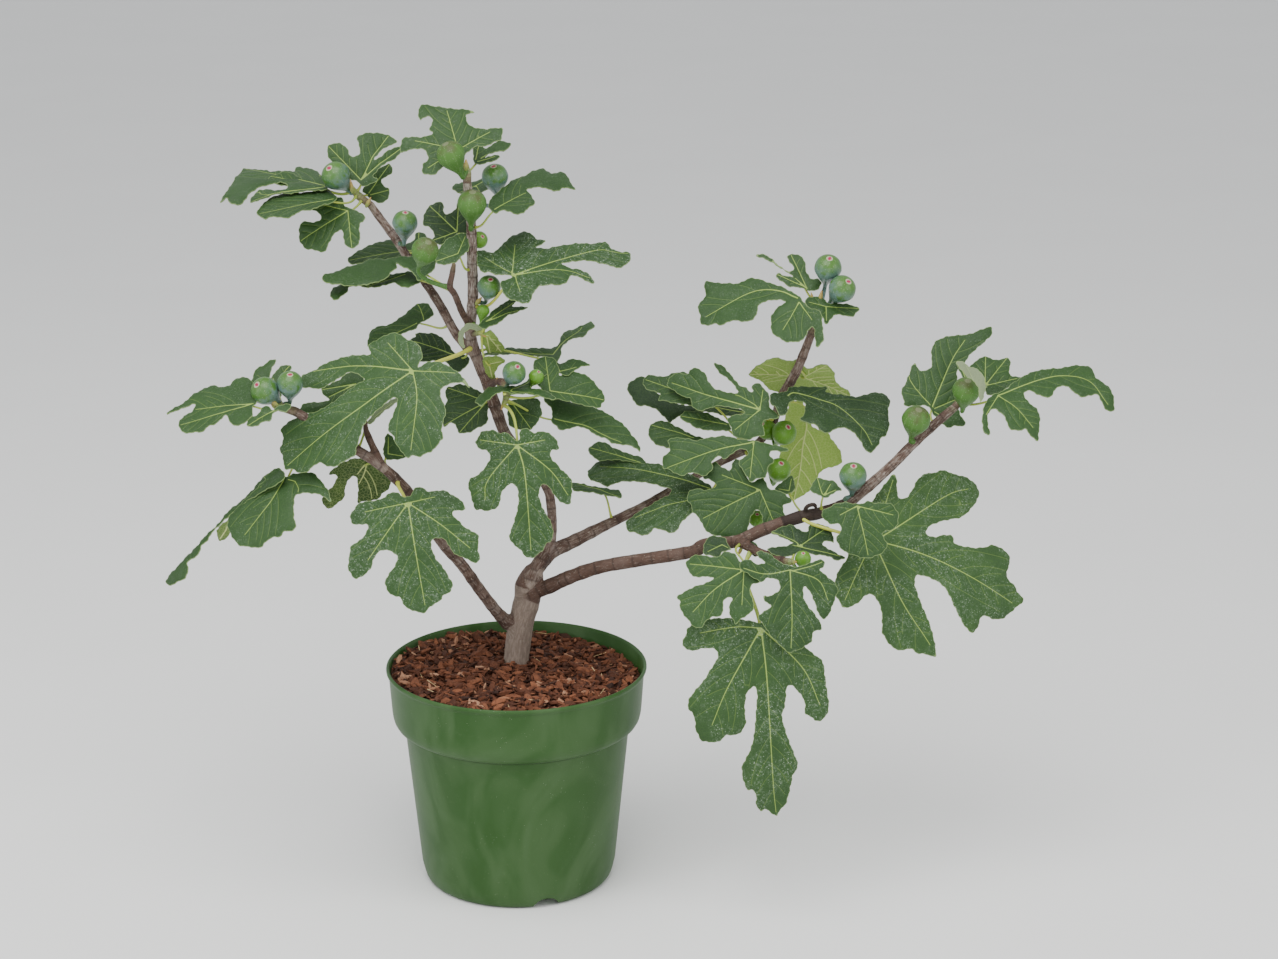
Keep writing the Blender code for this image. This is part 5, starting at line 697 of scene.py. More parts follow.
mulch = {
    "level": 0.2325, "mound": 0.0062, "floor": 0.0123, "rings": 60, "reach": 0.134, "segments": 128,
    "chips": 3600, "chipLength": (0.0045, 0.017), "chipWidth": (0.30, 0.75), "chipDepth": (0.16, 0.42),
    "straws": 16, "strawLength": (0.010, 0.024), "strawWidth": (0.0013, 0.0021), "strawDepth": 0.0010,
    "scatter": 0.1315, "bedGap": 0.0006, "chipGap": 0.0012, "trunkGap": 0.0135,
    "dark": (0.022, 0.009, 0.006), "brown": (0.125, 0.043, 0.021), "warm": (0.240, 0.088, 0.042),
    "pale": (0.42, 0.23, 0.14), "fleck": (0.33, 0.19, 0.12),
    "straw": (0.72, 0.56, 0.33), "strawDark": (0.36, 0.24, 0.10),
}


def profileTurned(name, profile, segments):  # a solid of revolution, spun about Z from an edge outline
    deselect()
    bpy.ops.mesh.primitive_plane_add(size=1)
    piece = bpy.context.object
    piece.name = name
    mesh = bmesh.new()
    corners = [mesh.verts.new((radius, 0, height)) for radius, height in profile]
    for first, second in zip(corners, corners[1:]):
        mesh.edges.new((first, second))
    mesh.to_mesh(piece.data)
    mesh.free()
    bpy.ops.object.mode_set(mode="EDIT")
    bpy.ops.mesh.select_all(action="SELECT")
    bpy.ops.mesh.spin(steps=segments, angle=2 * math.pi, center=(0, 0, 0), axis=(0, 0, 1))
    bpy.ops.mesh.select_all(action="SELECT")
    bpy.ops.mesh.remove_doubles(threshold=1e-5)
    bpy.ops.mesh.normals_make_consistent(inside=False)
    bpy.ops.object.mode_set(mode="OBJECT")
    return piece


def potGreen():
    paint = Paint("Pot green", 0.46, 0.17)
    cloud = paint.noise(11, 2, 0.45, paint.stretched((1, 1, 0.7)), 2.2)
    streak = paint.noise(40, 3, 0.5, paint.stretched((1, 1, 0.6)), 1.5)
    tone = paint.ramp(cloud, [(0.36, pot["deeper"]), (0.52, pot["green"]), (0.70, pot["paler"])])
    marbled = paint.mix(streak.above(0.55, 0.75) * 0.20, tone, pot["deeper"])
    specks = paint.cells(330).below(0.05, 0.09) * paint.noise(40, 2).above(0.52, 0.62)
    dust = paint.noise(230, 4, 0.7).above(0.56, 0.78) * 0.06
    # painted shade: a dark strip in the crease under the band, where the lip shades the body
    height = paint.make("ShaderNodeSeparateXYZ", {}, {"Vector": paint.place()}, "Z")
    low, high = pot["crease"]
    shaded = height.above(low, low + 0.0018) * height.below(high, high + 0.0006)
    dustyWithCreaseShade = paint.mix(shaded * 0.6, paint.mix(dust, marbled, pot["dust"]), pot["dark"])
    dotted = paint.mix(specks * 0.5, dustyWithCreaseShade, pot["speck"])
    grain = paint.noise(900, 3) * 0.3 + paint.noise(90, 3) * 0.7
    return paint.feed(colour=dotted, roughness=0.36 + cloud * 0.16,
                      normal=paint.bump(grain, 0.00035, 0.5))


def makePot():
    profile = [(0, 0)] + pot["outside"] + pot["inside"] + [(0, 0.0120)]
    body = profileTurned("pot_shell", profile, pot["segments"])
    for k in range(3):
        azimuth = math.radians(pot["notchAzimuth"] - 90 + 120 * k)
        way = Vector((math.cos(azimuth), math.sin(azimuth), 0))
        drop = Vector((0, 0, pot["notchDrop"]))
        deselect()
        bpy.ops.mesh.primitive_cylinder_add(vertices=48, radius=pot["notchRadius"], depth=pot["notchDepth"],
                                            location=way * pot["notchReach"] - drop,
                                            rotation=(math.pi / 2, 0, azimuth + math.pi / 2))
        cutter = bpy.context.object
        cut = body.modifiers.new("notch", "BOOLEAN")
        cut.object = cutter
        cut.operation = "DIFFERENCE"
        deselect()
        bpy.context.view_layer.objects.active = body
        bpy.ops.object.modifier_apply(modifier=cut.name)
        bpy.data.objects.remove(cutter)
    dress(body, [potGreen()], ["pot"], 42)


def mulchTop(x, y):  # height of the mulch, without its chips
    lumps = 0.0012 * np.sin(170 * x + 1) * np.cos(150 * y) + 0.0009 * np.sin(90 * y + 2 + 60 * x)
    return mulch["level"] - mulch["mound"] * (x / 0.13) - 0.3 * mulch["mound"] * (y / 0.13) + lumps


def barkBrown():
    paint = Paint("Bark mulch", 0.85, 0.25)
    tone = paint.read("tone")
    fibre = paint.noise(260, 5, 0.65, None, 0.6)
    grain = paint.noise(1100, 4, 0.7)
    base = paint.ramp(tone, [(0.0, mulch["dark"]), (0.45, mulch["brown"]), (0.78, mulch["warm"]),
                             (1.0, mulch["pale"])])
    rough = paint.mix(fibre.above(0.44, 0.70) * 0.50, base, mulch["dark"])
    flecked = paint.mix(grain.above(0.60, 0.74) * 0.30, rough, mulch["fleck"])
    straw = paint.mix(paint.read("straw"), flecked, paint.ramp(fibre, [(0.3, mulch["strawDark"]),
                                                                       (0.7, mulch["straw"])]))
    return paint.feed(colour=straw, roughness=0.75 + fibre * 0.2,
                      normal=paint.bump(fibre + grain, 0.0009, 0.8))


def chipShape(sides, rings):  # a splinter of bark along X, ends cut unevenly, unit size
    points = []
    for i in range(rings):
        along = i / (rings - 1) - 0.5
        swell = 1 - 0.55 * abs(2 * along) ** 2.5
        for k in range(sides):
            turn = 2 * math.pi * (k + luck.uniform(-0.2, 0.2)) / sides
            reach = 0.5 * swell * luck.uniform(0.75, 1.15)
            points.append((along + luck.uniform(-0.07, 0.07), math.cos(turn) * reach, math.sin(turn) * reach))
    ends = [tuple(range(sides))[::-1], tuple(range((rings - 1) * sides, rings * sides))]
    return np.array(points), ends + ringFaces(rings, sides)


def makeMulch():
    wall = [(radius - mulch["bedGap"], height) for radius, height in reversed(pot["inside"][2:])]
    wallRadii, wallHeights = zip(*wall)
    floor = mulch["floor"]
    points, faces = [(0, 0, floor)], []
    segments = mulch["segments"]
    rows = [(radius, height) for radius, height in wall if floor < height < 0.21]
    rows = [(0.05, floor), (0.1004, floor)] + rows
    turns = np.arange(segments) * 2 * math.pi / segments
    for radius, height in rows:
        points += [(radius * math.cos(t), radius * math.sin(t), height) for t in turns]
    for i in range(mulch["rings"]):
        share = 1 - i / mulch["rings"]
        for t in turns:
            x, y = mulch["reach"] * share * math.cos(t), mulch["reach"] * share * math.sin(t)
            top = float(mulchTop(x, y)) + luck.uniform(-0.0014, 0.0010) - 0.0015
            reach = np.interp(top, wallHeights, wallRadii)
            points.append((x / mulch["reach"] * reach, y / mulch["reach"] * reach, top))
    points.append((0, 0, float(mulchTop(0, 0))))
    rings = len(rows) + mulch["rings"]
    for k in range(segments):
        j = (k + 1) % segments
        faces.append((0, 1 + j, 1 + k))
        for i in range(rings - 1):
            low, high = 1 + i * segments, 1 + (i + 1) * segments
            faces.append((low + k, low + j, high + j, high + k))
        faces.append((1 + (rings - 1) * segments + k, 1 + (rings - 1) * segments + j, len(points) - 1))
    bed = addMesh("mulch_bed", points, faces)
    note(bed, "tone", luck.uniform(0.0, 0.5, len(points)))
    note(bed, "straw", np.zeros(len(points)))
    brown = barkBrown()
    dress(bed, [brown], ["soil"], 60)
    kinds = [chipShape(5, 3) for _ in range(10)] + [chipShape(4, 3) for _ in range(4)]
    trunk = spot(516, 662, 0)[:2]
    corners, polygons, tones, straws, count = [], [], [], [], 0
    for number in range(mulch["chips"] + mulch["straws"]):
        straw = number >= mulch["chips"]
        angle = luck.uniform(0, 2 * math.pi)
        reach = mulch["scatter"] * math.sqrt(luck.uniform(0, 1))
        x, y = reach * math.cos(angle), reach * math.sin(angle)
        if straw:
            size = (luck.uniform(*mulch["strawLength"]), luck.uniform(*mulch["strawWidth"]),
                    mulch["strawDepth"])
        else:
            short, long = mulch["chipLength"]
            length = short + (long - short) * luck.uniform(0, 1) ** 2.1
            size = (length, length * luck.uniform(*mulch["chipWidth"]),
                    length * luck.uniform(*mulch["chipDepth"]))
        spin = luck.uniform(0, 2 * math.pi)
        tilt, roll = luck.normal(0, 0.06 if straw else 0.34), luck.normal(0, 0.5)
        shape, shapeFaces = chipShape(4, 2) if straw else kinds[luck.integers(len(kinds))]
        turn = turned(spin, 0, 1) @ turned(tilt, 2, 0) @ turned(roll, 1, 2)
        places = (shape * size) @ turn.T + (x, y, 0)
        lift = 0.0042 if straw else 0.0004 + 0.5 * size[2] * luck.uniform(0.2, 1.1)
        places[:, 2] += float(mulchTop(x, y)) + lift
        limit = np.interp(places[:, 2], wallHeights, wallRadii) - mulch["chipGap"]
        over = np.maximum(np.hypot(places[:, 0], places[:, 1]) / limit, 1)
        places[:, :2] /= over[:, None]
        fromTrunk = places[:, :2] - trunk
        close = np.maximum(mulch["trunkGap"] / np.maximum(np.hypot(*fromTrunk.T), 1e-4), 1)
        places[:, :2] = fromTrunk * close[:, None] + trunk
        polygons += counted(shapeFaces, count)
        corners.append(places)
        count += len(places)
        shade = luck.beta(1.7, 2.1) * 0.85
        if luck.uniform() < 0.05:  # a few chips are pale
            shade = 0.85 + 0.15 * luck.uniform()
        tones.append(np.full(len(places), shade))
        straws.append(np.full(len(places), 1.0 if straw else 0.0))
    chips = addMesh("bark_chips", np.vstack(corners), polygons)
    note(chips, "tone", np.concatenate(tones))
    note(chips, "straw", np.concatenate(straws))
    dress(chips, [brown], ["soil"], 35)


wood = {
    "trunkRings": (636, 606, 586),  # heights in the photograph of the rings round the trunk
    "voxel": 0.0011, "sides": 20, "step": 0.0016,
    "scarStart": 0.006, "scarGap": (0.009, 0.024), "scarWidth": 0.0009,
    "brown": (0.080, 0.044, 0.031), "pale": (0.310, 0.250, 0.215), "deep": (0.026, 0.015, 0.011),
    "grey": (0.110, 0.074, 0.060), "green": (0.150, 0.205, 0.060), "bud": (0.42, 0.22, 0.07),
    "dry": (0.010, 0.006, 0.005), "bleached": (0.48, 0.43, 0.38), "lenticel": (0.50, 0.44, 0.36),
    "trunkDark": (0.215, 0.170, 0.137), "trunkPale": (0.31, 0.25, 0.205), "greenPale": (0.24, 0.24, 0.10),
    "shootFoot": (0.17, 0.16, 0.070), "shootTip": (0.20, 0.25, 0.055), "shootFleck": (0.46, 0.44, 0.28),
    "shootScar": (0.12, 0.085, 0.05),
    "bare": ("trunk", "dry_curl", "upright_spur", "low_right_spur", "low_left_spur"),  # without a green tip
    "youngLength": 0.010, "oldLength": 0.006,  # green at a branch's end, brown-grey at its foot
    "dryStretch": (783, 822),  # the dark stretch of low_right, in the photograph
    # How pale a branch is; the others get paler to the right, and the upright ones fade below a height
    "weathered": {"upright": 1.0, "upright_left": 0.55, "middle_right": 0.35, "low_left": 0.3},
    "palerFrom": 790, "palerOver": 110, "palest": 0.6,
    "fadeFrom": 370, "fadeOver": 60, "fadeLeast": 0.3,
}


def branchLine(name):  # centre line with the radius in the fourth column, metres
    return np.array([[*spot(x, y, depth), radius / 1000] for x, y, depth, radius in branches[name]])


def shootLine(name):
    branch, side, points = shoots[name]
    own = np.array([[*spot(x, y, depth), radius / 1000] for x, y, depth, radius in points])
    if side is None:
        line = branchLine(branch)
        foot = line[-1].copy()
        foot[:3] -= unit(line[-1, :3] - line[-2, :3]) * foot[3] * 0.4
        foot[3] *= 0.95
        return np.vstack([foot, own])
    centre, radius, along = twigPlace(branch, side)
    away = own[0, :3] - centre
    away = unit(away - along * (away @ along))
    return np.vstack([[*(centre + away * radius * 0.8), own[0, 3] * 0.95], own])


twigLines = {}


def twigPlace(name, point):  # centre, radius and direction where a twig passes a photograph point
    if name not in twigLines:
        line = smoothLine(shootLine(name) if name in shoots else branchLine(name), 12)
        twigLines[name] = line, seen(line[:, :3])
    line, pictured = twigLines[name]
    at = int(np.argmin(np.linalg.norm(pictured - point, axis=1)))
    low, high = max(at - 1, 0), min(at + 1, len(line) - 1)
    return line[at, :3], line[at, 3], unit(line[high, :3] - line[low, :3])


def tube(line, sides, rounded=True):  # closed tube along rows of (x, y, z, radius)
    line = np.asarray(line, float)
    if rounded:
        tips = []
        for end, inner, share in ((0, 1, 0.55), (-1, -2, 0.55)):
            cap = line[end].copy()
            cap[:3] += unit(line[end, :3] - line[inner, :3]) * cap[3] * share
            cap[3] *= 0.45
            tips.append(cap)
        line = np.vstack([tips[0], line, tips[1]])
    count = len(line)
    ways = np.array([unit(line[min(i + 1, count - 1), :3] - line[max(i - 1, 0), :3]) for i in range(count)])
    side = np.cross(ways[0], rightWay if abs(ways[0][0]) < 0.8 else upWay)
    turns = np.arange(sides) * 2 * math.pi / sides
    rings = []
    for place, way in zip(line, ways):
        side = unit(side - way * (side @ way))
        other = np.cross(way, side)
        rings.append(place[:3] + place[3] * (np.outer(np.cos(turns), side) + np.outer(np.sin(turns), other)))
    first, last = tuple(reversed(range(sides))), tuple(range((count - 1) * sides, count * sides))
    return np.vstack(rings), [first] + ringFaces(count, sides) + [last]


def woodBrown():
    paint = Paint("Fig bark", 0.75, 0.3)
    grain = paint.make("ShaderNodeAttribute", {"attribute_name": "grain"}, {}, "Vector")
    cloud = paint.noise(38, 4, 0.6)
    streak = paint.noise(1.0, 4, 0.65, paint.stretched((120, 620, 620), grain), 0.4)
    flecks = paint.noise(1.0, 2, 0.5, paint.stretched((330, 900, 900), grain))
    fine = paint.noise(900, 4, 0.7)
    scar = paint.read("scar")
    base = paint.ramp(cloud, [(0.25, wood["deep"]), (0.48, wood["brown"]), (0.80, wood["grey"])])
    streaked = paint.mix(streak.above(0.52, 0.72) * 0.26, base, wood["pale"])
    darker = paint.mix(streak.below(0.34, 0.46) * 0.35, streaked, wood["deep"])
    weathered = paint.read("weathered")
    pale = (cloud * 0.5 + streak * 0.7).above(0.50, 0.80)
    bleached = paint.mix(weathered * pale * 0.75, darker, wood["bleached"])
    lenticels = paint.mix(flecks.above(0.65, 0.71) * (weathered * 0.4 + 0.30), bleached, wood["lenticel"])
    ringed = paint.mix(scar * 0.75, lenticels, wood["deep"])
    trunkTone = paint.mix(paint.read("old") * 0.65, ringed,
                          paint.mix(streak.above(0.40, 0.62), wood["trunkDark"], wood["trunkPale"]))
    young = paint.mix(paint.read("young"), trunkTone, paint.ramp(streak, [(0.35, wood["green"]),
                                                                          (0.68, wood["greenPale"])]))
    rough = paint.mix(paint.read("rough") * 0.85, young, paint.mix(fine, wood["dry"], wood["deep"]))
    height = streak * 0.5 + fine * 0.35 + flecks.above(0.60, 0.70) * 0.5 - scar * 0.7
    return paint.feed(colour=rough, roughness=0.62 + streak * 0.25, normal=paint.bump(height, 0.0009, 0.8))


def makeWood():
    count, lines = 0, []
    points, faces = [], []
    for name in branches:
        line = spaced(smoothLine(branchLine(name), 10), wood["step"])
        length = np.arange(len(line)) * wood["step"]
        scars = [wood["scarStart"]]
        while scars[-1] < length[-1]:
            scars.append(scars[-1] + luck.uniform(*wood["scarGap"]))
        if name == "trunk":
            pictured = seen(line[:, :3])[:, 1]
            scars = [length[int(np.argmin(np.abs(pictured - y)))] for y in wood["trunkRings"]]
        swell = np.zeros(len(line))
        for place in scars:
            swell += 0.05 * np.exp(-((length - place) / 0.0028) ** 2)
        swell += 0.035 * np.sin(length * 210 + luck.uniform(0, 6)) * np.sin(length * 77 + luck.uniform(0, 6))
        if name == "trunk":
            swell *= 0.5
        line[:, 3] *= 1 + swell
        shape, shapeFaces = tube(line, wood["sides"])
        points.append(shape)
        faces += counted(shapeFaces, count)
        count += len(shape)
        lines.append((name, line, length, np.array(scars)))
    piece = addMesh("grown_wood", np.vstack(points), faces)
    deselect()
    bpy.context.view_layer.objects.active = piece
    piece.select_set(True)
    blend = piece.modifiers.new("grow together", "REMESH")
    blend.mode = "VOXEL"
    blend.voxel_size = wood["voxel"]
    bpy.ops.object.modifier_apply(modifier=blend.name)
    soft = piece.modifiers.new("soften", "SMOOTH")
    soft.factor = 0.5
    soft.iterations = 4
    bpy.ops.object.modifier_apply(modifier=soft.name)
    places = np.empty(len(piece.data.vertices) * 3)
    piece.data.vertices.foreach_get("co", places)
    places = places.reshape(-1, 3)
    finder = KDTree(sum(len(line) for _, line, _, _ in lines))
    owners = []
    for number, (name, line, _, _) in enumerate(lines):
        for row, place in enumerate(line):
            finder.insert(place[:3], len(owners))
            owners.append((number, row))
    finder.balance()
    grain = np.zeros((len(places), 3))
    scar, old, young, rough, weathered = [], [], [], [], []
    for i, place in enumerate(places):
        number, row = owners[finder.find(place)[1]]
        name, line, length, scars = lines[number]
        along = unit(line[min(row + 1, len(line) - 1), :3] - line[max(row - 1, 0), :3])
        offset = place - line[row, :3]
        run = length[row] + offset @ along
        gap = np.min(np.abs(scars - run))
        grain[i] = (run + number, *(offset - along * (offset @ along))[[0, 2]])
        scar.append(math.exp(-(gap / wood["scarWidth"]) ** 2) * (0.6 if name == "trunk" else 0.8))
        tip = length[-1] - length[row]
        young.append(0.0 if name in wood["bare"]
                     else float(np.clip(1 - tip / wood["youngLength"], 0, 1)) * 0.2)
        side, height = seen(line[row, :3])
        old.append(float(height > wood["trunkRings"][-1]) if name == "trunk"
                   else float(np.clip(1 - length[row] / wood["oldLength"], 0, 1)))
        paler = np.clip((side - wood["palerFrom"]) / wood["palerOver"], 0, wood["palest"])
        pale = wood["weathered"].get(name, paler)
        if name.startswith("upright"):
            pale = pale * np.clip((wood["fadeFrom"] - height) / wood["fadeOver"], wood["fadeLeast"], 1)
        weathered.append(float(pale))
        low, high = wood["dryStretch"]
        rough.append(float(name == "dry_curl" or name == "low_right" and low < side < high))
    attribute = piece.data.attributes.new("grain", "FLOAT_VECTOR", "POINT")
    attribute.data.foreach_set("vector", grain.ravel())
    for title, values in (("scar", scar), ("old", old), ("young", young), ("rough", rough),
                          ("weathered", weathered)):
        note(piece, title, values)
    dress(piece, [woodBrown()], ["tree_wood"], 80)
    print("wood", len(piece.data.polygons))


# Leaf looks: top colours from a dark green (the painted shade of shaded leaves) to a light one, veins,
# underside, stalks
leafLook = {
    "thickness": 0.0008, "wave": 0.0022, "puff": 0.0007, "pointsEach": 1500, "rimStep": 1.6,
    "dark": (0.009, 0.027, 0.007), "green": (0.023, 0.062, 0.014), "light": (0.062, 0.135, 0.022),
    "vein": (0.290, 0.400, 0.085), "fleck": (0.420, 0.500, 0.400), "rim": (0.240, 0.330, 0.120),
    "under": (0.215, 0.330, 0.065), "underDark": (0.032, 0.066, 0.014), "underVein": (0.480, 0.540, 0.210),
    "glow": 0.20, "dull": (0.230, 0.280, 0.160),
    "stalk": (0.440, 0.470, 0.065), "stalkGreen": (0.190, 0.310, 0.050), "stalkFleck": (0.55, 0.55, 0.30),
}
# Main veins that the photograph shows, each as points from the leaf's heart outwards; other leaves get theirs
# from the tips of their lobes
mainVeins = {
    "leaf_08": [(447, 111), (490, 132), (415, 141), (428, 168)],
    "leaf_14": [(515, 245), (600, 250, 628, 254), (560, 270, 590, 278), (485, 258), (520, 292)],
    "leaf_17": [(285, 468), (356, 366, 310, 372), (388, 343), (417, 400, 411, 450), (455, 373)],
    "leaf_22": [(272, 500, 262, 513, 245, 535), (310, 487, 330, 500), (250, 492)],
    "leaf_25": [(365, 512), (368, 560), (417, 560, 425, 605), (440, 524, 470, 548), (435, 497)],
    "leaf_26": [(480, 440), (488, 480, 485, 500), (525, 475, 531, 550), (550, 470, 568, 495), (545, 440)],
    "leaf_39": [(680, 479, 640, 470, 600, 467), (690, 500, 665, 506, 635, 518)],
    "leaf_40": [(780, 291, 750, 293, 706, 317), (783, 330), (812, 320)],
    "leaf_44": [(795, 393, 820, 400, 840, 408, 862, 428, 872, 445)],
    "leaf_45": [(807, 423, 803, 445, 800, 470, 794, 499)],
    "leaf_46": [(710, 396, 672, 383), (716, 366), (763, 390), (735, 430)],
    "leaf_50": [(710, 452, 664, 469), (750, 478)],
    "leaf_52": [(733, 503, 700, 520), (775, 525), (722, 475)],
    "leaf_54": [(864, 535, 868, 555), (840, 515), (893, 515)],
    "leaf_55": [(888, 533, 946, 496, 968, 489), (925, 555, 960, 571, 1012, 603), (900, 598, 930, 645),
                (857, 573, 845, 600), (893, 480)],
    "leaf_56": [(735, 627, 700, 633), (728, 687, 712, 725), (767, 680, 773, 780, 776, 812),
                (802, 667, 820, 705)],
    "leaf_57": [(690, 564), (714, 590, 693, 612), (742, 605)],
    "leaf_58": [(765, 574, 740, 567), (792, 615, 791, 648), (818, 580, 828, 600), (822, 562)],
    "leaf_62": [(951, 362, 965, 340), (910, 380, 912, 370), (955, 400), (945, 418)],
    "leaf_63": [(1040, 380, 1065, 376, 1090, 382, 1108, 405), (1016, 408, 1033, 428), (986, 415)],
}
# Tone of each leaf's green (0 dark, 1 light), and how speckled it is, where it isn't the usual one; the tones
# paint light and shade as well as each leaf's own green: darker for leaves in shade, lighter for the
# undersides that face the viewer, which also glow
leafTonesAndPaintedLight = {"leaf_12": 0.05, "leaf_16": 0.1, "leaf_27": 0.15, "leaf_44": 0.2, "leaf_47": 0.05,
             "leaf_59": 0.1, "leaf_60": 0.12, "leaf_06": 0.3, "leaf_18": 0.3, "leaf_17": 0.55,
             "leaf_25": 0.5, "leaf_26": 0.5, "leaf_55": 0.55, "leaf_56": 0.5, "leaf_23": 0.25,
             "leaf_43": 0.9, "leaf_45": 1.1, "leaf_33": 0.8, "leaf_36": 0.8, "leaf_14": 0.4}
leafFlecks = {"leaf_14": 1.0, "leaf_17": 0.6, "leaf_25": 0.9, "leaf_26": 0.8, "leaf_39": 0.9, "leaf_55": 0.8,
              "leaf_56": 1.0, "leaf_58": 0.6, "leaf_44": 0.4}
leafDry = {"ring_35": 0.8, "dry_65": 0.9, "strip_24": 0.6}
yellowStalks = ("leaf_17", "leaf_55", "leaf_14", "leaf_25", "leaf_39", "leaf_46")


def bladeFrame(face):  # across, along and normal of a blade that faces (degrees right, degrees up)
    azimuth, rise = (math.radians(value) for value in face)
    level = math.cos(rise)
    normal = np.array([math.sin(azimuth) * level, -math.cos(azimuth) * level, math.sin(rise)])
    across = unit(np.cross((0.0, 0.0, 1.0), normal))
    return across, np.cross(normal, across), normal


def bladeHeight(item, a, b):  # how far a blade stands off its flat plane
    wave = leafLook["wave"] * min(item["sag"] / 0.010, 1)
    square = (a * a + b * b) / 0.01
    wave = wave * np.minimum(square * 3, 1)
    return -item["sag"] * square + wave * np.sin(41 * a + 1.3) * np.cos(37 * b + 0.4)


def heartPlace(item):
    if isinstance(item["depth"], str):
        carrier = leaves[item["depth"]]
        a, b = cast(carrier, np.array([item["heart"]], float))
        return bladePoints(carrier, a, b)[0]
    return spot(*item["heart"], item["depth"])


def bladePoints(item, a, b, shift=0.0):
    across, along, normal = bladeFrame(item["face"])
    height = bladeHeight(item, a, b) + shift
    return heartPlace(item) + np.outer(a, across) + np.outer(b, along) + np.outer(height, normal)


def cast(item, points):  # photograph points cast on a blade's curved surface
    across, along, normal = bladeFrame(item["face"])
    heart = heartPlace(item)
    rays = sight(points)
    height = np.zeros(len(rays))
    for _ in range(30):
        place = eyePlace + rays * (((heart - eyePlace) @ normal + height) / (rays @ normal))[:, None]
        a, b = (place - heart) @ across, (place - heart) @ along
        height += 0.6 * (bladeHeight(item, a, b) - height)
    return a, b


def softEdge(edge):  # the outline as a smooth closed curve with shallow teeth
    padded = np.vstack([edge[-1:], edge, edge[:2]])
    rows = []
    for i in range(len(edge)):
        rows += [curvePoint(*padded[i:i + 4], t) for t in (0, 0.25, 0.5, 0.75)]
    rows.append(rows[0])
    rim = spaced(np.array(rows), leafLook["rimStep"])[:-1]
    way = np.roll(rim, -1, axis=0) - np.roll(rim, 1, axis=0)
    out = np.stack([way[:, 1], -way[:, 0]], axis=1) / np.maximum(np.linalg.norm(way, axis=1), 1e-6)[:, None]
    phase = np.arange(len(rim))
    teeth = 0.35 * np.sin(phase * 0.9 + luck.uniform(0, 6)) + 0.25 * np.sin(phase * 1.7 + luck.uniform(0, 6))
    return rim + out * teeth[:, None]


def within(points, rim):  # which points lie inside a closed outline
    x, y = points[:, 0][:, None], points[:, 1][:, None]
    p, q = rim, np.roll(rim, -1, axis=0)
    rise = (q[:, 1] - p[:, 1])
    rise = np.where(rise == 0, 1e-12, rise)
    crossing = ((p[:, 1] > y) != (q[:, 1] > y)) & (x < p[:, 0] + (y - p[:, 1]) * (q[:, 0] - p[:, 0]) / rise)
    return crossing.sum(axis=1) % 2 == 1


def gapsTo(points, line, closed=False):  # distance of each point to a line, and the nearest share along it
    p = line if closed else line[:-1]
    q = np.roll(line, -1, axis=0) if closed else line[1:]
    way = q - p
    share = ((points[:, None] - p) * way).sum(axis=2) / np.maximum((way ** 2).sum(axis=1), 1e-12)
    share = np.clip(share, 0, 1)
    gap = np.linalg.norm(points[:, None] - (p + share[..., None] * way), axis=2)
    best = gap.argmin(axis=1)
    rows = np.arange(len(points))
    return gap[rows, best], (best + share[rows, best]) / len(p)


def lobeTips(rim, heart):  # outline points that reach furthest from the heart
    reach = np.linalg.norm(rim - heart, axis=1)
    window = max(len(rim) // 14, 3)
    tips = []
    for i in range(len(rim)):
        near = reach[np.arange(i - window, i + window + 1) % len(rim)]
        if reach[i] >= near.max() and reach[i] > 0.45 * reach.max():
            tips.append(rim[i])
    return tips


def veinLines(name, item, rim, heart):  # main veins and side veins in the blade's own plane
    mains = []
    if name in mainVeins:
        for points in mainVeins[name]:
            a, b = cast(item, np.array([*item["heart"], *points], float).reshape(-1, 2))
            mains.append(np.stack([a, b], axis=1))
    else:
        mains = [np.array([heart, heart + (tip - heart) * 0.97]) for tip in lobeTips(rim, heart)]
    finished = []
    middle = rim.mean(axis=0)
    for line in mains:
        curve = spaced(smoothLine(line, 6), 0.004) if len(line) > 2 else spaced(line, 0.004)
        for _ in range(12):
            outside = ~(within(curve, rim) & (gapsTo(curve, rim, True)[0] > 0.0025))
            outside[0] = outside[-3:] = False
            pull = outside.astype(float)
            for _ in range(4):
                pull[1:-1] = np.maximum(pull[1:-1], 0.7 * np.maximum(pull[:-2], pull[2:]))
            curve += (middle - curve) * 0.06 * pull[:, None]
        keep = within(curve, rim) & (gapsTo(curve, rim, True)[0] > 0.0007)
        first = int(np.argmax(keep))
        stop = len(curve) if keep[first:].all() else first + int(np.argmin(keep[first:]))
        if stop - first > 2:
            finished.append(curve[first:stop])
    sides, sideCloud = [], []
    for number, line in enumerate(finished):
        total = np.linalg.norm(np.diff(line, axis=0), axis=1).sum()
        gap = np.clip(total * 0.17, 0.011, 0.020)
        along = spaced(line, gap)
        others = [spaced(other, 0.0015) for k, other in enumerate(finished) if k != number]
        others = np.vstack(others) if others else np.array([[9.0, 9.0]])
        for i in range(1, len(along) - 1):
            way = unit(along[i + 1] - along[i - 1])
            for hand in (-1, 1):
                turn = math.radians(50 + luck.uniform(-6, 6)) * hand
                ray = np.array([way[0] * math.cos(turn) - way[1] * math.sin(turn),
                                way[0] * math.sin(turn) + way[1] * math.cos(turn)])
                path = [along[i] + way * (0.25 * gap * hand)]
                for _ in range(40):
                    ray = unit(ray + way * 0.07)
                    following = path[-1] + ray * 0.0028
                    if not within(following[None], rim)[0] or nearest(following, rim) < 0.0018 \
                            or nearest(following, others) < 0.006 \
                            or sideCloud and nearest(following, np.array(sideCloud)) < 0.0052:
                        break
                    path.append(following)
                if len(path) > 2:
                    sides.append(np.array(path))
                    sideCloud += path
    return finished, sides


def nearest(point, cloud):
    return np.sqrt(((cloud - point) ** 2).sum(axis=1).min())


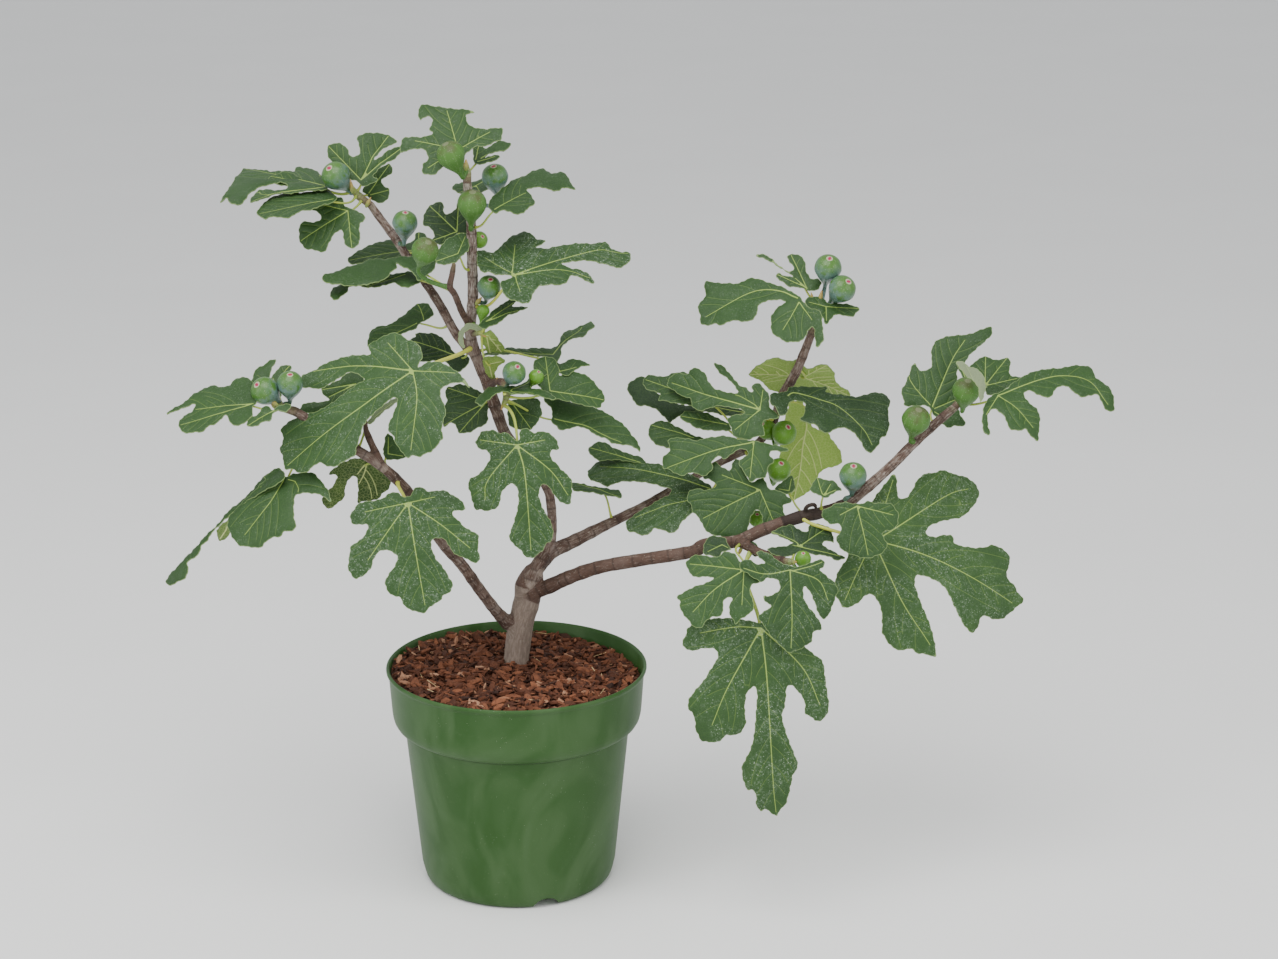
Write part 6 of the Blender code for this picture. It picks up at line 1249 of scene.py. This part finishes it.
def blade(name, item):  # one blade: its places, faces, material numbers and the numbers that its paint reads
    a, b = cast(item, softEdge(item["edge"]))
    rim = np.stack([a, b], axis=1)
    mains, sides = veinLines(name, item, rim, np.zeros(2))
    size = math.sqrt(abs(np.dot(a, np.roll(b, 1)) - np.dot(b, np.roll(a, 1))) / 2)
    step = max(size / math.sqrt(leafLook["pointsEach"]), 0.0022)
    grid = np.array([(x + (row % 2) * step / 2, y)
                     for row, y in enumerate(np.arange(b.min(), b.max(), step * 0.87))
                     for x in np.arange(a.min(), a.max(), step)])
    grid = grid[within(grid, rim)]
    lines = [line[within(line, rim)] for line in mains + sides]
    lines = [line for line in lines if len(line) > 1]
    clear = gapsTo(grid, rim, True)[0] > step * 0.4
    for line in lines:
        clear &= gapsTo(grid, line)[0] > step * 0.4
    points, edges = [*rim], []
    for line in lines:
        edges += [(len(points) + i, len(points) + i + 1) for i in range(len(line) - 1)]
        points += [*line]
    points += [*grid[clear]]
    flat, _, triangles, *_ = delaunay_2d_cdt([Vector(point) for point in points], edges,
                                             [list(range(len(rim)))], 1, 1e-6)
    flat = np.array(flat)
    mainGap, sideGap = np.full(len(flat), 0.03), np.full(len(flat), 0.03)
    for line in mains:
        gap, share = gapsTo(flat, line)
        length = np.linalg.norm(np.diff(line, axis=0), axis=1).sum()
        halfWidth = 0.0001 + np.clip(length / 0.11, 0.4, 1) * 0.00042 * (1 - share) ** 1.1
        mainGap = np.minimum(mainGap, gap - halfWidth)
    for line in sides:
        sideGap = np.minimum(sideGap, gapsTo(flat, line)[0])
    edgeGap = gapsTo(flat, rim, True)[0]
    softGap = np.minimum(np.maximum(mainGap, 0), sideGap * 1.3 + 0.0006)
    raised = leafLook["puff"] * (1 - np.exp(-softGap / 0.0030)) + 0.055 * np.clip(mainGap, 0, 0.022)
    raised = raised * np.clip(edgeGap / 0.004, 0.25, 1)
    raised += 0.0009 * np.exp(-edgeGap / 0.005) * np.sin(flat[:, 0] * 190 + 2) * np.cos(flat[:, 1] * 170)
    half = leafLook["thickness"] / 2
    ridge = 0.0007 * np.exp(-np.maximum(mainGap, 0) / 0.0012) + 0.0002 * np.exp(-sideGap / 0.0008)
    top = bladePoints(item, *flat.T, raised + half)
    bottom = bladePoints(item, *flat.T, raised - half - ridge * np.clip(edgeGap / 0.003, 0, 1))
    count = len(flat)
    faces, slots, borders = [], [], {}
    for triangle in triangles:
        faces += [tuple(triangle), tuple(count + i for i in reversed(triangle))]
        slots += [0, 1]
        for i, j in zip(triangle, triangle[1:] + triangle[:1]):
            if borders.pop((j, i), None) is None:
                borders[i, j] = True
    for i, j in borders:
        faces.append((i, count + i, count + j, j))
        slots.append(0)
    data = {"main": mainGap * 1000, "side": sideGap * 1000, "edge": edgeGap * 1000}
    data = {key: np.tile(values, 2) for key, values in data.items()}
    return np.vstack([top, bottom]), faces, slots, data, size


def stalkLine(start, arrive, twig, root, radii, steps=12):  # rows of a stalk from a blade or fig to its twig
    centre, radius, along = twigPlace(twig, root)
    away = start - centre
    away = unit(away - along * (away @ along))
    end = centre + away * radius * 0.75
    reach = np.linalg.norm(start - end)
    knots = (start, start + arrive * reach * 0.35, end + away * reach * 0.35, end)
    rows = []
    for t in np.arange(steps + 1) / steps:
        weights = ((1 - t) ** 3, 3 * t * (1 - t) ** 2, 3 * t * t * (1 - t), t ** 3)
        foot = 0.00065 * math.exp(-((1 - t) * reach / 0.004) ** 2)
        thick = radii[0] + (radii[1] - radii[0]) * t + foot
        rows.append([*sum(w * knot for w, knot in zip(weights, knots)), thick])
    return np.array(rows)


# Leaf stalks that the photograph shows in full: photograph points, depth and radius in mm
stalkRoutes = {
    "leaf_55": [(800, 517, -0.054, 2.0), (812, 524, -0.064, 1.9), (838, 532, -0.073, 1.8),
                (860, 538, -0.071, 1.7), (876, 541, -0.060, 1.4)],
}


def petiole(name, item, size):
    if name in stalkRoutes:
        rows = [[*spot(px, py, depth), radius / 1000] for px, py, depth, radius in stalkRoutes[name]]
        return tube(smoothLine(rows, 6), 10)
    normal = bladeFrame(item["face"])[2]
    heart = heartPlace(item)
    ray = sight(item["edge"].mean(axis=0))
    centre = eyePlace + ray * (((heart - eyePlace) @ normal) / (ray @ normal))
    inward = unit(centre - heart)
    start = heart + inward * min(0.008, np.linalg.norm(centre - heart) * 0.3) - normal * 0.0012
    thick = np.clip(size / 0.11, 0.62, 1.15)
    return tube(stalkLine(start, unit(-inward - 0.35 * normal), item["twig"], item["root"],
                          (0.0016 * thick, 0.0021 * thick)), 10)


def leafTop():
    paint = Paint("Leaf upper side", 0.5, 0.25)
    tone, fleck = paint.read("tone"), paint.read("fleck")
    main, side, rim = paint.read("main"), paint.read("side"), paint.read("edge")
    cloud = paint.noise(30, 3, 0.5)
    fine = paint.noise(520, 4, 0.6)
    level = tone + (cloud - 0.5) * 0.45 + (fine - 0.5) * 0.12 + side.above(0.5, 5) * -0.05
    base = paint.ramp(level, [(0.0, leafLook["dark"]), (0.5, leafLook["green"]), (1.0, leafLook["light"])])
    beside = paint.mix(main.below(0.0, 2.5) * 0.15, base, leafLook["light"])
    sideVein = side.below(0.08, 0.48) * 0.20 * rim.above(0.5, 3.0)
    veined = paint.mix(sideVein, beside, leafLook["vein"])
    net = paint.cells(330, "Distance", None, "DISTANCE_TO_EDGE").below(0.02, 0.09)
    netted = paint.mix(net * 0.16, veined, leafLook["light"])
    ribbed = paint.mix(main.below(0.0, 0.38) * 0.80, netted, leafLook["vein"])
    patch = paint.noise(38, 3).above(0.32, 0.60)
    spots = paint.cells(430).below(0.12, 0.30) * paint.noise(420, 2).above(0.40, 0.56)
    film = paint.noise(300, 4, 0.7, None, 0.8).above(0.46, 0.70)
    flecked = paint.mix(fleck * patch * (spots * 0.60 + film * 0.19), ribbed, leafLook["fleck"])
    dull = paint.mix(paint.read("dry") * (fine * 0.5 + 0.6), flecked, leafLook["dull"])
    edged = paint.mix(rim.below(0.20, 0.75) * 0.60, dull, leafLook["rim"])
    height = side.above(0.1, 2.2) * 0.5 + main.above(0, 1.5) * 0.5 + fine * 0.35 - net * 0.12
    return paint.feed(colour=edged, roughness=0.46 + fine * 0.20 - tone * 0.06,
                      normal=paint.bump(height, 0.0009, 0.7))


def leafUnder():
    paint = Paint("Leaf underside", 0.7, 0.25)
    main, side = paint.read("main"), paint.read("side")
    cloud = paint.noise(40, 3, 0.5)
    net = paint.cells(300, "Distance", None, "DISTANCE_TO_EDGE").below(0.02, 0.10)
    base = paint.ramp(paint.read("tone") * 0.75 + (cloud - 0.5) * 0.3, [(0.15, leafLook["underDark"]),
                                                                        (0.75, leafLook["under"])])
    netted = paint.mix(net * 0.22, base, leafLook["underVein"])
    veined = paint.mix(side.below(0.20, 0.8) * 0.75, netted, leafLook["underVein"])
    ribbed = paint.mix(main.below(0.1, 0.7) * 0.9, veined, leafLook["underVein"])
    height = main.below(0, 1.0) + side.below(0.1, 0.9) * 0.6 + net * 0.25
    # the lightest undersides glow: painted light standing in for light that comes through the leaf
    paint.shader.inputs["Emission Strength"].default_value = leafLook["glow"]
    glow = paint.mix(paint.read("tone").above(0.6, 1.0), (0.0, 0.0, 0.0), ribbed)  # painted glow standing in for light that comes through the leaf
    return paint.feed(colour=ribbed, roughness=0.62 + cloud * 0.15, glow=glow,
                      normal=paint.bump(height, 0.0007, 0.7))


def leafStalk():
    paint = Paint("Leaf stalk", 0.45, 0.4)
    cloud = paint.noise(70, 3)
    grown = paint.ramp(cloud * 0.6 + paint.read("yellow") * 0.55, [(0.25, leafLook["stalkGreen"]),
                                                                  (0.70, leafLook["stalk"])])
    specks = paint.noise(900, 2).above(0.62, 0.72)
    return paint.feed(colour=paint.mix(specks * 0.35, grown, leafLook["stalkFleck"]),
                      roughness=0.40 + cloud * 0.2, normal=paint.bump(paint.noise(600, 3), 0.0004, 0.5))


def shootGreen():
    paint = Paint("Green shoot", 0.55, 0.4)
    along = paint.read("along")
    cloud = paint.noise(160, 4, 0.6)
    base = paint.ramp(along + (cloud - 0.5) * 0.25, [(0.08, wood["brown"]), (0.36, wood["shootFoot"]),
                                                     (0.55, wood["green"]), (0.78, wood["shootTip"]),
                                                     (1.0, wood["bud"])])
    flecks = paint.noise(700, 2).above(0.60, 0.70)
    scar = paint.read("scar")
    marked = paint.mix(scar * 0.7, paint.mix(flecks * 0.4, base, wood["shootFleck"]), wood["shootScar"])
    return paint.feed(colour=marked, roughness=0.45 + cloud * 0.25,
                      normal=paint.bump(cloud - scar * 0.5, 0.0006, 0.6))


figLook = {
    "profile": [(0.0, 0.075), (0.12, 0.11), (0.26, 0.22), (0.42, 0.37), (0.60, 0.49), (0.72, 0.495),
                (0.85, 0.43), (0.93, 0.32), (0.97, 0.21), (0.987, 0.14), (0.994, 0.10)],
    "length": 1.45, "centre": 0.66, "sides": 36, "usual": 0.027,
    "green": (0.050, 0.135, 0.017), "deep": (0.008, 0.038, 0.012), "bloom": (0.090, 0.160, 0.150),
    "blush": (0.060, 0.040, 0.017), "eye": (0.300, 0.010, 0.060), "ring": (0.520, 0.470, 0.360),
    "bright": (0.095, 0.235, 0.018), "rib": (0.12, 0.23, 0.06), "speck": (0.44, 0.50, 0.34),
}
# Figs with a bluish bloom, and figs blushed brown round the eye; the others are small and bright green
bloomed = ("fig_01", "fig_02", "fig_06", "fig_08", "fig_09", "fig_11", "fig_12", "fig_13", "fig_14", "fig_18")
blushed = ("fig_03", "fig_04", "fig_05", "fig_19", "fig_20")


def figSkin():
    paint = Paint("Fig skin", 0.35, 0.35)  # along runs from the stalk to the eye
    along, eyeGap = paint.read("along"), paint.read("eyeGap")
    bloom, blush = paint.read("bloom"), paint.read("blush")
    cloud = paint.noise(110, 4, 0.6)
    ribs = paint.read("rib")
    fresh = paint.mix(bloom + blush, figLook["bright"], figLook["green"])
    # painted shade: darker towards the stalk end, the fig's lower side, together with the deeper green of the
    # bloomed figs' lower half
    base = paint.mix(along.below(0.40, 0.85) * (bloom * 0.60 + 0.15), fresh, figLook["deep"])
    streaked = paint.mix(ribs.above(0.4, 1.0) * 0.22, base, figLook["rib"])
    hazy = bloom * cloud.above(0.36, 0.56) * along.below(0.66, 1.0) * 0.8
    dusted = paint.mix(hazy, streaked, figLook["bloom"])
    flushed = blush * (along + (cloud - 0.5) * 0.6).above(0.80, 1.05) * 0.65
    browned = paint.mix(flushed, dusted, figLook["blush"])
    specks = paint.cells(520).below(0.10, 0.20)
    specked = paint.mix(specks * 0.45, browned, figLook["speck"])
    ringed = paint.mix(eyeGap.below(3.0, 3.6) * 0.7 * (1 - blush * 0.8), specked, figLook["ring"])
    eyed = paint.mix((eyeGap + blush * 0.6).below(2.3, 2.7) * (1 - blush * 0.3), ringed, figLook["eye"])
    return paint.feed(colour=eyed, roughness=0.28 + cloud * 0.22 + blush * 0.12, coat=bloom * 0.15,
                      normal=paint.bump(cloud * 0.5 + specks * 0.3, 0.0004, 0.5))


def makeFig(skin, name, centre, width, depth, eye, root, twig):
    middle = spot(*centre, depth)
    size = width * pixel
    leanX, leanY = (np.array(eye) - centre) / (width / 2)
    toward = math.sqrt(max(1 - leanX ** 2 - leanY ** 2, 0.05))
    axis = unit(rightWay * leanX - upWay * leanY - forwardWay * toward)
    length = size * figLook["length"]
    base = middle - axis * length * figLook["centre"]
    neck = stalkLine(base, -axis, twig, root, (size * figLook["profile"][0][1], size * 0.09), 8)[:0:-1]
    body = smoothLine(figLook["profile"], 4)
    rows = np.vstack([neck, [[*(base + axis * length * t), size * share] for t, share in body]])
    last = base + axis * length
    pit = [[*(last - axis * size * drop), size * share] for drop, share in ((0.010, 0.065), (0.03, 0.03))]
    rows = np.vstack([rows, pit])
    sides = figLook["sides"]
    points, faces = tube(rows, sides, False)
    turns = np.tile(np.arange(sides) * 2 * math.pi / sides, len(rows))
    share = np.repeat(np.concatenate([np.zeros(len(neck)), body[:, 0], [1, 1]]), sides)
    rib = np.cos(turns * 9 + 0.5 * np.sin(share * 5))
    middleRows = np.repeat(rows[:, :3], sides, axis=0)
    points = middleRows + (points - middleRows) * (1 + 0.012 * rib * np.sin(share * math.pi))[:, None]
    piece = addMesh(name + "_skin", points, faces)
    note(piece, "along", share)
    note(piece, "rib", rib)
    fromEye = np.linalg.norm(points - last, axis=1) * 1000 * figLook["usual"] / size
    note(piece, "eyeGap", np.where(share > 0.8, fromEye, 20))
    note(piece, "bloom", np.full(len(points), float(name in bloomed)))
    note(piece, "blush", np.full(len(points), float(name in blushed)))
    dress(piece, [skin], [twig if twig in shoots else name[:6]], 70)


def makeShoot(name, green):
    line = spaced(smoothLine(shootLine(name), 8), 0.0006)
    share = np.linspace(0, 1, len(line))
    line[:, 3] *= 1 + 0.10 * np.exp(-((share - 0.45) / 0.10) ** 2)
    line[:, 3] *= 1 - 0.75 * np.clip((share - 0.8) / 0.2, 0, 1) ** 1.5
    sides = 20
    points, faces = tube(line, sides, False)
    piece = addMesh(name + "_shoot", points, faces)
    length = np.linalg.norm(line[-1, :3] - line[0, :3])
    scars = np.arange(0.003, length * 0.75, 0.0036)
    scar = [np.exp(-(np.min(np.abs(scars - t * length)) / 0.0006) ** 2) if len(scars) else 0 for t in share]
    note(piece, "along", np.repeat(share, sides))
    note(piece, "scar", np.repeat(scar, sides))
    dress(piece, [green], [name], 80)


def makeBuds(node, brown):  # pointed scaly buds on the twigs
    points, faces, along, count = [], [], [], 0
    sides = 14
    for foot, tip, depth, radius in buds[node]:
        start, end = spot(*foot, depth), spot(*tip, depth)
        rows = [[*(start + (end - start) * t), radius / 1000 * width]
                for t, width in ((-0.3, 0.5), (0.0, 0.9), (0.3, 1.0), (0.6, 0.72), (0.85, 0.36), (1.0, 0.08))]
        rows = smoothLine(rows, 4)
        shape, shapeFaces = tube(rows, sides, False)
        points.append(shape)
        faces += counted(shapeFaces, count)
        along.append(np.repeat(np.linspace(0.75, 1, len(rows)), sides))
        count += len(shape)
    piece = addMesh(node + "_buds", np.vstack(points), faces)
    note(piece, "along", np.concatenate(along))
    note(piece, "scar", np.zeros(count))
    dress(piece, [brown], [node], 80)


def makeLeaves():
    paints = [leafTop(), leafUnder(), leafStalk()]
    nodes = {}
    for name, item in leaves.items():
        points, faces, slots, data, size = blade(name, item)
        parts = nodes.setdefault(item["node"], [])
        # tone: each leaf's own green together with the light and shade painted on it
        data["tone"] = np.full(len(points), leafTonesAndPaintedLight.get(name, 0.45) + luck.uniform(-0.06, 0.06))
        data["fleck"] = np.full(len(points), leafFlecks.get(name, 0.25))
        data["dry"] = np.full(len(points), leafDry.get(name, 0.0))
        data["yellow"] = np.zeros(len(points))
        parts.append((points, faces, slots, data))
        if not item["bare"]:
            points, faces = petiole(name, item, size)
            data = {key: np.zeros(len(points)) for key in data}
            data["yellow"] += 1.0 if name in yellowStalks else 0.3
            parts.append((points, faces, [2] * len(faces), data))
    total = 0
    for node, parts in nodes.items():
        faces, slots, count = [], [], 0
        for points, partFaces, partSlots, _ in parts:
            faces += counted(partFaces, count)
            slots += partSlots
            count += len(points)
        piece = addMesh(node + "_blades", np.vstack([part[0] for part in parts]), faces, slots)
        for key in parts[0][3]:
            note(piece, key, np.concatenate([part[3][key] for part in parts]))
        dress(piece, paints, [node], 60)
        total += len(faces)
    print("leaf faces", total)


def makeStage():
    deselect()
    bpy.ops.mesh.primitive_plane_add(size=14)
    floor = bpy.context.object
    floor.name = "Floor"
    paint = Paint("Pale floor", 0.7, 0.3)
    shade = paint.noise(3, 2)
    floor.data.materials.append(paint.feed(colour=paint.mix(shade, (0.80, 0.80, 0.79), (0.84, 0.84, 0.83)),
                                           roughness=0.65 + shade * 0.1))
    world = bpy.data.worlds.new("Soft light")
    bpy.context.scene.world = world
    world.use_nodes = True
    world.node_tree.nodes["Background"].inputs["Color"].default_value = (0.96, 0.98, 1.0, 1)
    world.node_tree.nodes["Background"].inputs["Strength"].default_value = stage["sky"]
    for name, place, size, power, colour in stage["lights"]:
        bpy.ops.object.light_add(type="AREA", location=place)
        light = bpy.context.object
        light.name = name
        light.data.size = size
        light.data.energy = power
        light.data.color = colour
        light.rotation_euler = (Vector((0.05, 0, 0.40)) - Vector(place)).to_track_quat("-Z", "Y").to_euler()
    bpy.ops.object.camera_add(location=view["eye"], rotation=(math.radians(90 - view["pitch"]), 0, 0))
    camera = bpy.context.object
    camera.data.sensor_width = view["sensor"]
    camera.data.lens = view["focal"] / view["width"] * view["sensor"]
    bpy.context.scene.camera = camera


stage = {
    "sky": 0.85,
    "lights": [("Overhead", (-0.4, -1.2, 3.2), 2.4, 105, (1.0, 0.99, 0.97)),
               ("Left", (-2.6, -1.6, 1.5), 1.8, 30, (0.97, 0.99, 1.0)),
               ("Right", (2.4, -1.2, 1.7), 1.5, 22, (1.0, 0.99, 0.97)),
               ("Front", (0.4, -3.4, 0.9), 2.0, 26, (1.0, 1.0, 0.99))],
}

makeStage()
makePot()
makeMulch()
print("pot and mulch made")
makeWood()
makeLeaves()
green, skin = shootGreen(), figSkin()
for name in shoots:
    makeShoot(name, green)
for name in buds:
    makeBuds(name, green)
for name, values in figs.items():
    makeFig(skin, name, *values)
print("figs made", len(figs))
